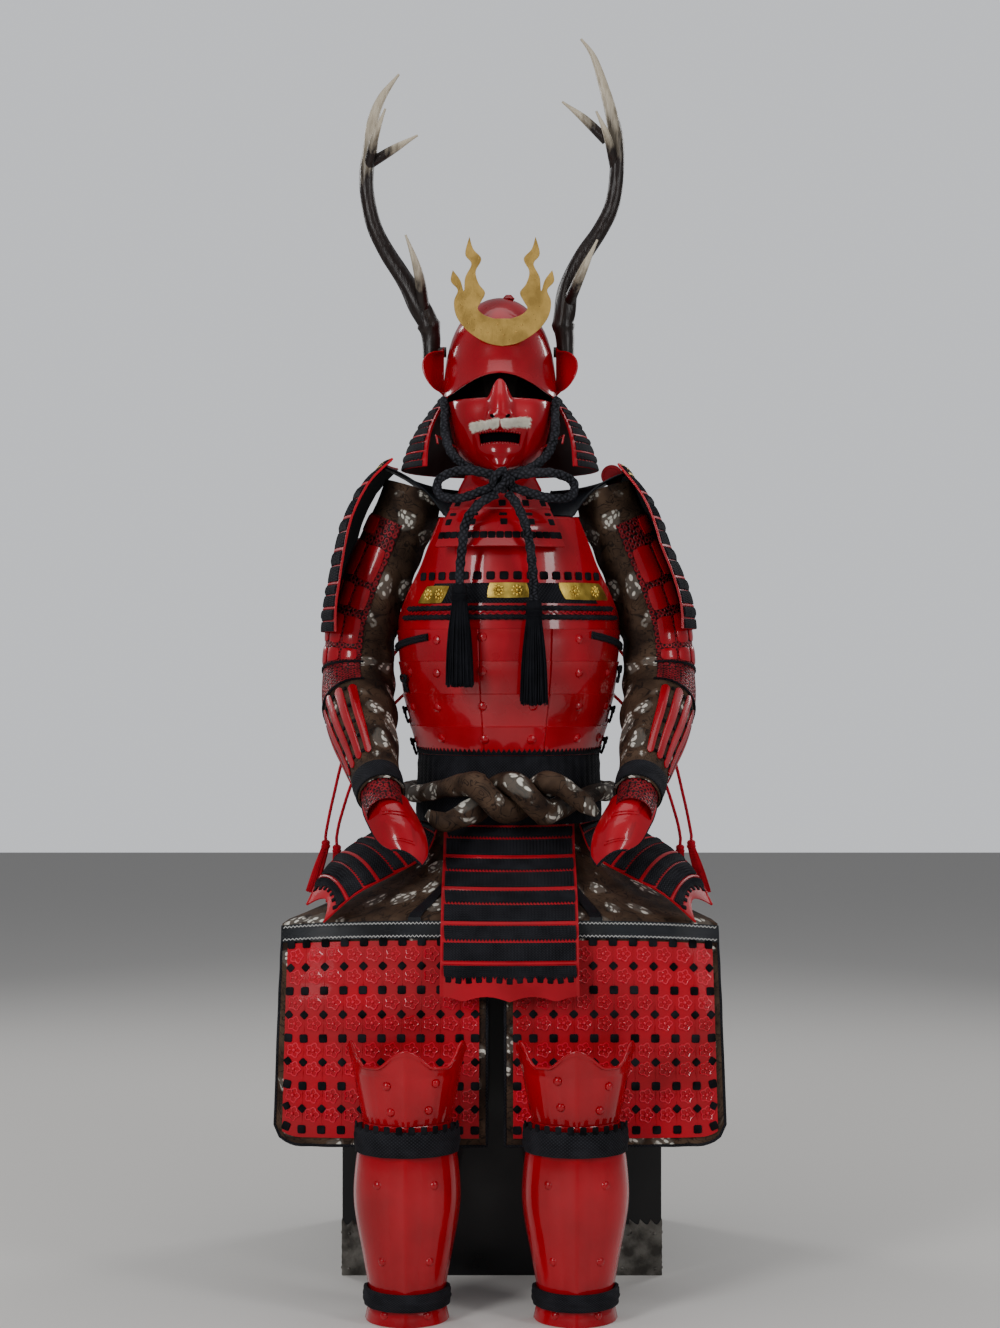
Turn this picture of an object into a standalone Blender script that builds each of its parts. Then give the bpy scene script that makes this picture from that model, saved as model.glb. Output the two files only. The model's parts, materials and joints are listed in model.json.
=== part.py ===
"""Samurai armour seated on its armour chest, with the plain stand inside that carries it.

Metres, +Z up. X runs to the right as the armour is looked at, its front faces -Y, and the origin lies on
the floor under the middle of the chest.
"""
from collections import namedtuple
from math import cos, floor, pi, radians, sin, sqrt

import bmesh
import bpy
from mathutils import Matrix, Vector

# Driving sizes
GAP = 0.0003
CLOTH = 0.0018
PLATE = 0.0020
LAME_STEP = 0.0030
LAME_LAP = 0.07
GOLDEN_ANGLE = pi * (3 - sqrt(5))
HEAD_X = -0.003
BODY_X = 0.0115
LEG_X = -0.016

FRONT = Vector((0, -1, 0))
BACK = Vector((0, 1, 0))
UP = Vector((0, 0, 1))

# Colour, roughness and metallic value of each material
MATERIALS = {
    "red_lacquer": ((0.62, 0.006, 0.014, 1), 0.18, 0.0),
    "black_lace": ((0.008, 0.009, 0.012, 1), 0.85, 0.0),
    "gilt": ((0.70, 0.48, 0.14, 1), 0.35, 1.0),
    "antler": ((0.06, 0.04, 0.03, 1), 0.5, 0.0),
    "brocade": ((0.10, 0.08, 0.065, 1), 0.8, 0.0),
    "black_leather": ((0.012, 0.014, 0.018, 1), 0.35, 0.0),
    "red_silk": ((0.55, 0.01, 0.02, 1), 0.7, 0.0),
    "black_lacquer": ((0.006, 0.007, 0.009, 1), 0.2, 0.0),
    "stand_wood": ((0.05, 0.04, 0.035, 1), 0.5, 0.0),
}


def clear_scene():
    for item in list(bpy.data.objects):
        bpy.data.objects.remove(item)


def collection(name):
    made = bpy.data.collections.new(name)
    bpy.context.scene.collection.children.link(made)
    return made


def material(name):
    found = bpy.data.materials.get(name)
    if found:
        return found
    made = bpy.data.materials.new(name)
    made.use_nodes = True
    colour, roughness, metallic = MATERIALS[name]
    shader = made.node_tree.nodes["Principled BSDF"]
    shader.inputs["Base Color"].default_value = colour
    shader.inputs["Roughness"].default_value = roughness
    shader.inputs["Metallic"].default_value = metallic
    return made


def add(name, mesh_edit, material_name):
    """Stores a finished bmesh as one named object of the armour."""
    bmesh.ops.recalc_face_normals(mesh_edit, faces=mesh_edit.faces)
    mesh = bpy.data.meshes.new(name)
    mesh_edit.to_mesh(mesh)
    mesh_edit.free()
    mesh.materials.append(material(material_name))
    mesh.shade_smooth()
    mesh.set_sharp_from_angle(angle=radians(35))
    made = bpy.data.objects.new(name, mesh)
    ARMOUR.objects.link(made)
    return made


def reading(table, place):
    """The row of a table at a place from 0 to 1 along it, smoothly between its rows."""
    span = place * (len(table) - 1)
    row = min(int(span), len(table) - 2)
    t = span - row
    weights = (
        (-t + 2 * t * t - t ** 3) / 2,
        (2 - 5 * t * t + 3 * t ** 3) / 2,
        (t + 4 * t * t - 3 * t ** 3) / 2,
        (-t * t + t ** 3) / 2,
    )
    rows = [table[max(0, min(len(table) - 1, row + step))] for step in (-1, 0, 1, 2)]
    return type(table[0])(*(sum(w * value for w, value in zip(weights, column)) for column in zip(*rows)))


def even(count, first=0.0, last=1.0):
    """Evenly spread places, with an interval for each of count faces."""
    return [first + (last - first) * step / count for step in range(count + 1)]


def wall(name, material_name, across, along, place, thickness, outside=None, relief=None, skip=None):
    """A sheet through place(u, v), thickened towards its outside, with relief(u, v) on its outer points.

    A sheet whose first and last columns meet becomes a tube, and its outside is then away from its middle.
    skip(u, v) leaves out the faces round whose middles it is true.
    """
    sheet = bmesh.new()
    bmesh.ops.create_grid(sheet, x_segments=len(across) - 1, y_segments=len(along) - 1, size=0.5)
    column = sheet.verts.layers.int.new("column")
    row = sheet.verts.layers.int.new("row")
    for vert in sheet.verts:
        vert[column] = round((vert.co.x + 0.5) * (len(across) - 1))
        vert[row] = round((vert.co.y + 0.5) * (len(along) - 1))
    if skip:
        gone = []
        for face in sheet.faces:
            u = sum(across[vert[column]] for vert in face.verts) / len(face.verts)
            v = sum(along[vert[row]] for vert in face.verts) / len(face.verts)
            if skip(u, v):
                gone.append(face)
        bmesh.ops.delete(sheet, geom=gone, context="FACES")
    for vert in sheet.verts:
        vert.co = place(across[vert[column]], along[vert[row]])
    bmesh.ops.remove_doubles(sheet, verts=sheet.verts, dist=1e-6)
    sheet.normal_update()
    middle = sum((vert.co for vert in sheet.verts), Vector()) / len(sheet.verts)
    if outside:
        facing = sum(vert.normal.dot(outside) for vert in sheet.verts)
    else:
        facing = sum(vert.normal.dot(vert.co - middle) for vert in sheet.verts)
    sign = 1 if facing > 0 else -1
    normals = {(vert[column], vert[row]): vert.normal * sign for vert in sheet.verts}
    grown = bmesh.ops.extrude_face_region(sheet, geom=sheet.faces[:])["geom"]
    for vert in grown:
        if isinstance(vert, bmesh.types.BMVert):
            height = thickness
            if relief:
                height += relief(across[vert[column]], along[vert[row]])
            vert.co += normals[(vert[column], vert[row])] * height
    return add(name, sheet, material_name)


def lifted(place, distance, outside):
    """The same surface moved out along its own normal, on the side that outside points to."""
    def moved(u, v):
        step = 1e-3
        run = Vector(place(u + step, v)) - Vector(place(u - step, v))
        rise = Vector(place(u, v + step)) - Vector(place(u, v - step))
        normal = run.cross(rise).normalized()
        if normal.dot(outside(u, v)) < 0:
            normal = -normal
        return Vector(place(u, v)) + normal * distance
    return moved


def lame_places(count):
    """The head and the foot of each lame, the next one starting just below."""
    places = []
    for lame in range(count):
        places += [(lame + (LAME_LAP if lame else 0)) / count, (lame + 1) / count]
    return places


def lame_relief(count, step=LAME_STEP):
    """Each lame stands out at its foot, over the head of the next one."""
    def relief(u, v):
        lame = max(0, floor(v * count - 1e-6))
        return step * (v * count - lame)
    return relief


def smooth_route(points, spacing):
    """Points read at even steps from a smooth curve through the route's own points."""
    route = [Vector(point) for point in points]
    fine = []
    for index in range(len(route) - 1):
        four = [route[max(0, min(len(route) - 1, index + step))] for step in (-1, 0, 1, 2)]
        for part in range(16):
            t = part / 16
            fine.append(0.5 * (
                2 * four[1] + (four[2] - four[0]) * t
                + (2 * four[0] - 5 * four[1] + 4 * four[2] - four[3]) * t * t
                + (3 * four[1] - four[0] - 3 * four[2] + four[3]) * t ** 3))
    fine.append(route[-1])
    length = sum((b - a).length for a, b in zip(fine, fine[1:]))
    count = max(2, round(length / spacing))
    read, walked, target = [fine[0]], 0.0, length / count
    for a, b in zip(fine, fine[1:]):
        stretch = (b - a).length
        while walked + stretch >= target - 1e-9 and len(read) < count:
            read.append(a.lerp(b, (target - walked) / stretch))
            target += length / count
        walked += stretch
    read.append(fine[-1])
    return read


def tube(name, material_name, points, radii, sides=2, cyclic=False):
    """A curve object with round bevel and filled caps, a radius for each of its points."""
    curve = bpy.data.curves.new(name, "CURVE")
    curve.dimensions = "3D"
    spline = curve.splines.new("POLY")
    spline.points.add(len(points) - 1)
    for point, at, radius in zip(spline.points, points, radii):
        point.co = (*at, 1)
        point.radius = radius
    spline.use_cyclic_u = cyclic
    curve.bevel_depth = 1.0
    curve.bevel_resolution = sides
    curve.use_fill_caps = not cyclic
    curve.materials.append(material(material_name))
    made = bpy.data.objects.new(name, curve)
    ARMOUR.objects.link(made)
    return made


def cord(name, material_name, route, radius, sides=2, spacing=2.6):
    points = smooth_route(route, radius * 2 * spacing)
    return tube(name, material_name, points, [radius] * len(points), sides)


def as_mesh(made):
    """Turns a curve object into a closed mesh object, its caps welded."""
    bpy.context.view_layer.update()
    mesh = bpy.data.meshes.new_from_object(made.evaluated_get(bpy.context.evaluated_depsgraph_get()))
    edit = bmesh.new()
    edit.from_mesh(mesh)
    bmesh.ops.remove_doubles(edit, verts=edit.verts, dist=1e-6)
    edit.to_mesh(mesh)
    edit.free()
    name, matrix = made.name, made.matrix_world.copy()
    bpy.data.objects.remove(made)
    solid = bpy.data.objects.new(name, mesh)
    solid.matrix_world = matrix
    ARMOUR.objects.link(solid)
    return solid


def fused(base, others):
    """Joins closed meshes that run into each other to one body."""
    for other in others:
        ARMOUR.objects.unlink(other)
        CUTTERS.objects.link(other)
        other.hide_render = True
        other.display_type = "WIRE"
        join = base.modifiers.new("join " + other.name, "BOOLEAN")
        join.operation = "UNION"
        join.solver = "EXACT"
        join.object = other
    return base


def block(name, material_name, low, high, bevel=0.0):
    """A box from its lowest to its highest corner, with rounded edges where it has a bevel."""
    edit = bmesh.new()
    size = [b - a for a, b in zip(low, high)]
    centre = [(a + b) / 2 for a, b in zip(low, high)]
    shape = Matrix.Translation(centre) @ Matrix.Diagonal((*size, 1))
    bmesh.ops.create_cube(edit, size=1.0, matrix=shape)
    made = add(name, edit, material_name)
    if bevel:
        rounding = made.modifiers.new("rounded edges", "BEVEL")
        rounding.width = bevel
        rounding.segments = 2
    return made


# Helmet
Bowl = namedtuple("Bowl", "rise spread")
BOWL_RINGS = (
    Bowl(0.00, 1.000),
    Bowl(0.18, 0.985),
    Bowl(0.42, 0.925),
    Bowl(0.66, 0.790),
    Bowl(0.85, 0.560),
    Bowl(0.96, 0.290),
    Bowl(1.00, 0.000),
)
BOWL_HALF_WIDTH = 0.092
BOWL_HALF_DEPTH = 0.114
BOWL_RIM_Z = 1.414
BOWL_BROW = 0.032
BOWL_CROWN_Z = 1.580
BOWL_COLUMNS = 20


def bowl_point(turn, place):
    """A point of the bowl's inside, its turn from 0 to 1 starting in front."""
    angle = 2 * pi * turn
    ring = reading(BOWL_RINGS, place)
    brow = max(0.0, cos(angle)) ** 3
    rim = BOWL_RIM_Z + BOWL_BROW * brow
    peak = 1 + 0.12 * brow * max(0.0, 1 - place * 6)
    return Vector((
        HEAD_X + BOWL_HALF_WIDTH * ring.spread * sin(angle),
        -BOWL_HALF_DEPTH * ring.spread * peak * cos(angle),
        rim + (BOWL_CROWN_Z - rim) * ring.rise,
    ))


def helmet_bowl():
    wall("helmet_bowl", "red_lacquer", even(BOWL_COLUMNS), even(6), bowl_point, PLATE)


# Front crest: half of its outline in metres from its middle, each point (x, height over its foot)
CREST_FOOT_Z = 1.489
CREST_OUTLINE = (
    (0.000, 0.000), (0.022, 0.004), (0.042, 0.014), (0.062, 0.030), (0.075, 0.050), (0.078, 0.072),
    (0.072, 0.090), (0.083, 0.104), (0.080, 0.122), (0.068, 0.106), (0.062, 0.088), (0.060, 0.110),
    (0.050, 0.132), (0.060, 0.148), (0.053, 0.176), (0.047, 0.156), (0.034, 0.140), (0.043, 0.120),
    (0.038, 0.100), (0.028, 0.086), (0.034, 0.072), (0.040, 0.060), (0.030, 0.050), (0.014, 0.044),
)
CREST_THICKNESS = 0.0024


def front_crest():
    curve = bpy.data.curves.new("front_crest", "CURVE")
    curve.dimensions = "2D"
    curve.fill_mode = "BOTH"
    curve.extrude = CREST_THICKNESS / 2
    left = [(-x, z) for x, z in reversed(CREST_OUTLINE[1:])]
    outline = list(CREST_OUTLINE) + left
    spline = curve.splines.new("POLY")
    spline.points.add(len(outline) - 1)
    for point, (x, z) in zip(spline.points, outline):
        point.co = (x, z, 0, 1)
    spline.use_cyclic_u = True
    curve.materials.append(material("gilt"))
    made = bpy.data.objects.new("front_crest", curve)
    bowl_front = -(BOWL_HALF_DEPTH * 0.947 + PLATE)
    made.location = (HEAD_X + 0.004, bowl_front - CREST_THICKNESS / 2 - 2 * GAP, CREST_FOOT_Z)
    made.rotation_euler = (pi / 2, 0, 0)
    ARMOUR.objects.link(made)


# Antlers: the beam's middle line and its radius, then each tine's
Beam = namedtuple("Beam", "x y z radius")
LEFT_BEAM = (
    Beam(-0.117, 0.004, 1.484, 0.0140),
    Beam(-0.117, 0.004, 1.515, 0.0160),
    Beam(-0.122, 0.002, 1.541, 0.0180),
    Beam(-0.137, 0.000, 1.571, 0.0150),
    Beam(-0.157, -0.002, 1.607, 0.0140),
    Beam(-0.187, -0.005, 1.652, 0.0130),
    Beam(-0.210, -0.010, 1.698, 0.0125),
    Beam(-0.221, -0.014, 1.747, 0.0120),
    Beam(-0.222, -0.018, 1.789, 0.0120),
    Beam(-0.217, -0.020, 1.818, 0.0120),
    Beam(-0.212, -0.020, 1.869, 0.0090),
    Beam(-0.197, -0.020, 1.909, 0.0065),
    Beam(-0.169, -0.020, 1.947, 0.0020),
)
LEFT_TINES = (
    (Beam(-0.217, -0.020, 1.800, 0.0085), Beam(-0.181, -0.022, 1.822, 0.0070), Beam(-0.138, -0.024, 1.846, 0.0018)),
    (Beam(-0.220, -0.018, 1.790, 0.0085), Beam(-0.208, -0.046, 1.835, 0.0065), Beam(-0.190, -0.050, 1.884, 0.0018)),
    (Beam(-0.128, -0.002, 1.556, 0.0100), Beam(-0.137, -0.040, 1.620, 0.0080), Beam(-0.157, -0.052, 1.678, 0.0018)),
)
RIGHT_BEAM = (
    Beam(0.105, 0.004, 1.484, 0.0140),
    Beam(0.104, 0.004, 1.515, 0.0160),
    Beam(0.101, 0.002, 1.541, 0.0180),
    Beam(0.105, 0.000, 1.560, 0.0150),
    Beam(0.111, -0.002, 1.602, 0.0140),
    Beam(0.130, -0.005, 1.646, 0.0130),
    Beam(0.162, -0.008, 1.693, 0.0125),
    Beam(0.181, -0.012, 1.732, 0.0120),
    Beam(0.189, -0.016, 1.779, 0.0120),
    Beam(0.189, -0.020, 1.830, 0.0120),
    Beam(0.182, -0.020, 1.870, 0.0100),
    Beam(0.172, -0.020, 1.912, 0.0080),
    Beam(0.151, -0.020, 1.975, 0.0055),
    Beam(0.130, -0.020, 2.005, 0.0020),
)
RIGHT_TINES = (
    (Beam(0.172, -0.020, 1.838, 0.0085), Beam(0.137, -0.022, 1.872, 0.0070), Beam(0.099, -0.024, 1.901, 0.0018)),
    (Beam(0.186, -0.016, 1.795, 0.0085), Beam(0.172, -0.046, 1.840, 0.0065), Beam(0.154, -0.050, 1.880, 0.0018)),
    (Beam(0.108, -0.002, 1.570, 0.0100), Beam(0.125, -0.040, 1.605, 0.0080), Beam(0.156, -0.052, 1.670, 0.0018)),
)
SOCKET_HEIGHT = 0.022


def branch(name, rows):
    return as_mesh(tube(name, "antler", [row[:3] for row in rows], [row.radius for row in rows]))


def antler(side_name, beam, tines):
    """The beam with its tines and the socket arm that carries it on the bowl, as one body."""
    name = "antler_" + side_name
    body = branch(name, beam)
    arms = [branch(f"{name}_tine_{number}", rows) for number, rows in enumerate(tines)]
    side = 1 if beam[0].x > 0 else -1
    foot = beam[0]
    bowl_side = HEAD_X + side * (BOWL_HALF_WIDTH * 0.928 + PLATE + 2 * GAP)
    low = (min(bowl_side, foot.x), foot.y - 0.005, foot.z - 0.002)
    high = (max(bowl_side, foot.x), foot.y + 0.005, foot.z + SOCKET_HEIGHT)
    arms.append(block(name + "_socket", "antler", low, high))
    fused(body, arms)


# Turned-back ears: a rounded leaf on each side of the bowl
EAR_HEIGHT = 0.084
EAR_WIDTH = 0.044
EAR_Z = 1.458
EAR_COLUMNS = 4


def ear(side_name, side):
    def place(u, v):
        half = sqrt(max(0.0, 1 - (2 * v - 1) ** 2))
        out = EAR_WIDTH * (0.12 + 0.88 * u * (0.35 + 0.65 * half)) - 0.0060
        z = EAR_Z + EAR_HEIGHT * (v - 0.5) * (0.80 + 0.20 * (1 - u))
        return Vector((
            HEAD_X + side * (BOWL_HALF_WIDTH + PLATE + 3 * GAP + out),
            -0.012 - 0.75 * out - 0.010 * u * u,
            z,
        ))
    wall("ear_" + side_name, "red_lacquer", even(EAR_COLUMNS), even(6), place, PLATE, outside=FRONT)


# Laced neck guard: five lames from the bowl's rim, round the back and both sides
Hoop = namedtuple("Hoop", "z half_width half_depth opening")
NECK_HOOPS = (
    Hoop(1.4130, 0.0960, 0.112, 62),
    Hoop(1.3900, 0.1140, 0.128, 58),
    Hoop(1.3620, 0.1340, 0.146, 54),
    Hoop(1.3300, 0.1500, 0.160, 50),
    Hoop(1.2960, 0.1600, 0.170, 47),
)
NECK_LAMES = 5


def neck_point(u, v):
    """A point of the neck guard, u from one front edge (-1) round the back to the other (1)."""
    hoop = reading(NECK_HOOPS, v)
    angle = u * radians(180 - hoop.opening)
    return Vector((
        HEAD_X + hoop.half_width * sin(angle),
        0.006 + hoop.half_depth * cos(angle),
        hoop.z,
    ))


def neck_guard():
    wall("neck_guard", "black_lace", even(16, -1, 1), lame_places(NECK_LAMES), neck_point, PLATE,
         outside=BACK, relief=lame_relief(NECK_LAMES))


# Half mask: sections from the chin up to the cheeks and the bridge of the nose
Section = namedtuple("Section", "z half_width depth")
MASK_SECTIONS = (
    Section(1.286, 0.026, 0.136),
    Section(1.296, 0.046, 0.143),
    Section(1.312, 0.063, 0.146),
    Section(1.330, 0.074, 0.146),
    Section(1.350, 0.081, 0.147),
    Section(1.372, 0.086, 0.147),
    Section(1.393, 0.088, 0.143),
    Section(1.402, 0.088, 0.139),
)
MASK_ANGLES = (-68, -57, -45, -34, -25, -16, -8, 0, 8, 16, 25, 34, 45, 57, 68)
MASK_PLACES = (0.0, 0.14, 0.28, 0.40, 0.50, 0.60, 0.69, 0.80, 0.90, 1.0)
MOUTH_ANGLE = 25
MOUTH_LOW = 0.40
MOUTH_HIGH = 0.60
BRIDGE_RISE = 0.030
BRIDGE_ANGLE = 13


def bump(value, centre, width):
    return max(0.0, 1 - ((value - centre) / width) ** 2) ** 2


def mask_point(angle, v):
    row = reading(MASK_SECTIONS, v)
    turn = radians(angle)
    nose = 0.017 * bump(angle, 0, 20) * bump(v, 0.78, 0.30)
    cheek = 0.006 * (bump(angle, -42, 24) + bump(angle, 42, 24)) * bump(v, 0.80, 0.35)
    lips = 0.004 * bump(angle, 0, 42) * (bump(v, 0.33, 0.13) + bump(v, 0.66, 0.12))
    chin = 0.007 * bump(angle, 0, 26) * bump(v, 0.10, 0.20)
    rise = BRIDGE_RISE * bump(angle, 0, BRIDGE_ANGLE) * max(0.0, (v - 0.8) / 0.2)
    back = 0.020 + 0.004 * rise / BRIDGE_RISE
    out = nose + cheek + lips + chin
    return Vector((
        HEAD_X + (row.half_width + out) * sin(turn),
        -back - (row.depth - 0.020 + out) * cos(turn),
        row.z + rise,
    ))


def face_mask():
    def mouth(angle, v):
        return abs(angle) < MOUTH_ANGLE and MOUTH_LOW < v < MOUTH_HIGH
    wall("face_mask", "red_lacquer", MASK_ANGLES, MASK_PLACES, mask_point, PLATE, outside=FRONT, skip=mouth)


# Laced throat guard under the chin
Bib = namedtuple("Bib", "z half_width set_back depth")
THROAT_HOOPS = (
    Bib(1.2834, 0.068, 0.070, 0.070),
    Bib(1.2450, 0.090, 0.072, 0.082),
    Bib(1.2050, 0.114, 0.078, 0.092),
    Bib(1.1630, 0.133, 0.082, 0.108),
)
THROAT_LAMES = 4
THROAT_OPENING = 50


def throat_point(u, v):
    hoop = reading(THROAT_HOOPS, v)
    angle = u * radians(THROAT_OPENING)
    return Vector((HEAD_X + hoop.half_width * sin(angle), -hoop.set_back - hoop.depth * cos(angle), hoop.z))


def throat_guard():
    wall("throat_guard", "red_lacquer", even(10, -1, 1), lame_places(THROAT_LAMES), throat_point, PLATE,
         outside=FRONT, relief=lame_relief(THROAT_LAMES, 0.002))


# Chin cord, its bow and its hanging ends
CORD_RADIUS = 0.0072
KNOT = Vector((0.001, -0.186, 1.266))
KNOT_RADIUS = 0.0150
CHIN_ROUTE = (
    (0.0920, -0.0608, 1.4080), (0.0887, -0.0825, 1.3860), (0.0885, -0.105, 1.350), (0.0770, -0.130, 1.315),
    (0.0520, -0.150, 1.292), (0.0280, -0.165, 1.282), (0.0119, -0.1755, 1.2760),
)
LEFT_LOOP = (
    (0.000, -0.188, 1.270), (-0.030, -0.191, 1.280), (-0.070, -0.180, 1.283), (-0.100, -0.162, 1.270),
    (-0.098, -0.164, 1.246), (-0.066, -0.182, 1.240), (-0.028, -0.191, 1.252), (0.000, -0.188, 1.262),
)
RIGHT_LOOP = (
    (0.002, -0.188, 1.270), (0.034, -0.191, 1.277), (0.078, -0.182, 1.280), (0.112, -0.162, 1.268),
    (0.110, -0.164, 1.245), (0.078, -0.183, 1.240), (0.034, -0.191, 1.251), (0.002, -0.188, 1.262),
)
LEFT_END = (
    (-0.0077, -0.1957, 1.2461), (-0.034, -0.199, 1.231), (-0.0560, -0.198, 1.203), (-0.0620, -0.195, 1.165),
    (-0.0655, -0.193, 1.135), (-0.0665, -0.190, 1.118), (-0.0665, -0.190, 1.106),
)
RIGHT_END = (
    (0.0092, -0.1951, 1.2474), (0.022, -0.199, 1.231), (0.0360, -0.200, 1.200), (0.0440, -0.199, 1.165),
    (0.0490, -0.194, 1.120), (0.0505, -0.190, 1.094), (0.0505, -0.190, 1.081),
)


def chin_cords():
    for side_name, side in (("left", -1), ("right", 1)):
        route = [(HEAD_X + side * x, y, z) for x, y, z in CHIN_ROUTE]
        cord("chin_cord_" + side_name, "black_lace", route, CORD_RADIUS)
    cord("cord_end_left", "black_lace", LEFT_END, CORD_RADIUS)
    cord("cord_end_right", "black_lace", RIGHT_END, CORD_RADIUS)


def chin_bow():
    knot = bmesh.new()
    bmesh.ops.create_uvsphere(knot, u_segments=8, v_segments=6, radius=KNOT_RADIUS,
                              matrix=Matrix.Translation(KNOT))
    body = add("chin_bow", knot, "black_lace")
    loops = [as_mesh(cord("bow_loop_left", "black_lace", LEFT_LOOP, CORD_RADIUS)),
             as_mesh(cord("bow_loop_right", "black_lace", RIGHT_LOOP, CORD_RADIUS))]
    fused(body, loops)


def tassel(name, material_name, top, length, spread, strands, head_radius, head_length, lean=(0, 0)):
    """A turned head with its strands fused into it, hanging from top and leaning by lean metres at the foot."""
    top = Vector(top)
    head = bmesh.new()
    shape = Matrix.Translation(top - Vector((0, 0, head_length / 2)))
    bmesh.ops.create_cone(head, cap_ends=True, segments=8, radius1=head_radius, radius2=head_radius * 0.55,
                          depth=head_length, matrix=shape)
    body = add(name, head, material_name)
    fringe = bmesh.new()
    root_z = top.z - head_length * 0.75
    for number in range(strands):
        angle = number * GOLDEN_ANGLE
        reach = sqrt((number + 0.5) / strands)
        heading = Vector((cos(angle), sin(angle), 0)) * reach
        root = Vector((top.x, top.y, root_z)) + heading * head_radius * 0.80
        foot_z = top.z - length * (1 - 0.05 * (number % 3) / 2)
        foot = Vector((top.x + lean[0], top.y + lean[1], foot_z)) + heading * spread
        along = foot - root
        turn = along.to_track_quat("Z", "Y").to_matrix().to_4x4()
        thick = head_radius * 0.62 / sqrt(strands)
        bmesh.ops.create_cone(fringe, cap_ends=True, segments=3, radius1=thick, radius2=thick * 2.2,
                              depth=along.length, matrix=Matrix.Translation((root + foot) / 2) @ turn)
    fused(body, [add(name + "_strands", fringe, material_name)])


# Cuirass: sections from the waist up; armhole is how far round its side the plate reaches, in degrees
Plate = namedtuple("Plate", "z half_width depth armhole")
BREAST_PLATES = (
    Plate(0.8320, 0.1470, 0.140, 90),
    Plate(0.8790, 0.1590, 0.152, 90),
    Plate(0.9310, 0.1710, 0.161, 90),
    Plate(0.9830, 0.1780, 0.166, 90),
    Plate(1.0340, 0.1800, 0.167, 90),
    Plate(1.0820, 0.1760, 0.166, 72),
    Plate(1.1280, 0.1700, 0.161, 58),
    Plate(1.1700, 0.1640, 0.154, 51),
    Plate(1.2120, 0.1560, 0.142, 45),
)
BACK_PLATES = (
    Plate(0.8320, 0.1470, 0.110, 90),
    Plate(0.9310, 0.1710, 0.128, 90),
    Plate(1.0340, 0.1800, 0.138, 90),
    Plate(1.0900, 0.1760, 0.140, 70),
    Plate(1.1500, 0.1680, 0.138, 56),
    Plate(1.2240, 0.1600, 0.128, 50),
)
SEAMS = (1, 2, 3, 4)
SEAM_STEP = 0.0014


def cuirass_point(table, front):
    def place(u, v):
        row = reading(table, v)
        angle = u * radians(min(row.armhole, 90))
        across = row.half_width * sin(angle)
        forward = row.depth * cos(angle) + GAP / 2
        return Vector((BODY_X + across, -forward if front else forward, row.z))
    return place


def breast_rows():
    """Rows at each section, doubled at the seams where one plate steps over the next."""
    last = len(BREAST_PLATES) - 1
    places = [0.0]
    for section in range(1, last + 1):
        if section in SEAMS:
            places.append((section - 0.05) / last)
        places.append(section / last)
    return places


def breast_relief(u, v):
    """Each lower plate stands out over the foot of the one above it."""
    section = v * (len(BREAST_PLATES) - 1)
    if section > SEAMS[-1] - 0.01:
        return 0.0
    return SEAM_STEP * min(1.0, (section % 1.0) / 0.9 if section % 1.0 < 0.99 else 0.0)


def cuirass():
    wall("breast_plate", "red_lacquer", even(14, -1, 1), breast_rows(), cuirass_point(BREAST_PLATES, True), PLATE,
         outside=FRONT, relief=breast_relief)
    wall("back_plate", "red_lacquer", even(10, -1, 1), even(6), cuirass_point(BACK_PLATES, False), PLATE,
         outside=BACK)


# Waist lacing: pleated cords between the cuirass and the tassets, on the ring that the tassets hang from
Waist = namedtuple("Waist", "z half_width front back")
WAIST_RINGS = (
    Waist(0.8306, 0.1460, 0.139, 0.109),
    Waist(0.7220, 0.1500, 0.160, 0.130),
)
PLEATS = 30
PLEAT_DEPTH = 0.0022
LACING = 0.0022


def waist_point(turn, v):
    """A point of the waist's ring, its turn from 0 to 1 starting in front and going to the right."""
    ring = reading(WAIST_RINGS, v)
    angle = 2 * pi * turn
    depth = ring.front if cos(angle) > 0 else ring.back
    return Vector((BODY_X + ring.half_width * sin(angle), -depth * cos(angle), ring.z))


def waist_lacing():
    def relief(u, v):
        return PLEAT_DEPTH * (round(u * 2 * PLEATS) % 2)
    wall("waist_lacing", "black_lace", even(2 * PLEATS), (0.0, 1.0), waist_point, LACING, relief=relief)


# Tassets: five laced lames each, hung just below the waist ring, lying over the lap or hanging behind
TASSET_LAMES = 5
TASSET_TOP_Z = WAIST_RINGS[-1].z - PLATE - GAP
Apron = namedtuple("Apron", "y z half_width bow")
FRONT_TASSET = (
    Apron(-0.160, TASSET_TOP_Z, 0.103, 0.040),
    Apron(-0.215, 0.676, 0.103, 0.030),
    Apron(-0.285, 0.632, 0.104, 0.022),
    Apron(-0.346, 0.586, 0.104, 0.010),
    Apron(-0.374, 0.530, 0.104, 0.008),
    Apron(-0.380, 0.478, 0.105, 0.008),
)
Edges = namedtuple("Edges", "inner_x inner_y inner_z outer_x outer_y outer_z")
LAP_TASSET = (
    Edges(-0.112, -0.117, TASSET_TOP_Z, -0.158, -0.030, TASSET_TOP_Z),
    Edges(-0.131, -0.214, 0.678, -0.206, -0.080, 0.706),
    Edges(-0.177, -0.262, 0.652, -0.246, -0.135, 0.690),
    Edges(-0.233, -0.315, 0.626, -0.286, -0.198, 0.656),
    Edges(-0.281, -0.352, 0.586, -0.313, -0.262, 0.604),
)
LAP_CROWN = 0.012
EAR_NOTCH = 0.024
Hang = namedtuple("Hang", "heading half_angle reach drop")
HANGING_TASSETS = {
    "tasset_side_left": Hang(-110, 26, 0.150, 0.135),
    "tasset_side_right": Hang(110, 26, 0.150, 0.135),
    "tasset_back": Hang(180, 36, 0.150, 0.125),
}


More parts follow.
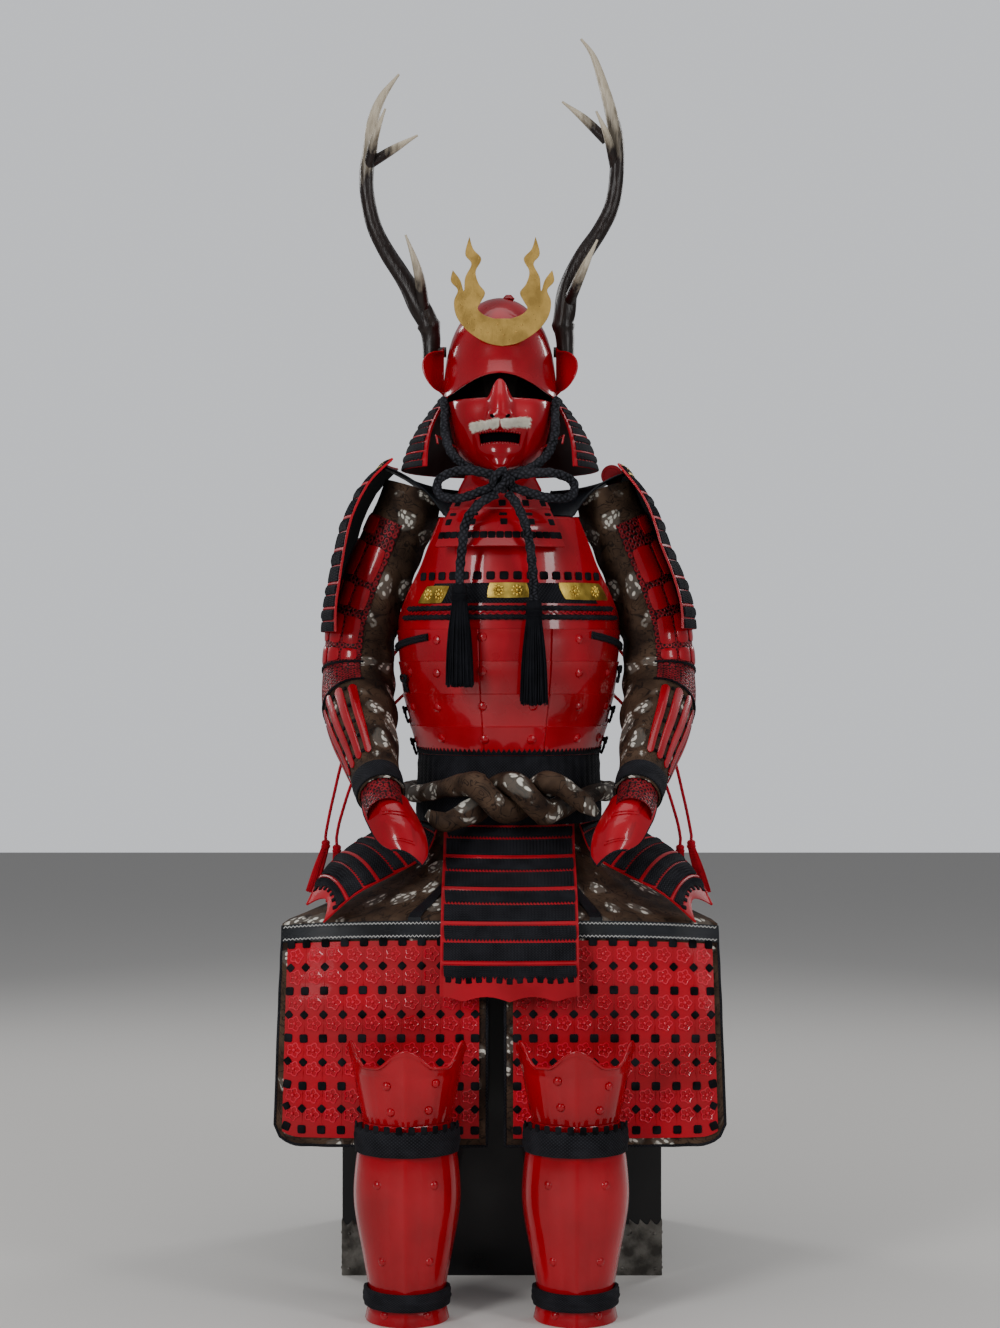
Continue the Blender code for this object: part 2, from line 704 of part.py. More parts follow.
def front_tasset():
    def place(u, v):
        row = reading(FRONT_TASSET, v)
        scallop = 0.008 * (1 - abs(sin(1.5 * pi * u))) * max(0.0, v * 6 - 5)
        return Vector((BODY_X + row.half_width * u, row.y + row.bow * u * u, row.z - scallop))
    wall("tasset_front", "black_lace", even(8, -1, 1), lame_places(TASSET_LAMES), place, PLATE,
         outside=FRONT, relief=lame_relief(TASSET_LAMES))


def lap_tasset(side_name, side):
    def place(u, v):
        row = reading(LAP_TASSET, v)
        inner = Vector(row[:3])
        outer = Vector(row[3:])
        point = inner.lerp(outer, (u + 1) / 2)
        point.z += LAP_CROWN * (1 - u * u) * min(1.0, 4 * v)
        notch = EAR_NOTCH * (1 - u * u) * max(0.0, v * 5 - 4)
        back = Vector((0.7, 0.6, 0.35)) * notch
        point += back
        return Vector((BODY_X - side * point.x, point.y, point.z))
    wall("tasset_lap_" + side_name, "black_lace", even(5, -1, 1), lame_places(TASSET_LAMES), place, PLATE,
         outside=UP, relief=lame_relief(TASSET_LAMES))


def hanging_tasset(name, hang):
    def place(u, v):
        turn = (hang.heading + u * hang.half_angle) / 360
        aim = radians(hang.heading + u * hang.half_angle * 0.6)
        top = waist_point(turn, 1.0)
        notch = EAR_NOTCH * (1 - u * u) * max(0.0, v * 5 - 4)
        reach = hang.reach * sin(v * pi / 2)
        drop = hang.drop * (0.8 * (1 - cos(v * pi / 2)) + 0.2 * v) - notch * 0.5
        return Vector((top.x + sin(aim) * reach, top.y - cos(aim) * reach, TASSET_TOP_Z - drop))
    heading = radians(hang.heading)
    wall(name, "black_lace", even(4, -1, 1), lame_places(TASSET_LAMES), place, PLATE,
         outside=Vector((sin(heading), -cos(heading), 1)), relief=lame_relief(TASSET_LAMES))


# Belt: two padded ropes round the waist, twisted together in front
ROPE_RADIUS = 0.0145
TWIST_RADIUS = 0.0200
TWIST_START_X = -0.050
TWIST_END_X = 0.074
TWIST_Y = -0.203
TWIST_Z = 0.768
TWIST_TURNS = 1.0
TWIST_SLACK = 0.0018
TWIST_BACK_Y = -0.150
ROPE_LIFT = LACING + PLEAT_DEPTH + ROPE_RADIUS + 4 * GAP
LEFT_TAIL = ((0.094, -0.206, 0.785), (0.122, -0.206, 0.764), (0.150, -0.206, 0.742))
RIGHT_TAIL = ((-0.068, -0.206, 0.737), (-0.092, -0.210, 0.730), (-0.118, -0.212, 0.744))


def rope_round(side, first, last, steps):
    """The run of a rope on the lacing, by its turn round the waist from the back to the front."""
    route = []
    for step in range(steps + 1):
        turn = side * (first + (last - first) * step / steps)
        point = waist_point(turn, 0.55)
        middle = Vector((BODY_X, 0, point.z))
        out = (point - middle).normalized()
        route.append(point + out * ROPE_LIFT)
    return route


def rope_twist(phase):
    route = []
    for step in range(13):
        t = step / 12
        angle = phase + 2 * pi * TWIST_TURNS * t
        reach = TWIST_RADIUS + TWIST_SLACK
        route.append(Vector((
            TWIST_START_X + (TWIST_END_X - TWIST_START_X) * t,
            TWIST_Y + reach * cos(angle),
            TWIST_Z + reach * sin(angle),
        )))
    return route


def rope_radius(point):
    """The rope is padded most where it is twisted in front, and thinner round the sides and at its tails."""
    from_middle = abs(point.x - (TWIST_START_X + TWIST_END_X) / 2)
    fullness = max(0.0, min(1.0, 2.2 - from_middle / 0.050)) if point.y < TWIST_BACK_Y else 0.0
    return ROPE_RADIUS + (TWIST_RADIUS - ROPE_RADIUS) * fullness


def belt():
    left = rope_round(-1, 0.49, 0.16, 9) + rope_twist(pi / 2) + [Vector(point) for point in LEFT_TAIL]
    right = rope_round(1, 0.49, 0.15, 9) + rope_twist(-pi / 2)[::-1] + [Vector(point) for point in RIGHT_TAIL]
    for name, route in (("belt_rope_left", left), ("belt_rope_right", right)):
        points = smooth_route(route, 0.0230)
        tube(name, "brocade", points, [rope_radius(point) for point in points], 2)


# Arms: rings of a sleeve from the shoulder to the wrist, as measured from the body's middle
Ring = namedtuple("Ring", "out y z half_width half_depth")
SLEEVE_RINGS = (
    Ring(0.1560, 0.000, 1.2660, 0.048, 0.058),
    Ring(0.1680, 0.000, 1.2300, 0.050, 0.060),
    Ring(0.1930, 0.000, 1.1750, 0.050, 0.058),
    Ring(0.2240, 0.004, 1.1000, 0.052, 0.056),
    Ring(0.2430, 0.006, 1.0350, 0.053, 0.058),
    Ring(0.2480, 0.004, 0.9700, 0.055, 0.062),
    Ring(0.2470, -0.024, 0.9150, 0.056, 0.060),
    Ring(0.2350, -0.090, 0.8700, 0.050, 0.054),
    Ring(0.2200, -0.155, 0.8300, 0.042, 0.045),
    Ring(0.2080, -0.212, 0.7960, 0.036, 0.037),
    Ring(0.1990, -0.245, 0.7740, 0.034, 0.034),
)
LEFT_SLEEVE_RISE = 0.0011
SLEEVE_COLUMNS = 12
SLEEVE_PLACES = [0, 0.07] + even(5, 0.15, 0.5) + [0.56] + even(5, 0.62, 0.88) + [1]
UPPER_GUARD_LAMES = 5


def sleeve_point(side):
    """Points of a sleeve, u a turn from 0 to 1 that starts outward and goes over the front."""
    def place(u, v):
        row = reading(SLEEVE_RINGS, v)
        before = reading(SLEEVE_RINGS, max(0.0, v - 0.02))
        after = reading(SLEEVE_RINGS, min(1.0, v + 0.02))
        seated = LEFT_SLEEVE_RISE * max(0.0, 1 - 15 * v) if side < 0 else 0.0
        centre = Vector((BODY_X + side * row.out, row.y, row.z + seated))
        run = Vector((side * (after.out - before.out), after.y - before.y, after.z - before.z)).normalized()
        outward = Vector((side, 0, 0))
        outward = (outward - run * outward.dot(run)).normalized()
        front = outward.cross(run) * -side
        angle = 2 * pi * u
        return centre + outward * row.half_width * cos(angle) + front * row.half_depth * sin(angle)
    return place


def sleeve_outward(side):
    place = sleeve_point(side)

    def outward(u, v):
        return place(u, v) - place(u + 0.5, v)
    return outward


def arm(side_name, side):
    surface = sleeve_point(side)
    folds = (0.30, 0.42, 0.58)

    def crease(u, v):
        """Soft folds across the inside of the elbow, where no guard lies."""
        inside = max(0.0, cos(2 * pi * (u - 0.62)))
        return 0.004 * inside * sum(bump(v, fold, 0.06) for fold in folds)
    wall("sleeve_" + side_name, "brocade", even(SLEEVE_COLUMNS), SLEEVE_PLACES, surface, CLOTH, relief=crease)

    lift = lifted(surface, CLOTH + 2 * GAP, sleeve_outward(side))
    columns = [column / SLEEVE_COLUMNS for column in range(-1, 4)]
    upper = [0.15 + 0.35 * place for place in lame_places(UPPER_GUARD_LAMES)]

    def upper_relief(u, v):
        return lame_relief(UPPER_GUARD_LAMES, 0.0015)(u, (v - 0.15) / 0.35)
    wall("upper_arm_guard_" + side_name, "red_lacquer", columns, upper, lift, PLATE,
         outside=Vector((side, -1, 0)), relief=upper_relief)

    splints = [0.62 + 0.26 * place for place in even(5)]

    def splint_relief(u, v):
        return 0.0018 * (round(u * SLEEVE_COLUMNS) % 2)
    wall("forearm_guard_" + side_name, "red_lacquer", columns, splints, lift, PLATE,
         outside=Vector((side, -1, 1)), relief=splint_relief)


# Hand guards: a domed plate over the back of each hand, with a thumb flap on its inner side
Hand = namedtuple("Hand", "out y z half_width crown")
HAND_ROWS = (
    Hand(0.1950, -0.2614, 0.7850, 0.036, 0.030),
    Hand(0.1850, -0.288, 0.7640, 0.044, 0.034),
    Hand(0.1720, -0.310, 0.7380, 0.046, 0.032),
    Hand(0.1620, -0.326, 0.7080, 0.040, 0.024),
    Hand(0.1560, -0.334, 0.6900, 0.024, 0.014),
)


def hand_guard(side_name, side):
    def place(u, v):
        row = reading(HAND_ROWS, v)
        out = row.out + row.half_width * u * 0.92
        fall = row.crown * u * u
        return Vector((BODY_X + side * out, row.y + 0.70 * fall, row.z - 0.55 * fall + 0.012 * u * v))
    wall("hand_guard_" + side_name, "red_lacquer", even(8, -1, 1), even(7), place, PLATE,
         outside=Vector((0, -1, 0.6)))


# Shoulder guards: laced lames outside each upper arm
Guard = namedtuple("Guard", "z out half_length")
LEFT_GUARD = (
    Guard(1.3080, 0.2010, 0.105),
    Guard(1.2700, 0.2400, 0.120),
    Guard(1.2170, 0.2690, 0.128),
    Guard(1.1650, 0.2840, 0.132),
    Guard(1.1100, 0.2950, 0.134),
    Guard(1.0700, 0.3030, 0.134),
    Guard(1.0300, 0.3060, 0.134),
)
RIGHT_GUARD = (
    Guard(1.3000, 0.1890, 0.105),
    Guard(1.2550, 0.2260, 0.120),
    Guard(1.2150, 0.2480, 0.128),
    Guard(1.1700, 0.2640, 0.132),
    Guard(1.1200, 0.2860, 0.134),
    Guard(1.0750, 0.3010, 0.134),
    Guard(1.0350, 0.3060, 0.134),
)
GUARD_LAMES = 6
GUARD_BOW = 0.030


def shoulder_guard(side_name, side, table):
    def place(u, v):
        row = reading(table, v)
        bow = GUARD_BOW * u * u * (0.5 + 0.5 * v)
        return Vector((BODY_X + side * (row.out - bow), 0.004 + row.half_length * u, row.z))
    wall("shoulder_guard_" + side_name, "black_lace", even(6, -1, 1), lame_places(GUARD_LAMES), place, PLATE,
         outside=Vector((side, 0, 0.2)), relief=lame_relief(GUARD_LAMES))


# Shoulder straps: from the back plate over the shoulder to the breast plate, each with a padded wing that
# reaches out under the top lame of the shoulder guard; the right one has a rounded plate that stands on it
Strap = namedtuple("Strap", "y z inner outer wing")
STRAPS = (
    Strap(0.1010, 1.2250, 0.062, 0.104, 0.00),
    Strap(0.0650, 1.2460, 0.066, 0.104, 0.55),
    Strap(0.0200, 1.2600, 0.070, 0.100, 1.00),
    Strap(-0.0250, 1.2560, 0.070, 0.100, 0.90),
    Strap(-0.0750, 1.2360, 0.066, 0.104, 0.30),
    Strap(-0.1120, 1.2135, 0.062, 0.102, 0.00),
)
STRAP_THICKNESS = 0.004
WING_REACH = 0.05
WING_CLEARANCE = {"left": 0.0062, "right": 0.0050}
STANDING_PLATE_RADIUS = 0.018


def shoulder_strap(side_name, side, table):
    """The strap, its wing ending just inside the shoulder guard at WING_REACH of the way down it."""
    end = reading(table, WING_REACH)

    def place(u, v):
        row = reading(STRAPS, v)
        outer = row.outer + (end.out - WING_CLEARANCE[side_name] - row.outer) * row.wing
        rise = (end.z - row.z) * row.wing
        return Vector((BODY_X + side * (row.inner + (outer - row.inner) * u), row.y, row.z + rise * u * u))
    name = "shoulder_strap_" + side_name
    strap = wall(name, "black_leather", even(4), even(8), place, STRAP_THICKNESS, outside=UP)
    if side_name == "left":
        return
    plate = bmesh.new()
    foot = place(0.86, 0.36)
    shape = Matrix.Translation(foot + Vector((0, 0, STANDING_PLATE_RADIUS * 0.6))) @ Matrix.Rotation(pi / 2, 4, "X")
    bmesh.ops.create_cone(plate, cap_ends=True, segments=16, radius1=STANDING_PLATE_RADIUS,
                          radius2=STANDING_PLATE_RADIUS, depth=PLATE, matrix=shape)
    fused(strap, [add(name + "_plate", plate, "red_lacquer")])


# Thigh guard: a brocade apron from the waist over the lap, with two leaves that hang in front of the knees
APRON_ANGLE = 56
APRON_INSET = 0.0036
KNEE_HALF_WIDTH = 0.334
KNEE_Y = -0.322
KNEE_Z = 0.592
LAP_SAG = 0.008
LEAF_FOOT_Z = 0.246
LEAF_FOOT_Y = -0.343
LEAF_HALF_WIDTH = 0.343
LEAF_CORNER = 0.030
SLIT_LEFT = -0.023
SLIT_RIGHT = 0.005
APRON_CENTRE = -0.003
KNEE_PLACE = 0.35
BAND_PLACES = (0.360, 0.410)
FIELD_PLACES = (0.416, 0.975)
FIELD_ROWS = 9
FIELD_INSET = 0.035
STUD_STEP = 0.0014


def apron_point(u, v):
    """A point of the apron, u from its left edge (-1) to its right edge (1), v from the waist to the foot."""
    turn = u * APRON_ANGLE / 360
    ring = waist_point(turn, 1.0)
    middle = Vector((BODY_X, 0, ring.z))
    top = middle + (ring - middle) * (1 - APRON_INSET / 0.15)
    top.z -= 2 * GAP
    knee_bow = 0.020 * u ** 4
    knee = Vector((APRON_CENTRE + KNEE_HALF_WIDTH * u, KNEE_Y + knee_bow * 2, KNEE_Z - knee_bow * 0.6))
    if v < KNEE_PLACE:
        t = v / KNEE_PLACE
        out = top.lerp(knee, t ** 1.5)
        return Vector((out.x, out.y, top.z + (knee.z - top.z) * t - LAP_SAG * sin(pi * t)))
    t = (v - KNEE_PLACE) / (1 - KNEE_PLACE)
    corner = LEAF_CORNER * max(0.0, abs(u) - 0.88) / 0.12
    foot_z = LEAF_FOOT_Z + corner * t
    half_width = KNEE_HALF_WIDTH + (LEAF_HALF_WIDTH - KNEE_HALF_WIDTH) * t
    forward = KNEE_Y + (LEAF_FOOT_Y - KNEE_Y) * min(1.0, 2.5 * t) + knee_bow * (2 - t)
    drop = KNEE_Z - knee_bow * 0.6 - foot_z
    return Vector((APRON_CENTRE + half_width * u, forward, knee.z - drop * t))


def u_at(x, half_width=LEAF_HALF_WIDTH):
    return (x - APRON_CENTRE) / half_width


def apron_outward(u, v):
    return Vector((0, -1, 0.3))


def apron_columns():
    left = even(6, -1, u_at(SLIT_LEFT))
    right = even(6, u_at(SLIT_RIGHT), 1)
    return left + right


def apron_rows():
    knee = [0.30, KNEE_PLACE, BAND_PLACES[0], BAND_PLACES[1]]
    return [0.0, 0.06, 0.14, 0.23] + knee + even(FIELD_ROWS // 3, FIELD_PLACES[0] + 0.14, 1.0)


def thigh_guard():
    def slit(u, v):
        return u_at(SLIT_LEFT) < u < u_at(SLIT_RIGHT) and v > BAND_PLACES[0]
    columns = apron_columns()
    wall("thigh_apron", "brocade", columns, apron_rows(), apron_point, CLOTH, outside=FRONT, skip=slit)

    over = lifted(apron_point, CLOTH + 3 * GAP, apron_outward)
    wall("thigh_band", "black_leather", columns, even(1, *BAND_PLACES), over, CLOTH, outside=FRONT)

    def studs(u, v):
        row = (v - FIELD_PLACES[0]) / (FIELD_PLACES[1] - FIELD_PLACES[0]) * 2 * FIELD_ROWS
        return STUD_STEP * (round(row) % 2)
    rows = even(FIELD_ROWS, *FIELD_PLACES)
    left = [columns[0] + FIELD_INSET] + columns[1:6] + [columns[6] - FIELD_INSET]
    right = [columns[7] + FIELD_INSET] + columns[8:-1] + [columns[-1] - FIELD_INSET]
    wall("thigh_plates_left", "red_lacquer", left, rows, over, PLATE, outside=FRONT, relief=studs)
    wall("thigh_plates_right", "red_lacquer", right, rows, over, PLATE, outside=FRONT, relief=studs)


# Legs: shin guards with knee plates, tied at the knee and at the ankle
Shin = namedtuple("Shin", "z half_width front reach")
SHIN_ROWS = (
    Shin(0.0000, 0.0600, 0.062, 92),
    Shin(0.0140, 0.0570, 0.060, 92),
    Shin(0.0330, 0.0530, 0.058, 92),
    Shin(0.0900, 0.0620, 0.062, 92),
    Shin(0.1700, 0.0760, 0.068, 92),
    Shin(0.2300, 0.0740, 0.066, 92),
    Shin(0.2750, 0.0660, 0.062, 92),
    Shin(0.2960, 0.0630, 0.060, 92),
)
KNEE_ROWS = (
    Shin(0.2972, 0.0630, 0.060, 92),
    Shin(0.3300, 0.0700, 0.066, 90),
    Shin(0.3700, 0.0770, 0.070, 90),
    Shin(0.4000, 0.0810, 0.070, 84),
)
LEGS = {"left": -0.142, "right": 0.110}
LEG_Y = -0.392
TIE_BACK = 0.032
RIDGE = 0.006
KNEE_SPIKE = 0.016
KNEE_CREST = 0.008
Tie = namedtuple("Tie", "low high half_width half_depth")
KNEE_TIE = Tie(0.2520, 0.2900, 0.0738, 0.0735)
ANKLE_TIE = Tie(0.0240, 0.0500, 0.0602, 0.0682)
TIE_THICKNESS = 0.006
TIE_ROUNDING = 0.003


def leg_point(table, centre_x, wavy=False):
    def place(u, v):
        row = reading(table, v)
        angle = u * radians(row.reach)
        ridge = RIDGE * max(0.0, 1 - abs(u) * 5)
        z = row.z
        if wavy:
            spikes = KNEE_SPIKE * bump(abs(u), 0.86, 0.34) + KNEE_CREST * bump(u, 0, 0.35)
            z += spikes * max(0.0, v * 3 - 2)
        flare = 0.006 * max(0.0, v * 3 - 2) if wavy else 0.0
        return Vector((
            centre_x + (row.half_width + flare) * sin(angle),
            LEG_Y - (row.front + ridge + flare) * cos(angle),
            z,
        ))
    return place


def leg(side_name, centre_x):
    columns = (-1.0, -0.72, -0.45, -0.2, 0.0, 0.2, 0.45, 0.72, 1.0)
    wall("shin_plate_" + side_name, "red_lacquer", columns, even(7), leg_point(SHIN_ROWS, centre_x), PLATE,
         outside=FRONT)
    knee_columns = (-1.0, -0.86, -0.65, -0.4, -0.2, 0.0, 0.2, 0.4, 0.65, 0.86, 1.0)
    wall("knee_plate_" + side_name, "red_lacquer", knee_columns, (0.0, 0.3, 0.6, 0.8, 1.0),
         leg_point(KNEE_ROWS, centre_x, wavy=True), PLATE, outside=FRONT)
    for part, tie in (("knee", KNEE_TIE), ("ankle", ANKLE_TIE)):
        def place(u, v, tie=tie):
            angle = 2 * pi * u
            depth = tie.half_depth if cos(angle) > 0 else TIE_BACK
            return Vector((
                centre_x + tie.half_width * sin(angle),
                LEG_Y - depth * cos(angle),
                tie.low + (tie.high - tie.low) * v,
            ))

        def round_edge(u, v):
            return TIE_ROUNDING * (1 - (2 * v - 1) ** 2)
        wall(f"{part}_tie_{side_name}", "black_lace", even(16), (0.0, 0.5, 1.0), place,
             TIE_THICKNESS - TIE_ROUNDING, relief=round_edge)


# Armour chest and the stand on it
CHEST_HALF_WIDTH = 0.255
CHEST_FRONT = -0.130
CHEST_BACK = 0.300
CHEST_BODY_TOP = 0.450
CHEST_LID_TOP = 0.515
CHEST_BOARD = 0.016
POST = 0.026
HEAD_BLOCK_RADIUS = 0.060


def chest():
    body = block("chest_body", "black_lacquer", (-CHEST_HALF_WIDTH, CHEST_FRONT, 0),
                 (CHEST_HALF_WIDTH, CHEST_BACK, CHEST_BODY_TOP))
    inner = block("chest_hollow", "black_lacquer",
                  (-CHEST_HALF_WIDTH + CHEST_BOARD, CHEST_FRONT + CHEST_BOARD, CHEST_BOARD),
                  (CHEST_HALF_WIDTH - CHEST_BOARD, CHEST_BACK - CHEST_BOARD, CHEST_BODY_TOP + CHEST_BOARD))
    ARMOUR.objects.unlink(inner)
    CUTTERS.objects.link(inner)
    inner.hide_render = True
    inner.display_type = "WIRE"
    cut = body.modifiers.new("hollow", "BOOLEAN")
    cut.operation = "DIFFERENCE"
    cut.solver = "EXACT"
    cut.object = inner
    block("chest_lid", "black_lacquer", (-CHEST_HALF_WIDTH - 0.004, CHEST_FRONT - 0.004, CHEST_BODY_TOP + GAP),
          (CHEST_HALF_WIDTH + 0.004, CHEST_BACK + 0.004, CHEST_LID_TOP), bevel=0.006)


def stand():
    """Base board, post, waist bar, shoulder bar and a turned head block, joined to one body."""
    foot = CHEST_LID_TOP + GAP
    base = block("inner_stand", "stand_wood", (BODY_X - 0.09, -0.075, foot), (BODY_X + 0.09, 0.105, foot + 0.020))
    post = block("stand_post", "stand_wood", (BODY_X - POST, -POST, foot + 0.010), (BODY_X + POST, POST, 1.40))
    bar = block("stand_shoulders", "stand_wood", (BODY_X - 0.086, -0.010, 1.225), (BODY_X + 0.086, 0.022, 1.2580))
    head = bmesh.new()
    shape = Matrix.Translation((HEAD_X, 0, 1.4772)) @ Matrix.Diagonal((1.0, 1.15, 1.70, 1))
    bmesh.ops.create_uvsphere(head, u_segments=12, v_segments=8, radius=HEAD_BLOCK_RADIUS, matrix=shape)
    fused(base, [post, bar, add("stand_head", head, "stand_wood")])


# Red cords behind, each folded once with a tassel on both ends
BACK_CORD_RADIUS = 0.0028
LEFT_BACK_CORD = (
    (-0.3010, 0.150, 0.6780), (-0.3000, 0.150, 0.6920), (-0.2880, 0.149, 0.7500), (-0.2640, 0.146, 0.8400),
    (-0.2150, 0.142, 0.9500), (-0.1350, 0.140, 1.0500), (-0.0600, 0.1398, 1.1000), (-0.0350, 0.1403, 1.0900),
    (-0.0500, 0.1403, 1.0500), (-0.1200, 0.140, 0.9700), (-0.2000, 0.142, 0.8900), (-0.2500, 0.146, 0.7900),
    (-0.2740, 0.149, 0.7200), (-0.2820, 0.150, 0.6840), (-0.2820, 0.150, 0.6700),
)
BACK_TASSEL_LENGTH = 0.090


def back_cord(side_name, side):
    route = [(BODY_X + side * -(x - BODY_X), y, z) for x, y, z in LEFT_BACK_CORD]
    cord("back_cord_" + side_name, "red_silk", route, BACK_CORD_RADIUS, spacing=6)
    for number, end, lean in (("outer", route[0], 0.024), ("inner", route[-1], -0.004)):
        top = (end[0], end[1], end[2] - 2 * GAP)
        tassel(f"back_tassel_{side_name}_{number}", "red_silk", top, BACK_TASSEL_LENGTH, 0.0095, 9, 0.0075, 0.014,
               lean=(side * lean, 0))


clear_scene()
ARMOUR = collection("samurai_armour")
CUTTERS = collection("cutters")
helmet_bowl()
front_crest()
antler("left", LEFT_BEAM, LEFT_TINES)
antler("right", RIGHT_BEAM, RIGHT_TINES)
neck_guard()
face_mask()
throat_guard()
chin_cords()
chin_bow()
for tassel_name, cord_route, tassel_length in (("tassel_left", LEFT_END, 0.164), ("tassel_right", RIGHT_END, 0.168)):
    tassel(tassel_name, "black_lace", Vector(cord_route[-1]) - UP * 4 * GAP, tassel_length, 0.024, 18, 0.0125, 0.026)
cuirass()
waist_lacing()
front_tasset()
for tasset_name, tasset_hang in HANGING_TASSETS.items():
    hanging_tasset(tasset_name, tasset_hang)
belt()
thigh_guard()
chest()
stand()
for side_name, side in (("left", -1), ("right", 1)):
    ear(side_name, side)
    lap_tasset(side_name, side)
    arm(side_name, side)
    hand_guard(side_name, side)
    leg(side_name, LEGS[side_name])
    back_cord(side_name, side)
for side_name, side, table in (("left", -1, LEFT_GUARD), ("right", 1, RIGHT_GUARD)):
    shoulder_guard(side_name, side, table)
    shoulder_strap(side_name, side, table)
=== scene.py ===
import json
import random
from collections import namedtuple
from math import cos, floor, pi, radians, sin, sqrt

import bmesh
import bpy
from mathutils import Matrix, Vector


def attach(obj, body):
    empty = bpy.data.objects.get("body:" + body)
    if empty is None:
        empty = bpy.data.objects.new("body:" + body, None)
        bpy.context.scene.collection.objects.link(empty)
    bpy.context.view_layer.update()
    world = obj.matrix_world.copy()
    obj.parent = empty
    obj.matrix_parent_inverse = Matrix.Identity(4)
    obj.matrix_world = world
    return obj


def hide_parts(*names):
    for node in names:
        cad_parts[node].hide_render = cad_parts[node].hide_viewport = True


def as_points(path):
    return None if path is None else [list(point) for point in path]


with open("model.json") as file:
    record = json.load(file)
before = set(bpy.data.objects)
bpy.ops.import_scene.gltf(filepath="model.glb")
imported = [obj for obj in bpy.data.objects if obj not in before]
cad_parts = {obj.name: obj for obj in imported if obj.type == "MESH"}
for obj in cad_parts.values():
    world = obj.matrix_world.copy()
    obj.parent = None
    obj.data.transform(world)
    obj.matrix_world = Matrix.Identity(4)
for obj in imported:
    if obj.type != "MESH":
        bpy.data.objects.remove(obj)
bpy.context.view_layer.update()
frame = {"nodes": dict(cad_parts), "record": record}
NODES = frame["nodes"]

# %% [markdown]
# The photograph was taken straight from the front, a little below the chest's lace band. A camera four
# metres away with a long lens keeps the uprights parallel, as they are in the picture.
# %% Camera
camera_data = bpy.data.cameras.new("front_camera")
camera_data.lens = 68.96
camera_data.sensor_width = 36
camera_data.sensor_fit = "AUTO"
camera = bpy.data.objects.new("front_camera", camera_data)
camera.location = (-0.003, -4.2, 0.978)
camera.rotation_euler = (pi / 2, 0, 0)
bpy.context.scene.collection.objects.link(camera)
bpy.context.scene.camera = camera

# %% [markdown]
# Lacquer shows its light sources as bright shapes, so the studio has two tall soft boxes in front and one
# behind each shoulder. A pale world fills the shadows, and the floor is plain.
# %% Lights and floor
def soft_box(name, place, aim, size, power):
    """An area light that looks at a point."""
    data = bpy.data.lights.new(name, "AREA")
    data.shape = "RECTANGLE"
    data.size, data.size_y = size
    data.energy = power
    lamp = bpy.data.objects.new(name, data)
    lamp.location = place
    lamp.rotation_euler = (Vector(aim) - Vector(place)).to_track_quat("-Z", "Y").to_euler()
    bpy.context.scene.collection.objects.link(lamp)


soft_box("window_left", (-1.9, -2.9, 1.9), (0, 0, 0.9), (0.8, 1.8), 52)
soft_box("window_right", (2.3, -2.4, 1.7), (0, 0, 0.9), (0.6, 1.8), 26)
soft_box("overhead", (0.0, -0.4, 3.6), (0, -0.1, 0.8), (2.8, 2.2), 26)
soft_box("behind_left", (-2.0, 2.2, 2.2), (0, 0, 1.0), (0.8, 1.4), 24)
soft_box("behind_right", (2.0, 2.2, 2.2), (0, 0, 1.0), (0.8, 1.4), 24)

world = bpy.data.worlds.new("studio")
world.use_nodes = True
world.node_tree.nodes["Background"].inputs["Color"].default_value = (0.86, 0.88, 0.92, 1)
room = world.node_tree
seen = room.nodes.new("ShaderNodeLightPath")
strength = room.nodes.new("ShaderNodeMapRange")
strength.inputs["To Min"].default_value = 0.24
strength.inputs["To Max"].default_value = 0.85
room.links.new(seen.outputs["Is Camera Ray"], strength.inputs["Value"])
room.links.new(strength.outputs[0], room.nodes["Background"].inputs["Strength"])
bpy.context.scene.world = world

floor_edit = bmesh.new()
bmesh.ops.create_grid(floor_edit, x_segments=1, y_segments=1, size=9)
floor_mesh = bpy.data.meshes.new("studio_floor")
floor_edit.to_mesh(floor_mesh)
floor_edit.free()
floor_object = bpy.data.objects.new("studio_floor", floor_mesh)
bpy.context.scene.collection.objects.link(floor_object)
floor_paint = bpy.data.materials.new("pale_floor")
floor_paint.use_nodes = True
floor_paint.node_tree.nodes["Principled BSDF"].inputs["Base Color"].default_value = (0.74, 0.72, 0.69, 1)
floor_paint.node_tree.nodes["Principled BSDF"].inputs["Roughness"].default_value = 0.6
floor_mesh.materials.append(floor_paint)

# %% [markdown]
# Real materials are never one flat value. Effects that several finishes share are made once as node groups:
# wear that varies over the surface, the weave of cloth, and the crossing strands of a braid.
# %% Shared shader groups
def new_group(name, inputs, outputs):
    """An empty shader group with its sockets, each given as (name, kind, default)."""
    group = bpy.data.node_groups.new(name, "ShaderNodeTree")
    for label, kind, value in inputs:
        socket = group.interface.new_socket(label, in_out="INPUT", socket_type=kind)
        if value is not None:
            socket.default_value = value
    for label, kind in outputs:
        group.interface.new_socket(label, in_out="OUTPUT", socket_type=kind)
    start = group.nodes.new("NodeGroupInput")
    end = group.nodes.new("NodeGroupOutput")
    return group, start, end


def feed(tree, socket, value):
    """Gives an input its value, or links another node's output to it."""
    if isinstance(value, bpy.types.NodeSocket):
        tree.links.new(value, socket)
    else:
        socket.default_value = value


def add_node(tree, kind, settings=None, **links):
    """A node with its properties and inputs; an input is a value or another node's output."""
    node = tree.nodes.new(kind)
    for key, value in (settings or {}).items():
        setattr(node, key, value)
    for key, value in links.items():
        numbered = key[0] == "i" and key[1:].isdigit()
        feed(tree, node.inputs[int(key[1:]) if numbered else key.replace("_", " ")], value)
    return node


def math_node(tree, operation, first, second=0.0):
    return add_node(tree, "ShaderNodeMath", {"operation": operation}, i0=first, i1=second).outputs[0]


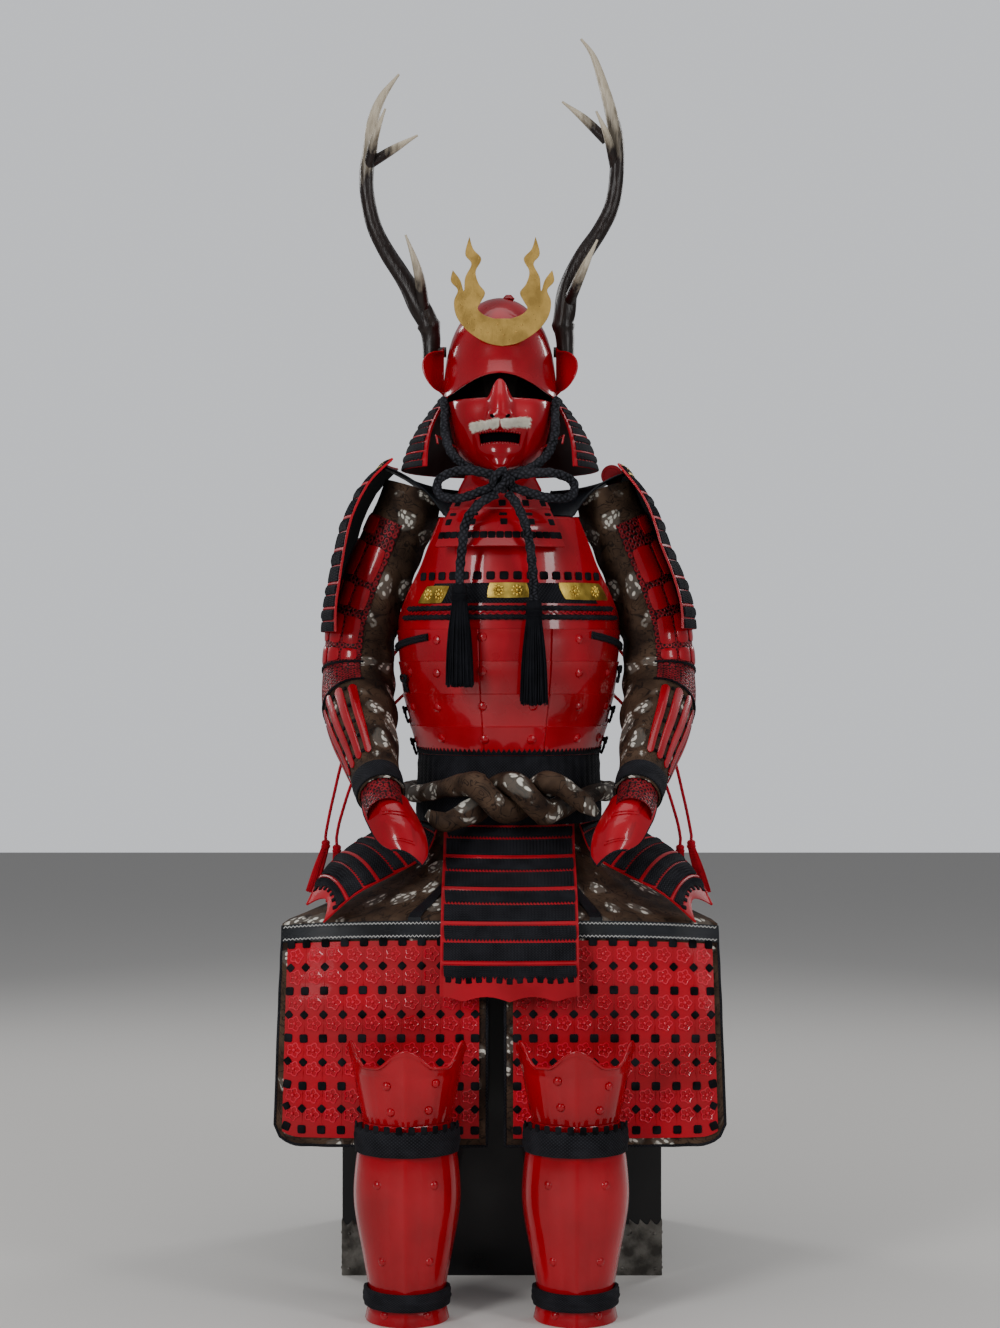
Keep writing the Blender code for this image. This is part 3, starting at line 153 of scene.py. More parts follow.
def mixed(tree, amount, first, second):
    """A colour between two, by an amount."""
    node = add_node(tree, "ShaderNodeMix", {"data_type": "RGBA"})
    for index, value in ((0, amount), (6, first), (7, second)):
        feed(tree, node.inputs[index], value)
    return node.outputs[2]


def ramp(tree, value, stops):
    """A colour ramp with stops of (place, grey)."""
    node = add_node(tree, "ShaderNodeValToRGB", Fac=value)
    while len(node.color_ramp.elements) < len(stops):
        node.color_ramp.elements.new(0.5)
    for element, (place, colour) in zip(node.color_ramp.elements, stops):
        element.position = place
        element.color = (colour, colour, colour, 1) if isinstance(colour, (int, float)) else (*colour, 1)
    return node.outputs[0]


def wear_group():
    """Slow and fine variation over the surface: a mask of handled places and a height of tiny waves."""
    tree, start, end = new_group("handled_surface", [
        ("Vector", "NodeSocketVector", None), ("Patch Scale", "NodeSocketFloat", 14.0),
        ("Fine Scale", "NodeSocketFloat", 160.0)],
        [("Mask", "NodeSocketFloat"), ("Height", "NodeSocketFloat")])
    patches = add_node(tree, "ShaderNodeTexNoise", Vector=start.outputs[0], Scale=start.outputs[1],
                       Detail=5.0)
    fine = add_node(tree, "ShaderNodeTexNoise", Vector=start.outputs[0], Scale=start.outputs[2], Detail=3.0)
    mask = ramp(tree, patches.outputs[0], ((0.36, 0.0), (0.68, 1.0)))
    tree.links.new(mask, end.inputs[0])
    tree.links.new(fine.outputs[0], end.inputs[1])
    return tree


def weave_group():
    """Warp and weft of a cloth from its UV map, in threads per metre."""
    tree, start, end = new_group("cloth_weave", [
        ("Vector", "NodeSocketVector", None), ("Threads", "NodeSocketFloat", 900.0)],
        [("Height", "NodeSocketFloat")])
    split = add_node(tree, "ShaderNodeSeparateXYZ", Vector=start.outputs[0])
    waves = []
    for axis in (0, 1):
        turns = math_node(tree, "MULTIPLY", split.outputs[axis], start.outputs[1])
        waves.append(math_node(tree, "ABSOLUTE", math_node(tree, "SINE", turns)))
    height = math_node(tree, "MAXIMUM", waves[0], waves[1])
    tree.links.new(height, end.inputs[0])
    return tree


def braid_group():
    """Two sets of strands that cross at a slant, from a UV map in metres."""
    tree, start, end = new_group("braid_strands", [
        ("Vector", "NodeSocketVector", None), ("Strands", "NodeSocketFloat", 1400.0)],
        [("Height", "NodeSocketFloat")])
    split = add_node(tree, "ShaderNodeSeparateXYZ", Vector=start.outputs[0])
    plus = math_node(tree, "ADD", split.outputs[0], split.outputs[1])
    minus = math_node(tree, "SUBTRACT", split.outputs[0], split.outputs[1])
    waves = []
    for way in (plus, minus):
        swing = math_node(tree, "SINE", math_node(tree, "MULTIPLY", way, start.outputs[1]))
        waves.append(math_node(tree, "ABSOLUTE", swing))
    tree.links.new(math_node(tree, "MULTIPLY", waves[0], waves[1]), end.inputs[0])
    return tree


WEAR = wear_group()
WEAVE = weave_group()
BRAID = braid_group()
print("groups:", WEAR.name, WEAVE.name, BRAID.name)

# %% [markdown]
# Each finish is a Principled shader. A helper starts one with its plain values, so that every cell after it
# holds only what makes that finish itself: colour variation, roughness and a bump.
# %% Finish helper
def finish(name, colour, roughness, metallic=0.0, coat=0.0, coat_roughness=0.1, sheen=0.0, gloss=0.5):
    """A new material: its tree, its shader and its Object coordinates."""
    made = bpy.data.materials.new(name)
    made.use_nodes = True
    tree = made.node_tree
    shader = tree.nodes["Principled BSDF"]
    shader.inputs["Base Color"].default_value = (*colour, 1)
    shader.inputs["Roughness"].default_value = roughness
    shader.inputs["Metallic"].default_value = metallic
    shader.inputs["Coat Weight"].default_value = coat
    shader.inputs["Coat Roughness"].default_value = coat_roughness
    shader.inputs["Sheen Weight"].default_value = sheen
    shader.inputs["Specular IOR Level"].default_value = gloss
    coordinates = tree.nodes.new("ShaderNodeTexCoord")
    return made, tree, shader, coordinates


def grouped(tree, group, **inputs):
    node = tree.nodes.new("ShaderNodeGroup")
    node.node_tree = group
    for key, value in inputs.items():
        feed(tree, node.inputs[key.replace("_", " ")], value)
    return node


def roughened(tree, shader, mask, low, high):
    """Roughness that varies with a mask."""
    rough = add_node(tree, "ShaderNodeMapRange", Value=mask, To_Min=low, To_Max=high)
    tree.links.new(rough.outputs[0], shader.inputs["Roughness"])


def bumped(tree, shader, height, strength, distance):
    bump = add_node(tree, "ShaderNodeBump", Strength=strength, Distance=distance, Height=height)
    tree.links.new(bump.outputs[0], shader.inputs["Normal"])


# %% [markdown]
# Red lacquer is many thin coats over metal or hide. It mirrors the windows sharply, its red is deep where
# the coats are thick, and the surface has a very faint waviness from the brush.
# %% Red lacquer and black lacquer
def lacquer(name, deep, bright, roughness, waves=0.10, coat=0.6):
    made, tree, shader, coordinates = finish(name, bright, roughness, coat=coat, coat_roughness=0.05,
                                             gloss=0.3)
    wear = grouped(tree, WEAR, Vector=coordinates.outputs["Object"], Patch_Scale=9.0, Fine_Scale=55.0)
    tree.links.new(mixed(tree, wear.outputs[0], (*deep, 1), (*bright, 1)), shader.inputs["Base Color"])
    roughened(tree, shader, wear.outputs[0], roughness * 0.8, roughness * 1.5)
    bumped(tree, shader, wear.outputs[1], waves, 0.0012)
    return made


RED = lacquer("red_lacquer_coats", (0.32, 0.0001, 0.0070), (0.50, 0.0002, 0.0130), 0.26)
FIELD_RED = lacquer("pressed_red_lacquer", (0.34, 0.0001, 0.0075), (0.53, 0.0002, 0.0140), 0.56, coat=0.05)
# A lighter red than the pressed field, used on the flowers as a painted highlight on their raised outlines.
HIGHLIT_FLOWER_RED = lacquer("painted_highlight_flower_lacquer", (0.55, 0.004, 0.020), (0.80, 0.014, 0.050), 0.34)
SHIN_RED = lacquer("shin_red_lacquer", (0.32, 0.0001, 0.0060), (0.48, 0.0001, 0.0110), 0.18, coat=0.30)
# A much darker copy of the red lacquer: painted shade for the inside of the neck guard.
SHADED_RED = lacquer("painted_shade_red_lacquer", (0.030, 0.0004, 0.0010), (0.060, 0.0008, 0.0020), 0.55, coat=0.05)
BLACK = lacquer("black_lacquer_coats", (0.0012, 0.0012, 0.0016), (0.0030, 0.0032, 0.0045), 0.34, waves=0.06,
                coat=0.15)

# %% [markdown]
# Silk lacing and braided cord are matt black, with a faint blue sheen painted into their colour. The braid's
# strands come from the UV map, so they follow each cord round every bend. Their colour is dark in the grooves
# between strands and lighter on the strands' crowns: painted shade and painted highlight.
# %% Black lace, black cord and red silk
def braided(name, dark, light, strands, bump_depth=0.0008, roughness=0.8):
    made, tree, shader, coordinates = finish(name, light, roughness, gloss=0.10)
    strand = grouped(tree, BRAID, Vector=coordinates.outputs["UV"], Strands=strands)
    wear = grouped(tree, WEAR, Vector=coordinates.outputs["Object"], Patch_Scale=30.0, Fine_Scale=700.0)
    # Dark in the grooves between strands and light on their crowns: painted shade and painted highlight.
    thread = mixed(tree, strand.outputs[0], (*dark, 1), (*light, 1))
    worn = mixed(tree, math_node(tree, "MULTIPLY", wear.outputs[0], 0.35), thread,
                 (*[c * 1.5 for c in light], 1))
    tree.links.new(worn, shader.inputs["Base Color"])
    height = math_node(tree, "ADD", strand.outputs[0], math_node(tree, "MULTIPLY", wear.outputs[1], 0.4))
    bumped(tree, shader, height, 0.8, bump_depth)
    return made


LACE = braided("black_silk_lace", (0.0016, 0.0016, 0.0022), (0.0260, 0.0265, 0.0325), 620.0)
CORD = braided("black_braided_cord", (0.0016, 0.0016, 0.0022), (0.0400, 0.0410, 0.0500), 300.0, 0.0022)
SILK = braided("red_silk_cord", (0.30, 0.004, 0.012), (0.62, 0.012, 0.030), 1100.0, 0.0006, 0.55)
TASSEL = braided("black_tassel_threads", (0.0018, 0.0018, 0.0026), (0.0150, 0.0160, 0.0215), 2600.0, 0.0004,
                 0.70)

# %% [markdown]
# The crest is gilded sheet with a satin face, small pits and a slightly uneven gold. Voronoi cells give the
# pits and noise gives the unevenness.
# %% Gilt, bright gilt and dark fittings
def gilded(name, colour, dark, roughness, pits):
    made, tree, shader, coordinates = finish(name, colour, roughness, metallic=0.85)
    wear = grouped(tree, WEAR, Vector=coordinates.outputs["Object"], Patch_Scale=40.0, Fine_Scale=420.0)
    cells = add_node(tree, "ShaderNodeTexVoronoi", Vector=coordinates.outputs["Object"], Scale=pits)
    pit = ramp(tree, cells.outputs["Distance"], ((0.0, 0.0), (0.16, 1.0)))
    tone = mixed(tree, wear.outputs[0], (*dark, 1), (*colour, 1))
    tree.links.new(mixed(tree, pit, (*[c * 0.35 for c in dark], 1), tone), shader.inputs["Base Color"])
    roughened(tree, shader, wear.outputs[0], roughness, roughness + 0.18)
    bumped(tree, shader, math_node(tree, "ADD", pit, wear.outputs[1]), 0.45, 0.0006)
    return made


GILT = gilded("gilded_sheet", (0.66, 0.43, 0.12), (0.50, 0.31, 0.08), 0.40, 120.0)
ENGRAVED = gilded("engraved_gilt", (0.86, 0.62, 0.12), (0.42, 0.26, 0.04), 0.30, 300.0)
FITTING = gilded("dark_metal_fitting", (0.200, 0.190, 0.170), (0.060, 0.056, 0.050), 0.36, 260.0)

# %% [markdown]
# Antler is dark, almost black, where it has been stained and handled, and ivory at its tips. A colour
# attribute on the mesh tells the shader how near a point is to a tip.
# %% Antler
def antler_finish():
    made, tree, shader, coordinates = finish("stained_antler", (0.03, 0.02, 0.015), 0.36, coat=0.12,
                                             coat_roughness=0.25, gloss=0.35)
    tip = add_node(tree, "ShaderNodeAttribute", {"attribute_name": "tip"})
    streaks = add_node(tree, "ShaderNodeMapping", Vector=coordinates.outputs["Object"],
                       Scale=(90.0, 90.0, 14.0))
    grain = add_node(tree, "ShaderNodeTexNoise", Vector=streaks.outputs[0], Scale=1.6, Detail=6.0)
    stain = mixed(tree, grain.outputs[0], (0.002, 0.0015, 0.0015, 1), (0.026, 0.013, 0.010, 1))
    ivory = mixed(tree, grain.outputs[0], (0.40, 0.32, 0.21, 1), (0.70, 0.63, 0.50, 1))
    shift = math_node(tree, "ADD", tip.outputs["Fac"], math_node(tree, "MULTIPLY", grain.outputs[0], 0.5))
    edge = ramp(tree, shift, ((0.52, 0.0), (0.92, 1.0)))
    tree.links.new(mixed(tree, edge, stain, ivory), shader.inputs["Base Color"])
    bumped(tree, shader, grain.outputs[0], 0.9, 0.0022)
    return made


ANTLER = antler_finish()

# %% [markdown]
# The sleeves, the belt and the apron are one brocade: a grey-brown ground with dark scrolling stems and
# clusters of cream flowers. The flowers are drawn by the distance to the cells of a Voronoi texture, cut
# into petals by a second, finer one.
# %% Brocade and mail cloth
def brocade_finish(name):
    made, tree, shader, coordinates = finish(name, (0.06, 0.04, 0.03), 0.72, gloss=0.18)
    base = coordinates.outputs["UV"]
    warp = add_node(tree, "ShaderNodeTexNoise", Vector=base, Scale=26.0, Detail=2.0)
    bent = add_node(tree, "ShaderNodeVectorMath", {"operation": "MULTIPLY_ADD"}, i0=warp.outputs["Color"],
                    i1=(0.026, 0.026, 0.026), i2=base)
    flowers = add_node(tree, "ShaderNodeTexVoronoi", Vector=bent.outputs[0], Scale=24.0)
    petals = add_node(tree, "ShaderNodeTexVoronoi", Vector=bent.outputs[0], Scale=110.0)
    flow = add_node(tree, "ShaderNodeTexNoise", Vector=bent.outputs[0], Scale=34.0, Detail=1.5,
                    Distortion=2.2)
    stems = math_node(tree, "ABSOLUTE", math_node(tree, "SUBTRACT", flow.outputs[0], 0.5))
    bloom = ramp(tree, flowers.outputs["Distance"], ((0.36, 1.0), (0.46, 0.0)))
    chosen = ramp(tree, add_node(tree, "ShaderNodeSeparateXYZ", Vector=flowers.outputs["Color"]).outputs[0],
                  ((0.34, 0.0), (0.38, 1.0)))
    petal = ramp(tree, petals.outputs["Distance"], ((0.34, 1.0), (0.46, 0.10)))
    flower = math_node(tree, "MULTIPLY", math_node(tree, "MULTIPLY", bloom, petal), chosen)
    stem = ramp(tree, stems, ((0.008, 1.0), (0.030, 0.0)))
    wear = grouped(tree, WEAR, Vector=coordinates.outputs["Object"], Patch_Scale=22.0, Fine_Scale=500.0)
    ground = mixed(tree, wear.outputs[0], (0.026, 0.014, 0.009, 1), (0.105, 0.062, 0.038, 1))
    stemmed = mixed(tree, math_node(tree, "MULTIPLY", stem, 0.75), ground, (0.005, 0.004, 0.004, 1))
    tree.links.new(mixed(tree, flower, stemmed, (0.80, 0.77, 0.68, 1)), shader.inputs["Base Color"])
    threads = grouped(tree, WEAVE, Vector=coordinates.outputs["UV"], Threads=4200.0)
    relief = math_node(tree, "ADD", math_node(tree, "MULTIPLY", threads.outputs[0], 0.35),
                       math_node(tree, "ADD", flower, math_node(tree, "MULTIPLY", stem, -0.5)))
    bumped(tree, shader, relief, 0.7, 0.0008)
    return made


BROCADE = brocade_finish("flowered_brocade")


def mail_finish(name, ring, gap, rings):
    """Fine mail sewn on cloth: a ring in each cell, with dark cloth between."""
    made, tree, shader, coordinates = finish(name, ring, 0.45, metallic=0.2, gloss=0.3)
    cells = add_node(tree, "ShaderNodeTexVoronoi", Vector=coordinates.outputs["UV"], Scale=rings,
                     Randomness=0.25)
    hoop = ramp(tree, cells.outputs["Distance"], ((0.16, 0.0), (0.30, 1.0), (0.44, 1.0), (0.58, 0.0)))
    wear = grouped(tree, WEAR, Vector=coordinates.outputs["Object"], Patch_Scale=60.0, Fine_Scale=300.0)
    tint = mixed(tree, wear.outputs[0], (*ring, 1), (*[c * 0.35 for c in ring], 1))
    tree.links.new(mixed(tree, hoop, (*gap, 1), tint), shader.inputs["Base Color"])
    bumped(tree, shader, hoop, 0.9, 0.0012)
    return made


MAIL = mail_finish("red_mail_on_cloth", (0.34, 0.010, 0.020), (0.006, 0.003, 0.004), 105.0)

# %% [markdown]
# Leather here is smooth and black with a fine cell grain; the faint blue in its colour is a painted sheen.
# White thread, wood and the fur of the moustache complete the list.
# %% Leather, thread, wood and fur
def leather_finish():
    made, tree, shader, coordinates = finish("black_leather_grain", (0.008, 0.010, 0.013), 0.38, coat=0.08,
                                             coat_roughness=0.3, gloss=0.25)
    grain = add_node(tree, "ShaderNodeTexVoronoi", {"feature": "DISTANCE_TO_EDGE"},
                     Vector=coordinates.outputs["Object"], Scale=900.0)
    wear = grouped(tree, WEAR, Vector=coordinates.outputs["Object"], Patch_Scale=18.0, Fine_Scale=240.0)
    # The blue in these blacks is a painted sheen.
    tree.links.new(mixed(tree, wear.outputs[0], (0.004, 0.005, 0.007, 1), (0.012, 0.015, 0.020, 1)),
                   shader.inputs["Base Color"])
    roughened(tree, shader, wear.outputs[0], 0.28, 0.46)
    edge = ramp(tree, grain.outputs["Distance"], ((0.0, 0.0), (0.12, 1.0)))
    bumped(tree, shader, math_node(tree, "ADD", edge, wear.outputs[1]), 0.35, 0.0005)
    return made


def thread_finish(name, colour):
    made, tree, shader, coordinates = finish(name, colour, 0.7, sheen=0.3)
    wear = grouped(tree, WEAR, Vector=coordinates.outputs["Object"], Patch_Scale=120.0, Fine_Scale=1500.0)
    tree.links.new(mixed(tree, wear.outputs[0], (*[c * 0.8 for c in colour], 1), (*colour, 1)),
                   shader.inputs["Base Color"])
    bumped(tree, shader, wear.outputs[1], 0.5, 0.0004)
    return made


def wood_finish():
    made, tree, shader, coordinates = finish("dark_stained_wood", (0.01, 0.007, 0.005), 0.6, gloss=0.2)
    along = add_node(tree, "ShaderNodeMapping", Vector=coordinates.outputs["Object"], Scale=(24.0, 24.0, 1.6))
    rings = add_node(tree, "ShaderNodeTexNoise", Vector=along.outputs[0], Scale=3.0, Detail=6.0,
                     Distortion=1.2)
    tree.links.new(mixed(tree, rings.outputs[0], (0.003, 0.002, 0.0015, 1), (0.014, 0.009, 0.006, 1)),
                   shader.inputs["Base Color"])
    bumped(tree, shader, rings.outputs[0], 0.3, 0.0010)
    return made


LEATHER = leather_finish()
THREAD = thread_finish("white_thread", (0.72, 0.72, 0.70))
FUR = thread_finish("white_hair", (0.92, 0.88, 0.76))
WOOD = wood_finish()
print("finishes:", len(bpy.data.materials))

# %% [markdown]
# Every node of the frame first gets the finish of its maker's list. Many are replaced further on by pieces
# with finer shapes, and the rest keep their solids and wear these.
# %% Dress the frame's own nodes
SLOT_FINISHES = {
    "red_lacquer": RED, "black_lace": LACE, "gilt": GILT, "antler": ANTLER, "brocade": BROCADE,
    "black_leather": LEATHER, "red_silk": SILK, "black_lacquer": BLACK, "stand_wood": WOOD,
}
NODE_SLOT = {row["node"]: row["material_slot"] for row in frame["record"]["subparts"]}
for node_name, node_object in NODES.items():
    for slot in node_object.material_slots:
        slot.material = SLOT_FINISHES[NODE_SLOT[node_name]]
print("dressed nodes:", len(NODE_SLOT))

# %% [markdown]
# The armour is mostly thin curved walls. One maker bends a flat grid to a surface and gives it thickness,
# with raised parts where the real plate is embossed. Its UV map is in metres, so a weave keeps its scale.
# %% Walls, tubes and stamps
GAP = 0.0003
CLOTH = 0.0018
PLATE = 0.0020
HEAD_X = -0.003
BODY_X = 0.0115
FRONT = Vector((0, -1, 0))
BACK = Vector((0, 1, 0))
UP = Vector((0, 0, 1))
SIDES = (("left", -1), ("right", 1))
CHANCE = random.Random(4)
PARTS = []


def dressed(name, edit, material, replaced=(), smooth=38, rounded=0.0):
    """Stores a bmesh as a finished piece that rides with the armour."""
    mesh = bpy.data.meshes.new(name)
    edit.to_mesh(mesh)
    edit.free()
    mesh.materials.append(material)
    mesh.shade_smooth()
    mesh.set_sharp_from_angle(angle=radians(smooth))
    piece = bpy.data.objects.new(name, mesh)
    bpy.context.scene.collection.objects.link(piece)
    if rounded:
        bevel = piece.modifiers.new("rounded edges", "BEVEL")
        bevel.width = rounded
        bevel.segments = 2
        bevel.limit_method = "ANGLE"
        bevel.angle_limit = radians(50)
    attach(piece, "root")
    if replaced:
        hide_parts(*replaced)
    PARTS.append((name, len(mesh.polygons)))
    return piece


def reading(table, place):
    """The row of a table at a place from 0 to 1 along it, smoothly between its rows."""
    span = place * (len(table) - 1)
    row = max(0, min(int(span), len(table) - 2))
    t = span - row
    weights = ((-t + 2 * t * t - t ** 3) / 2, (2 - 5 * t * t + 3 * t ** 3) / 2,
               (t + 4 * t * t - 3 * t ** 3) / 2, (-t * t + t ** 3) / 2)
    rows = [table[max(0, min(len(table) - 1, row + step))] for step in (-1, 0, 1, 2)]
    return type(table[0])(*(sum(w * value for w, value in zip(weights, column)) for column in zip(*rows)))


def even(count, first=0.0, last=1.0):
    return [first + (last - first) * step / count for step in range(count + 1)]


def bump(value, centre, width):
    return max(0.0, 1 - ((value - centre) / width) ** 2) ** 2


def island(edit, across, along, place, thickness, outside=None, relief=None, skip=None, base=0.0,
           flat=(0.2, 0.2)):
    """Adds one closed wall to a bmesh: a grid through place(u, v), thickened towards its outside."""
    sheet = bmesh.new()
    bmesh.ops.create_grid(sheet, x_segments=len(across) - 1, y_segments=len(along) - 1, size=0.5,
                          calc_uvs=True)
    column = sheet.verts.layers.int.new("column")
    row = sheet.verts.layers.int.new("row")
    uv = sheet.loops.layers.uv.verify()
    for vert in sheet.verts:
        vert[column] = round((vert.co.x + 0.5) * (len(across) - 1))
        vert[row] = round((vert.co.y + 0.5) * (len(along) - 1))
    u_span = max(abs(across[-1] - across[0]), 1e-6)
    v_span = max(abs(along[-1] - along[0]), 1e-6)
    for face in sheet.faces:
        for loop in face.loops:
            loop[uv].uv = ((across[loop.vert[column]] - across[0]) / u_span * flat[0],
                           (along[loop.vert[row]] - along[0]) / v_span * flat[1])
    if skip:
        gone = []
        for face in sheet.faces:
            u = sum(across[vert[column]] for vert in face.verts) / len(face.verts)
            v = sum(along[vert[row]] for vert in face.verts) / len(face.verts)
            if skip(u, v):
                gone.append(face)
        bmesh.ops.delete(sheet, geom=gone, context="FACES")
    for vert in sheet.verts:
        vert.co = place(across[vert[column]], along[vert[row]])
    bmesh.ops.remove_doubles(sheet, verts=sheet.verts, dist=1e-6)
    sheet.normal_update()
    middle = sum((vert.co for vert in sheet.verts), Vector()) / len(sheet.verts)
    facing = sum(vert.normal.dot(outside if outside else vert.co - middle) for vert in sheet.verts)
    sign = 1 if facing > 0 else -1
    normals = {(vert[column], vert[row]): vert.normal * sign for vert in sheet.verts}
    if base:
        for vert in sheet.verts:
            vert.co += normals[(vert[column], vert[row])] * base
    grown = bmesh.ops.extrude_face_region(sheet, geom=sheet.faces[:])["geom"]
    for vert in grown:
        if isinstance(vert, bmesh.types.BMVert):
            height = thickness
            if relief:
                height += relief(across[vert[column]], along[vert[row]])
            vert.co += normals[(vert[column], vert[row])] * height
    bmesh.ops.recalc_face_normals(sheet, faces=sheet.faces)
    joined(edit, sheet)


def joined(edit, other):
    """Moves all of one bmesh into another."""
    carrier = bpy.data.meshes.new("carrier")
    other.to_mesh(carrier)
    other.free()
    edit.from_mesh(carrier)
    bpy.data.meshes.remove(carrier)


def smooth_route(points, spacing):
    """Points at even steps on a smooth curve through the route's own points."""
    route = [Vector(point) for point in points]
    fine = []
    for index in range(len(route) - 1):
        four = [route[max(0, min(len(route) - 1, index + step))] for step in (-1, 0, 1, 2)]
        for part in range(16):
            t = part / 16
            fine.append(0.5 * (
                2 * four[1] + (four[2] - four[0]) * t
                + (2 * four[0] - 5 * four[1] + 4 * four[2] - four[3]) * t * t
                + (3 * four[1] - four[0] - 3 * four[2] + four[3]) * t ** 3))
    fine.append(route[-1])
    length = sum((b - a).length for a, b in zip(fine, fine[1:]))
    count = max(2, round(length / spacing))
    read, walked, target = [fine[0]], 0.0, length / count
    for a, b in zip(fine, fine[1:]):
        stretch = (b - a).length
        while walked + stretch >= target - 1e-9 and len(read) < count:
            read.append(a.lerp(b, (target - walked) / max(stretch, 1e-9)))
            target += length / count
        walked += stretch
    read.append(fine[-1])
    return read


def length_of(points):
    return sum((Vector(b) - Vector(a)).length for a, b in zip(points, points[1:]))


def hose(edit, points, radius, sides=12, closed=False, tip=None):
    """A tube round a line of points; radius(step, turn, along) gives its size at each place, in metres.

    A grid is rolled round the line, so its UV map runs in metres along and round the tube.
    """
    count = len(points)
    sheet = bmesh.new()
    bmesh.ops.create_grid(sheet, x_segments=sides, y_segments=count - 1 + (1 if closed else 0), size=0.5,
                          calc_uvs=True)
    column = sheet.verts.layers.int.new("column")
    row = sheet.verts.layers.int.new("row")
    mark = sheet.verts.layers.float.new("tip")
    uv = sheet.loops.layers.uv.verify()
    rows = count - 1 + (1 if closed else 0)
    runs, walked = [], [0.0]
    for index in range(count):
        after = points[(index + 1) % count] if closed else points[min(count - 1, index + 1)]
        before = points[index - 1] if closed or index else points[0]
        runs.append((after - before).normalized())
        walked.append(walked[-1] + (after - points[index]).length)
    side = runs[0].orthogonal().normalized()
    sides_at = []
    for run in runs:
        side = (side - run * side.dot(run)).normalized()
        sides_at.append(side.copy())
    for vert in sheet.verts:
        vert[column] = round((vert.co.x + 0.5) * sides) % sides
        vert[row] = round((vert.co.y + 0.5) * rows)
    for face in sheet.faces:
        columns = [loop.vert[column] for loop in face.loops]
        for loop in face.loops:
            turn = loop.vert[column]
            if max(columns) - min(columns) > 1 and turn == 0:
                turn = sides
            size = radius(loop.vert[row], 0.0, walked[min(loop.vert[row], count)])
            loop[uv].uv = (turn / sides * 2 * pi * size, walked[min(loop.vert[row], count)])
    for vert in sheet.verts:
        index = vert[row] % count if closed else vert[row]
        turn = 2 * pi * vert[column] / sides
        other = runs[index].cross(sides_at[index])
        size = radius(index, turn, walked[index])
        if tip:
            vert[mark] = tip(index / max(1, count - 1))
        vert.co = points[index] + (sides_at[index] * cos(turn) + other * sin(turn)) * size
    bmesh.ops.remove_doubles(sheet, verts=sheet.verts, dist=1e-7)
    if not closed:
        rim = [edge for edge in sheet.edges if edge.is_boundary]
        bmesh.ops.holes_fill(sheet, edges=rim, sides=0)
    bmesh.ops.recalc_face_normals(sheet, faces=sheet.faces)
    joined(edit, sheet)


def round_size(size):
    return lambda step, turn, along: size


def seat(place, u, v, outside, lift=0.0, step=1e-3):
    """A matrix on a surface: X runs with u, Z points out, at a height over it."""
    run = (place(u + step, v) - place(u - step, v)).normalized()
    rise = place(u, v + step) - place(u, v - step)
    normal = run.cross(rise).normalized()
    if normal.dot(outside) < 0:
        normal = -normal
    across = normal.cross(run)
    matrix = Matrix((run, across, normal)).transposed().to_4x4()
    matrix.translation = place(u, v) + normal * lift
    return matrix


def stamp(edit, template, matrix, *size):
    """Adds a copy of a small mesh, stretched to its size along each axis."""
    copy = template.copy()
    copy.transform(matrix @ Matrix.Diagonal((*size, 1)))
    edit.from_mesh(copy)
    bpy.data.meshes.remove(copy)


def template(name, build):
    """A small mesh that is stamped many times."""
    edit = bmesh.new()
    build(edit)
    edit.loops.layers.uv.verify()
    bmesh.ops.recalc_face_normals(edit, faces=edit.faces)
    mesh = bpy.data.meshes.new(name)
    edit.to_mesh(mesh)
    edit.free()
    return mesh


VIEW_DISTANCE = 4.2
VIEW_HEIGHT = 0.978
VIEW_SCALE = 2544
VIEW_MIDDLE = (502, 664)


def pixel_of(point):
    """Where a point is seen in the photograph."""
    scale = (VIEW_DISTANCE + point.y) / VIEW_SCALE
    return VIEW_MIDDLE[0] + point.x / scale, VIEW_MIDDLE[1] - (point.z - VIEW_HEIGHT) / scale


def aimed(place, px, py, u_range=(-1, 1), v_range=(0, 1)):
    """The u and v at which a surface is seen at a place of the photograph."""
    best, u_low, u_high, v_low, v_high = None, *u_range, *v_range
    for _ in range(5):
        trials = []
        for u in even(12, u_low, u_high):
            for v in even(12, v_low, v_high):
                x, y = pixel_of(place(u, v))
                trials.append(((x - px) ** 2 + (y - py) ** 2, u, v))
        best = min(trials)
        u_step, v_step = (u_high - u_low) / 10, (v_high - v_low) / 10
        u_low, u_high = max(u_range[0], best[1] - u_step), min(u_range[1], best[1] + u_step)
        v_low, v_high = max(v_range[0], best[2] - v_step), min(v_range[1], best[2] + v_step)
    return best[1], best[2]


RIVET = template("rivet", lambda edit: bmesh.ops.create_uvsphere(
    edit, u_segments=10, v_segments=6, radius=1.0, matrix=Matrix.Diagonal((1, 1, 0.7, 1))))


def soft_square(edit):
    """A pillow-shaped knot of lace, one unit wide."""
    bmesh.ops.create_cube(edit, size=1.0, matrix=Matrix.Diagonal((1, 1, 0.45, 1)))
    bmesh.ops.bevel(edit, geom=edit.edges[:], offset=0.2, segments=2, affect="EDGES", profile=0.5,
                    material=-1)


SQUARE = template("lace_square", soft_square)
print("makers ready, stamps:", len(RIVET.polygons), len(SQUARE.polygons))

# %% [markdown]
# The helmet bowl is one raised form with a low arch over the brow. Its inside lies in shade, so a thin black
# sheet lies in it as painted shade, and a rolled bead stiffens the rim.
# %% Helmet bowl
Bowl = namedtuple("Bowl", "rise spread")
BOWL_RINGS = (Bowl(0.00, 1.000), Bowl(0.18, 0.985), Bowl(0.42, 0.925), Bowl(0.66, 0.790), Bowl(0.85, 0.560),
              Bowl(0.96, 0.290), Bowl(1.00, 0.000))
BOWL_HALF_WIDTH = 0.092
BOWL_HALF_DEPTH = 0.114
BOWL_RIM_Z = 1.414
BOWL_BROW = 0.032
BOWL_CROWN_Z = 1.580


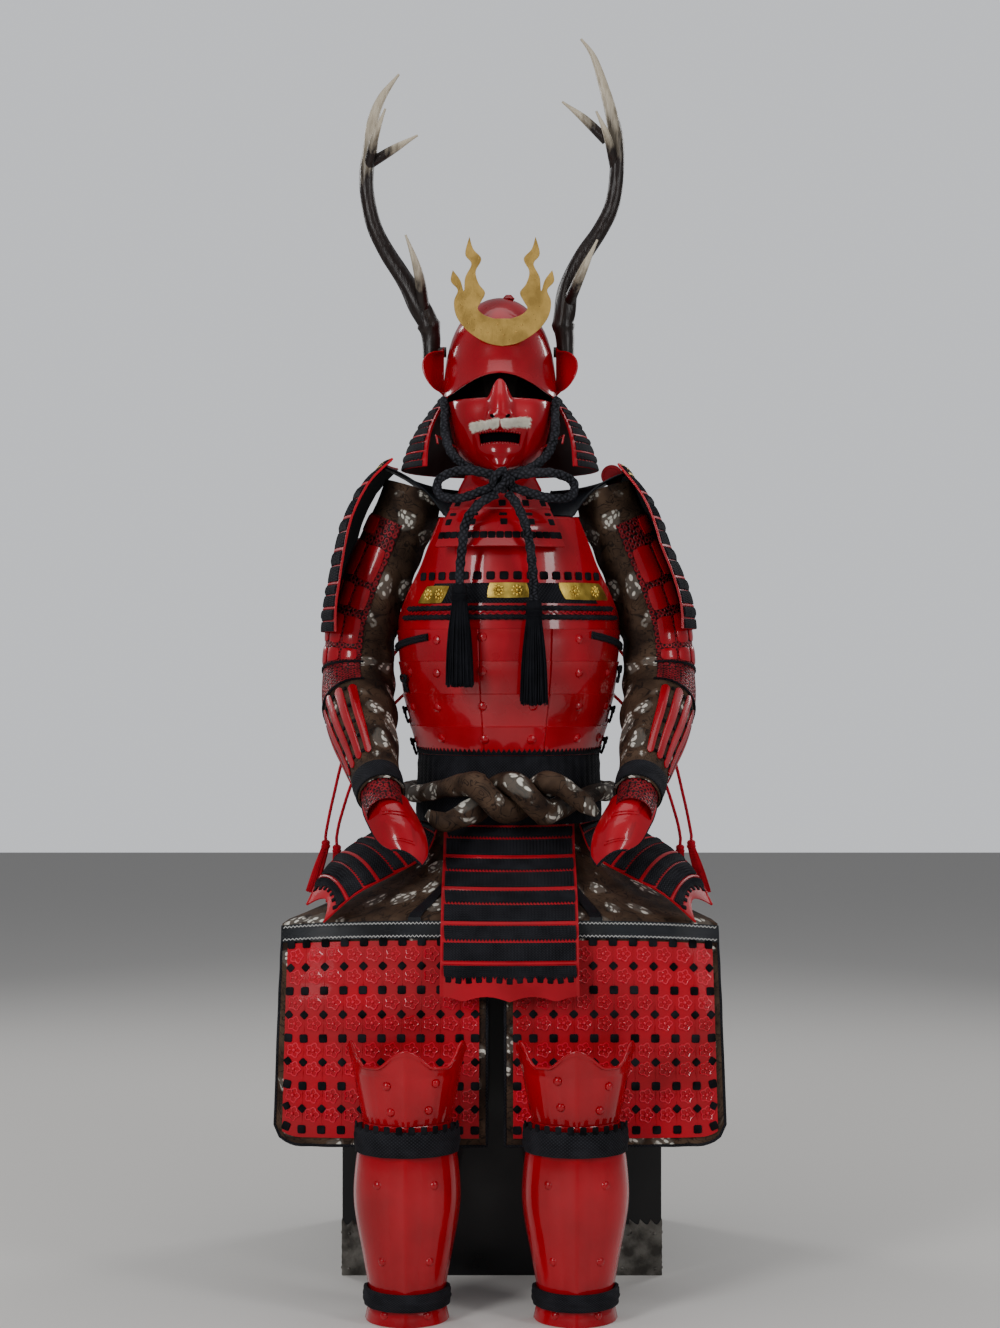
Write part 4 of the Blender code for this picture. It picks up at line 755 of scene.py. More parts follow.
def bowl_point(turn, place, inset=0.0):
    angle = 2 * pi * turn
    ring = reading(BOWL_RINGS, place)
    brow = max(0.0, cos(angle)) ** 3
    rim = BOWL_RIM_Z + BOWL_BROW * brow
    peak = 1 + 0.12 * brow * max(0.0, 1 - place * 6)
    return Vector((
        HEAD_X + (BOWL_HALF_WIDTH - inset) * ring.spread * sin(angle),
        -(BOWL_HALF_DEPTH - inset) * ring.spread * peak * cos(angle),
        rim + (BOWL_CROWN_Z - inset - rim) * ring.rise,
    ))


bowl_edit = bmesh.new()
island(bowl_edit, even(64), even(20), bowl_point, PLATE, flat=(0.6, 0.25))
rim_line = [bowl_point(step / 72, 0.0) for step in range(72)]
hose(bowl_edit, rim_line, round_size(0.0019), 8, closed=True)
for height, size in ((0.0020, 0.0085), (0.0045, 0.0062), (0.0065, 0.0042)):
    ring = [Vector((HEAD_X + 0.014 + size * cos(a), -0.020 + size * sin(a), BOWL_CROWN_Z - 0.004 + height))
            for a in [2 * pi * step / 16 for step in range(16)]]
    hose(bowl_edit, ring, round_size(0.0018), 6, closed=True)
dressed("bowl_shell", bowl_edit, RED, ("helmet_bowl",))
# A thin black sheet inside the bowl: painted shade in its hollow.
bowl_shade_edit = bmesh.new()
island(bowl_shade_edit, even(40), even(10, 0.03, 1.0), lambda u, v: bowl_point(u, v, 0.0012), 0.0008)
# Black cloth that paints shade into hollows: inside the bowl, behind the mouth and in the shoulder guards.
SHADE_BLACK = finish("painted_shade_black_cloth", (0.002, 0.002, 0.003), 0.95, gloss=0.05)[0]
dressed("bowl_painted_shade", bowl_shade_edit, SHADE_BLACK)
print("bowl faces:", PARTS[-2:])

# %% [markdown]
# The front crest is a cut sheet of gilded metal: a wide foot that curls up into two flames. Its outline is a
# smooth closed curve, given a thin body and a soft bevel.
# %% Front crest
CREST_FOOT_Z = 1.489
CREST_OUTLINE = (
    (0.000, 0.000), (0.022, 0.004), (0.042, 0.014), (0.062, 0.030), (0.075, 0.050), (0.078, 0.072),
    (0.072, 0.090), (0.083, 0.104), (0.080, 0.122), (0.068, 0.106), (0.062, 0.088), (0.060, 0.110),
    (0.050, 0.132), (0.060, 0.148), (0.053, 0.176), (0.047, 0.156), (0.034, 0.140), (0.043, 0.120),
    (0.038, 0.100), (0.028, 0.086), (0.034, 0.072), (0.040, 0.060), (0.030, 0.050), (0.014, 0.044),
)
CREST_THICKNESS = 0.0024
CREST_TIPS = (8, 14)


def crest_line():
    """The right half smoothly through its points, sharp at the flames' tips, then the left half."""
    right = []
    stops = [0, *CREST_TIPS, len(CREST_OUTLINE) - 1]
    for first, last in zip(stops, stops[1:]):
        run = smooth_route([(x, 0, z) for x, z in CREST_OUTLINE[first:last + 1]], 0.0035)
        right += [(point.x, point.z) for point in run[:-1]]
    right.append(CREST_OUTLINE[-1])
    return right + [(-x, z) for x, z in reversed(right[1:])]


crest_front = -(BOWL_HALF_DEPTH * 0.947 + PLATE) - CREST_THICKNESS - 2 * GAP
crest_edit = bmesh.new()
outline = [crest_edit.verts.new((HEAD_X + 0.004 + x, crest_front, CREST_FOOT_Z + z)) for x, z in crest_line()]
face = crest_edit.faces.new(outline)
grown = bmesh.ops.extrude_face_region(crest_edit, geom=[face])["geom"]
front_verts = [v for v in grown if isinstance(v, bmesh.types.BMVert)]
bmesh.ops.translate(crest_edit, vec=(0, CREST_THICKNESS, 0), verts=front_verts)
bmesh.ops.recalc_face_normals(crest_edit, faces=crest_edit.faces)
bmesh.ops.triangulate(crest_edit, faces=[f for f in crest_edit.faces if len(f.verts) > 4])
crest_edit.loops.layers.uv.verify()
for x, z in ((-0.024, 0.022), (0.022, 0.023), (-0.008, 0.036), (0.031, 0.034), (0.002, 0.018)):
    place = Matrix.Translation((HEAD_X + 0.004 + x, crest_front, CREST_FOOT_Z + z))
    spot = place @ Matrix.Rotation(pi / 2, 4, "X")
    stamp(crest_edit, RIVET, spot, 0.0016, 0.0016, 0.0012)
dressed("gilded_crest", crest_edit, GILT, ("front_crest",), rounded=0.0005)
print("crest outline points:", len(outline))

# %% [markdown]
# Real antler swells into a knobbly burr above its foot and carries long grooves. The tube round each beam
# is therefore not round: its radius waves with the turn and with the length, less towards the tip.
# %% Antlers
Beam = namedtuple("Beam", "x y z radius")
LEFT_BEAM = (
    Beam(-0.117, 0.004, 1.484, 0.0140), Beam(-0.117, 0.004, 1.515, 0.0160),
    Beam(-0.122, 0.002, 1.541, 0.0180), Beam(-0.137, 0.000, 1.571, 0.0150),
    Beam(-0.157, -0.002, 1.607, 0.0140), Beam(-0.187, -0.005, 1.652, 0.0130),
    Beam(-0.210, -0.010, 1.698, 0.0125), Beam(-0.221, -0.014, 1.747, 0.0120),
    Beam(-0.222, -0.018, 1.789, 0.0120), Beam(-0.217, -0.020, 1.818, 0.0120),
    Beam(-0.212, -0.020, 1.869, 0.0090), Beam(-0.197, -0.020, 1.909, 0.0065),
    Beam(-0.169, -0.020, 1.947, 0.0020),
)
LEFT_TINES = (
    (Beam(-0.217, -0.020, 1.800, 0.0085), Beam(-0.181, -0.022, 1.822, 0.0070),
     Beam(-0.138, -0.024, 1.846, 0.0018)),
    (Beam(-0.220, -0.018, 1.790, 0.0085), Beam(-0.208, -0.046, 1.835, 0.0065),
     Beam(-0.190, -0.050, 1.884, 0.0018)),
    (Beam(-0.128, -0.002, 1.556, 0.0100), Beam(-0.137, -0.040, 1.620, 0.0080),
     Beam(-0.157, -0.052, 1.678, 0.0018)),
)
RIGHT_BEAM = (
    Beam(0.105, 0.004, 1.484, 0.0140), Beam(0.104, 0.004, 1.515, 0.0160),
    Beam(0.101, 0.002, 1.541, 0.0180), Beam(0.105, 0.000, 1.560, 0.0150),
    Beam(0.111, -0.002, 1.602, 0.0140), Beam(0.130, -0.005, 1.646, 0.0130),
    Beam(0.162, -0.008, 1.693, 0.0125), Beam(0.181, -0.012, 1.732, 0.0120),
    Beam(0.189, -0.016, 1.779, 0.0120), Beam(0.189, -0.020, 1.830, 0.0120),
    Beam(0.182, -0.020, 1.870, 0.0100), Beam(0.172, -0.020, 1.912, 0.0080),
    Beam(0.151, -0.020, 1.975, 0.0055), Beam(0.130, -0.020, 2.005, 0.0020),
)
RIGHT_TINES = (
    (Beam(0.172, -0.020, 1.838, 0.0085), Beam(0.137, -0.022, 1.872, 0.0070),
     Beam(0.099, -0.024, 1.901, 0.0018)),
    (Beam(0.186, -0.016, 1.795, 0.0085), Beam(0.172, -0.046, 1.840, 0.0065),
     Beam(0.154, -0.050, 1.880, 0.0018)),
    (Beam(0.108, -0.002, 1.570, 0.0100), Beam(0.125, -0.040, 1.605, 0.0080),
     Beam(0.156, -0.052, 1.670, 0.0018)),
)
BURR_Z = 1.536


def horn(edit, rows, tip_from):
    points = smooth_route([row[:3] for row in rows], 0.0060)
    count = len(points) - 1

    def size(step, turn, along):
        row = reading(rows, min(1.0, step / count))
        rough = 0.055 * sin(5 * turn + 30 * along) + 0.035 * sin(9 * turn - 55 * along)
        burr = 0.0
        if len(rows) > 5:
            near = max(0.0, 1 - abs(points[min(step, count)].z - BURR_Z) / 0.007)
            burr = 0.22 * near * (1 + 0.5 * sin(7 * turn))
        return max(0.0010, row.radius * (1 + rough * (1 - 0.6 * step / count) + burr))
    hose(edit, points, size, 14, tip=lambda place: max(0.0, (place - tip_from) / (1 - tip_from)))


for side_name, beam, tines in (("left", LEFT_BEAM, LEFT_TINES), ("right", RIGHT_BEAM, RIGHT_TINES)):
    antler_edit = bmesh.new()
    horn(antler_edit, beam, 0.50)
    for tine in tines:
        horn(antler_edit, tine, 0.05)
    foot = beam[0]
    side = 1 if foot.x > 0 else -1
    inner_x = HEAD_X + side * (BOWL_HALF_WIDTH * 0.94 + PLATE)
    socket = [Vector((foot.x, foot.y, foot.z + 0.009)), Vector((inner_x, foot.y, foot.z + 0.009))]
    hose(antler_edit, socket, round_size(0.009), 10)
    dressed("stained_antler_" + side_name, antler_edit, ANTLER, ("antler_" + side_name,), smooth=70)

# %% [markdown]
# The turned-back ears beside the brow are small red leaves with a fine raised border.
# %% Ears
EAR_HEIGHT = 0.084
EAR_WIDTH = 0.044
EAR_Z = 1.458
for side_name, side in SIDES:
    def ear_place(u, v, side=side):
        half = sqrt(max(0.0, 1 - (2 * v - 1) ** 2))
        leaf = half * (0.62 + 0.38 * v)
        out = EAR_WIDTH * (0.10 + 0.90 * u * leaf) - 0.0060
        z = EAR_Z + EAR_HEIGHT * (v - 0.5) * (0.80 + 0.20 * (1 - u))
        return Vector((HEAD_X + side * (BOWL_HALF_WIDTH + PLATE + 3 * GAP + out),
                       -0.012 - 0.75 * out - 0.010 * u * u, z))
    ear_edit = bmesh.new()
    island(ear_edit, even(10), even(22), ear_place, PLATE, outside=FRONT)
    border = [ear_place(1.0, v) + FRONT * 0.001 for v in even(30)]
    hose(ear_edit, border, round_size(0.0014), 6)
    dressed("red_ear_" + side_name, ear_edit, RED, ("ear_" + side_name,))
print("helmet pieces:", len(PARTS))

# %% [markdown]
# Lames are narrow plates joined by lace. Seen from outside, each shows a red edge, a thick zigzag band of
# lace, a narrow red strip, and then the upright laces that run down to the next lame. The lace is modelled:
# a corrugated strip whose columns stand in turn high and low, cut to a zigzag at its foot.
# %% The laced lame maker
EDGE_SHARE = 0.10
BAND_SHARE = 0.43
STRIP_SHARE = 0.53
RIM_RISE = 0.0016


def lame_rows(lames):
    rows = []
    for lame in range(lames):
        for share in (0.012, 0.03, EDGE_SHARE - 0.02, EDGE_SHARE, BAND_SHARE + 0.04, STRIP_SHARE, 0.80,
                      0.985):
            rows.append((lame + share) / lames)
    rows[0], rows[-1] = 0.0, 1.0
    return rows


def laced(name, nodes, place, lames, columns, ribs, outside, flat, bare=1, reach=0.955, dots=13):
    """Red lames and their black lacing, as two pieces; the last lame is bare but for a row of dots."""
    red_edit = bmesh.new()
    across = [-1.0, -0.985, -0.965] + even(columns, -0.94, 0.94) + [0.965, 0.985, 1.0]

    def plate_relief(u, v):
        share = v * lames - min(lames - 1, floor(v * lames + 1e-6))
        rim = 0.0014 if abs(u) > 0.97 else 0.0
        edge = RIM_RISE if 0.012 < share < EDGE_SHARE - 0.01 else 0.0
        return max(rim, edge) - (0.0008 if share > 0.9 and v < 0.999 else 0.0)
    island(red_edit, across, lame_rows(lames), place, PLATE, outside=outside, relief=plate_relief, flat=flat)
    dressed(name, red_edit, FIELD_RED, nodes)
    lace_edit = bmesh.new()
    fine = even(2 * ribs, -reach, reach)
    for lame in range(lames):
        last = lame >= lames - bare
        for kind, top, foot in (("band", EDGE_SHARE + 0.01, BAND_SHARE), ("uprights", STRIP_SHARE, 0.985)):
            if last and kind == "uprights":
                continue
            foot_here = foot if not last else EDGE_SHARE + 0.26

            def strip_place(u, t, top=top, foot=foot_here, lame=lame, kind=kind):
                odd = round((u + reach) / (2 * reach) * 2 * ribs) % 2
                zigzag = 0.075 * odd * t if kind == "band" else 0.0
                slant = reach / (2 * ribs) * t if kind == "band" else 0.0
                return place(max(-1, min(1, u + slant)), (lame + top + (foot - top) * t + zigzag) / lames)

            def strip_relief(u, t, kind=kind):
                odd = round((u + reach) / (2 * reach) * 2 * ribs) % 2
                crown = 1 - (2 * t - 1) ** 4
                return (0.0018 if kind == "band" else 0.0006) * crown - 0.0016 * odd
            island(lace_edit, fine, even(4), strip_place, 0.0022, outside=outside, relief=strip_relief,
                   base=PLATE - 0.0004, flat=(flat[0], flat[1] / lames / 2))
        if last and dots:
            for u in even(dots - 1, -0.88, 0.88):
                spot = seat(place, u, (lame + 0.45) / lames, outside, PLATE)
                stamp(lace_edit, SQUARE, spot, 0.0092, 0.0088, 0.0068)
    dressed(name + "_lace", lace_edit, LACE, smooth=60)


print("lame shares:", EDGE_SHARE, BAND_SHARE, STRIP_SHARE)

# %% [markdown]
# The neck guard hangs from the bowl's rim in five such lames, each wider than the one above.
# %% Neck guard
Hoop = namedtuple("Hoop", "z half_width half_depth opening")
NECK_HOOPS = (Hoop(1.4130, 0.0960, 0.112, 62), Hoop(1.3900, 0.1140, 0.128, 58),
              Hoop(1.3620, 0.1340, 0.146, 54), Hoop(1.3300, 0.1500, 0.160, 50),
              Hoop(1.2960, 0.1600, 0.170, 47))


def neck_point(u, v):
    hoop = reading(NECK_HOOPS, v)
    angle = u * radians(180 - hoop.opening)
    return Vector((HEAD_X + hoop.half_width * sin(angle), 0.006 + hoop.half_depth * cos(angle), hoop.z))


laced("neck_lames", ("neck_guard",), neck_point, 5, 28, 62, BACK, (0.62, 0.15), bare=0, reach=0.975)
# The neck guard's inner face wears the darker red: painted shade.
neck_shade_edit = bmesh.new()
island(neck_shade_edit, even(32, -0.99, 0.99), even(10, 0.02, 0.98), neck_point, -0.0006, outside=BACK,
       base=-0.0002)
dressed("neck_guard_painted_shade", neck_shade_edit, SHADED_RED)

# %% [markdown]
# The half mask is a shell over chin, cheeks and nose, of a plain traditional kind with an open mouth. The
# mouth's edges carry small rounded teeth of the same lacquer, and a white moustache of hair lies on the lip.
# %% Half mask
Section = namedtuple("Section", "z half_width depth")
MASK_SECTIONS = (Section(1.286, 0.026, 0.136), Section(1.296, 0.046, 0.143), Section(1.312, 0.063, 0.146),
                 Section(1.330, 0.074, 0.146), Section(1.350, 0.081, 0.147), Section(1.372, 0.086, 0.147),
                 Section(1.393, 0.088, 0.143), Section(1.402, 0.088, 0.139))
MOUTH_ANGLE, MOUTH_LOW, MOUTH_HIGH = 25, 0.42, 0.58


def mask_point(angle, v):
    row = reading(MASK_SECTIONS, v)
    turn = radians(angle)
    nose = 0.022 * bump(angle, 0, 16) * bump(v, 0.79, 0.26)
    nose += 0.006 * bump(abs(angle), 9, 7) * bump(v, 0.715, 0.07)
    cheek = 0.006 * (bump(angle, -42, 24) + bump(angle, 42, 24)) * bump(v, 0.80, 0.35)
    lips = 0.004 * bump(angle, 0, 42) * (bump(v, 0.33, 0.13) + bump(v, 0.66, 0.12))
    chin = 0.007 * bump(angle, 0, 26) * bump(v, 0.10, 0.20)
    fold = 0.0022 * bump(abs(angle), 33, 5) * bump(v, 0.50, 0.30)
    rise = 0.030 * bump(angle, 0, 13) * max(0.0, (v - 0.8) / 0.2)
    back = 0.020 + 0.004 * rise / 0.030
    out = nose + cheek + lips + chin - fold
    droop = min(0.0035, 0.0035 * (angle / 25) ** 2) * bump(v, 0.50, 0.30)
    return Vector((HEAD_X + (row.half_width + out) * sin(turn), -back - (row.depth - 0.020 + out) * cos(turn),
                   row.z + rise - droop))


def in_mouth(angle, v):
    wide = MOUTH_ANGLE * sqrt(max(0.0, 1 - ((v - 0.5) / 0.11) ** 6))
    return abs(angle) < wide and MOUTH_LOW < v < MOUTH_HIGH


mask_edit = bmesh.new()
mask_angles = even(23, -68, -22) + even(22, -20, 20) + even(23, 22, 68)
mask_rows = even(14, 0, MOUTH_LOW) + even(7, MOUTH_LOW + 0.02, MOUTH_HIGH) + even(20, MOUTH_HIGH + 0.02, 1.0)
island(mask_edit, mask_angles, mask_rows, mask_point, PLATE, outside=FRONT, skip=in_mouth, flat=(0.25, 0.13))
for row, count, size in ((MOUTH_LOW + 0.01, 15, 0.0022), (MOUTH_HIGH - 0.01, 15, 0.0022)):
    for angle in even(count - 1, -MOUTH_ANGLE + 2.5, MOUTH_ANGLE - 2.5):
        tooth = seat(mask_point, angle, row, FRONT, 0.0004)
        stamp(mask_edit, RIVET, tooth, size, size * 1.3, 0.0030)
rim = [mask_point(angle, 1.0) + FRONT * 0.001 for angle in even(60, -68, 68)]
hose(mask_edit, rim, round_size(0.0016), 6)
for side in (-1, 1):
    hook = [mask_point(side * 62, 0.42), Vector((HEAD_X + side * 0.100, -0.096, 1.345)),
            Vector((HEAD_X + side * 0.102, -0.104, 1.344)), Vector((HEAD_X + side * 0.100, -0.113, 1.332))]
    hose(mask_edit, smooth_route(hook, 0.004), round_size(0.0016), 6)
dressed("half_mask", mask_edit, RED, ("face_mask",), smooth=50)

# A black sheet behind the open mouth and two dark ovals at the nostrils: painted shade in those hollows.
mouth_shade_edit = bmesh.new()
island(mouth_shade_edit, even(12, -30, 30), even(6, 0.34, 0.70), lambda a, v: mask_point(a, v) + BACK * 0.010, 0.001,
       outside=FRONT)
for side in (-1, 1):
    nostril = seat(mask_point, side * 6.5, 0.712, FRONT, 0.0010)
    stamp(mouth_shade_edit, RIVET, nostril @ Matrix.Rotation(side * 0.5, 4, "Z"), 0.0046, 0.0030, 0.0024)
dressed("mask_painted_shade", mouth_shade_edit, SHADE_BLACK)

fur_edit = bmesh.new()
for number in range(2300):
    angle = CHANCE.uniform(-29, 29)
    spot = seat(mask_point, angle, 0.655 + CHANCE.uniform(-0.030, 0.030) + 0.0008 * angle, FRONT, 0.0012)
    lean = (1 if angle > 0 else -1) * CHANCE.uniform(0.5, 1.25)
    aim = Matrix.Rotation(lean, 4, "Y") @ Matrix.Rotation(CHANCE.uniform(-0.5, 0.9), 4, "X")
    size = CHANCE.uniform(0.006, 0.0105)
    bmesh.ops.create_cone(fur_edit, cap_ends=True, segments=3, radius1=0.00065, radius2=0.00012, depth=size,
                          matrix=spot @ aim @ Matrix.Translation((0, 0, size * 0.42)))
fur_edit.loops.layers.uv.verify()
dressed("moustache", fur_edit, FUR, smooth=70)
print("mask pieces:", PARTS[-3:])

# %% [markdown]
# Under the chin hangs a small bib of red lames with square knots of black lace in rows.
# %% Throat guard
Bib = namedtuple("Bib", "z half_width set_back depth")
THROAT_HOOPS = (Bib(1.2834, 0.068, 0.070, 0.070), Bib(1.2450, 0.090, 0.072, 0.082),
                Bib(1.2050, 0.114, 0.078, 0.092), Bib(1.1630, 0.133, 0.082, 0.108))
THROAT_LAMES = 4


def throat_point(u, v):
    hoop = reading(THROAT_HOOPS, v)
    angle = u * radians(50)
    return Vector((HEAD_X + hoop.half_width * sin(angle), -hoop.set_back - hoop.depth * cos(angle), hoop.z))


def step_relief(lames, step):
    def relief(u, v):
        lame = max(0, floor(v * lames - 1e-6))
        return step * (v * lames - lame)
    return relief


THROAT_LAP = 0.07


def lame_steps(count):
    places = []
    for lame in range(count):
        places += even(3, (lame + (THROAT_LAP if lame else 0)) / count, (lame + 1) / count)
    return places


throat_edit = bmesh.new()
island(throat_edit, even(28, -1, 1), lame_steps(THROAT_LAMES), throat_point, PLATE, outside=FRONT,
       relief=step_relief(THROAT_LAMES, 0.002))
dressed("throat_lames", throat_edit, RED, ("throat_guard",), rounded=0.0004)
knots_edit = bmesh.new()
for row, places in ((0.34, (-0.55, -0.16, 0.2, 0.60)), (0.44, (-0.84, -0.42, 0.04, 0.48, 0.86)),
                    (0.69, (-0.88, -0.44, 0.06, 0.50, 0.88)), (0.585, (-0.85, -0.43, 0.05, 0.49, 0.87))):
    for u in places:
        spot = seat(throat_point, u, row, FRONT, PLATE + 0.0008)
        tall = 0.0040 if 0.5 < row < 0.6 else 0.0100
        stamp(knots_edit, SQUARE, spot, 0.0124, tall * 1.25, 0.0056)
for u in even(16, -0.94, 0.94):
    spot = seat(throat_point, u, 0.835, FRONT, PLATE + 0.0010)
    stamp(knots_edit, SQUARE, spot, 0.0122, 0.0122, 0.0058)
dressed("throat_knots", knots_edit, LACE)
print("throat knots:", PARTS[-1])

# %% [markdown]
# The helmet is tied on with one thick braided cord: down both cheeks, a bow under the chin, and two hanging
# ends with tassels. The tube is waved by two crossing sets of strands, so the braid has real relief.
# %% Chin cord, bow and free ends
CORD_RADIUS = 0.0072
CORE_IN_TASSEL = 0.022
KNOT = Vector((0.001, -0.186, 1.266))
CHIN_ROUTE = ((0.0920, -0.0608, 1.4080), (0.0887, -0.0825, 1.3860), (0.0885, -0.105, 1.350),
              (0.0770, -0.130, 1.315), (0.0520, -0.150, 1.292), (0.0280, -0.165, 1.282),
              (0.0119, -0.1755, 1.2760))
LEFT_LOOP = ((0.000, -0.188, 1.270), (-0.030, -0.191, 1.280), (-0.070, -0.180, 1.283),
             (-0.100, -0.162, 1.270), (-0.098, -0.164, 1.246), (-0.066, -0.182, 1.240),
             (-0.028, -0.191, 1.252), (0.000, -0.188, 1.262))
RIGHT_LOOP = ((0.002, -0.188, 1.270), (0.034, -0.191, 1.277), (0.078, -0.182, 1.280), (0.112, -0.162, 1.268),
              (0.110, -0.164, 1.245), (0.078, -0.183, 1.240), (0.034, -0.191, 1.251), (0.002, -0.188, 1.262))
LEFT_END = ((-0.0077, -0.1957, 1.2461), (-0.034, -0.199, 1.231), (-0.0560, -0.198, 1.203),
            (-0.0620, -0.195, 1.165), (-0.0655, -0.193, 1.135), (-0.0665, -0.190, 1.118),
            (-0.0665, -0.190, 1.106))
RIGHT_END = ((0.0092, -0.1951, 1.2474), (0.022, -0.199, 1.231), (0.0360, -0.200, 1.200),
             (0.0440, -0.199, 1.165), (0.0490, -0.194, 1.120), (0.0505, -0.190, 1.094),
             (0.0505, -0.190, 1.081))


def plait(radius, twist=330.0, depth=0.10):
    """A tube size waved by four strands that cross, as on a round braid."""
    def size(step, turn, along):
        around, advance = 2 * turn, twist / 2 * along
        wave = abs(sin(around + advance)) * abs(sin(around - advance))
        return radius * (1 - depth + 2 * depth * wave)
    return size


def braid_piece(name, route, radius, replaced=()):
    edit = bmesh.new()
    points = smooth_route(route, 0.0016)
    hose(edit, points, plait(radius), 16)
    return dressed(name, edit, CORD, replaced, smooth=75), points


for side_name, side in SIDES:
    braid_piece("chin_braid_" + side_name, [(HEAD_X + side * x, y, z) for x, y, z in CHIN_ROUTE], CORD_RADIUS,
                ("chin_cord_" + side_name,))
bow_edit = bmesh.new()
for loop in (LEFT_LOOP, RIGHT_LOOP):
    hose(bow_edit, smooth_route(loop, 0.0016), plait(CORD_RADIUS), 16)
for wrap in ([(-0.011, -0.192, 1.255), (-0.014, -0.203, 1.266), (-0.006, -0.204, 1.278),
              (0.006, -0.199, 1.283)],
             [(0.013, -0.192, 1.256), (0.014, -0.203, 1.268), (0.004, -0.207, 1.262),
              (-0.009, -0.201, 1.250)],
             [(-0.006, -0.182, 1.279), (0.006, -0.199, 1.276), (0.004, -0.205, 1.262),
              (0.002, -0.196, 1.250)]):
    hose(bow_edit, smooth_route(wrap, 0.0016), plait(CORD_RADIUS * 0.88), 16)
stamp(bow_edit, RIVET, Matrix.Translation(KNOT), 0.0125, 0.0120, 0.020)
dressed("chin_bow_braid", bow_edit, CORD, ("chin_bow",), smooth=75)


def tassel_piece(name, node, top, length, spread, strands, head_radius, head_length, material,
                 lean=(0, 0)):
    """A bound head over a skirt of fine threads, each a tapering strand with a slight wave."""
    top = Vector(top)
    edit = bmesh.new()
    profile = ((0.0, 0.40), (0.10, 0.80), (0.28, 1.0), (0.55, 0.95), (0.72, 0.80), (0.80, 0.92), (1.0, 0.98))
    spine = [top - Vector((0, 0, head_length * share)) for share, _ in profile]

    def head_size(step, turn, along):
        return head_radius * profile[min(step, 6)][1] * (1 + 0.05 * sin(9 * turn))
    hose(edit, spine, head_size, 18)
    for share in (0.70, 0.78, 0.86):
        ring = [top + Vector((head_radius * 0.98 * cos(a), head_radius * 0.98 * sin(a), -head_length * share))
                for a in [2 * pi * step / 14 for step in range(14)]]
        hose(edit, ring, round_size(head_radius * 0.10), 5, closed=True)
    for number in range(strands):
        angle = number * pi * (3 - sqrt(5))
        reach = sqrt((number + 0.5) / strands)
        heading = Vector((cos(angle), sin(angle), 0)) * reach
        root = top + heading * head_radius * 0.85 - Vector((0, 0, head_length * 0.8))
        foot = top + Vector((lean[0], lean[1], -length * (1 - 0.05 * CHANCE.random()))) + heading * spread
        stray = Vector((CHANCE.uniform(-1, 1), CHANCE.uniform(-1, 1), 0)) * 0.0012
        middle = root.lerp(foot, 0.5) + heading * spread * 0.10 + stray
        line = smooth_route([root, middle, foot], length / 6)
        thick = head_radius * 0.95 / sqrt(strands)
        hose(edit, line, lambda step, turn, along, thick=thick: thick * (1 + 0.5 * min(1.0, along / length)),
             4)
    return dressed(name, edit, material, (node,), smooth=70)


for side_name, route, tassel_length in (("left", LEFT_END, 0.164), ("right", RIGHT_END, 0.168)):
    fringe = tassel_piece("chin_tassel_" + side_name, "tassel_" + side_name, Vector(route[-1]) - UP * 4 * GAP,
                          tassel_length, 0.022, 150, 0.0125, 0.026, TASSEL)
    through = (*route[-1][:2], route[-1][2] - CORE_IN_TASSEL)
    end, points = braid_piece("chin_end_" + side_name, (*route, through), CORD_RADIUS,
                              ("cord_end_" + side_name,))
    tuple(points[0])
    length_of(points)
    [tuple(point) for point in points]
    print("hanging end", side_name, "length:", round(length_of(points), 3))

# %% [markdown]
# Many details sit at a place seen in the picture: a rivet, a knot, a splint's corner. Helpers turn such a
# place into a point of a surface, and cut small panels with rounded corners out of that surface.
# %% Helpers for panels, rivets and edges
def panel(edit, place, corners, thickness, outside, base=0.0, crown=0.0, corner=0.22, cells=(6, 8)):
    """A small plate on a surface between (u0, v0) and (u1, v1), its corners rounded and its face domed."""
    u0, v0, u1, v1 = corners

    def squircle(s, t):
        across, up = 2 * s - 1, 2 * t - 1
        wide = across * sqrt(1 - corner * up * up) / 2 + 0.5
        tall = up * sqrt(1 - corner * across * across) / 2 + 0.5
        return place(u0 + (u1 - u0) * wide, v0 + (v1 - v0) * tall)

    def dome(s, t):
        return crown * (1 - (2 * s - 1) ** 4) * (1 - (2 * t - 1) ** 4)
    island(edit, even(cells[0]), even(cells[1]), squircle, thickness, outside=outside, relief=dome, base=base,
           flat=((squircle(1, 0.5) - squircle(0, 0.5)).length, (squircle(0.5, 1) - squircle(0.5, 0)).length))


def rivets(edit, place, spots, outside, size=0.0030, lift=PLATE):
    """Domed rivet heads at places of the photograph."""
    for px, py in spots:
        u, v = aimed(place, px, py)
        spot = seat(place, u, v, outside, lift)
        stamp(edit, RIVET, spot, size, size, size * 0.8)


def line_on(place, stops, lift, outside, count=24):
    """Points just over a surface along a line through (u, v) stops."""
    line = []
    for first, last in zip(stops, stops[1:]):
        for t in even(count)[:-1]:
            u, v = first[0] + (last[0] - first[0]) * t, first[1] + (last[1] - first[1]) * t
            line.append(seat(place, u, v, outside, lift).translation.copy())
    line.append(seat(place, *stops[-1], outside, lift).translation.copy())
    return line


def cut_of(place, across, along):
    """Width, length and area of the flat cloth that would lie on a surface."""
    grid = [[place(u, v) for u in across] for v in along]
    widths = [length_of(row) for row in grid]
    lengths = [length_of(column) for column in zip(*grid)]
    area = 0.0
    for low, high in zip(grid, grid[1:]):
        for a, b, c, d in zip(low, low[1:], high[1:], high):
            area += ((b - a).cross(d - a).length + (b - c).cross(d - c).length) / 2
    return max(widths), max(lengths), area


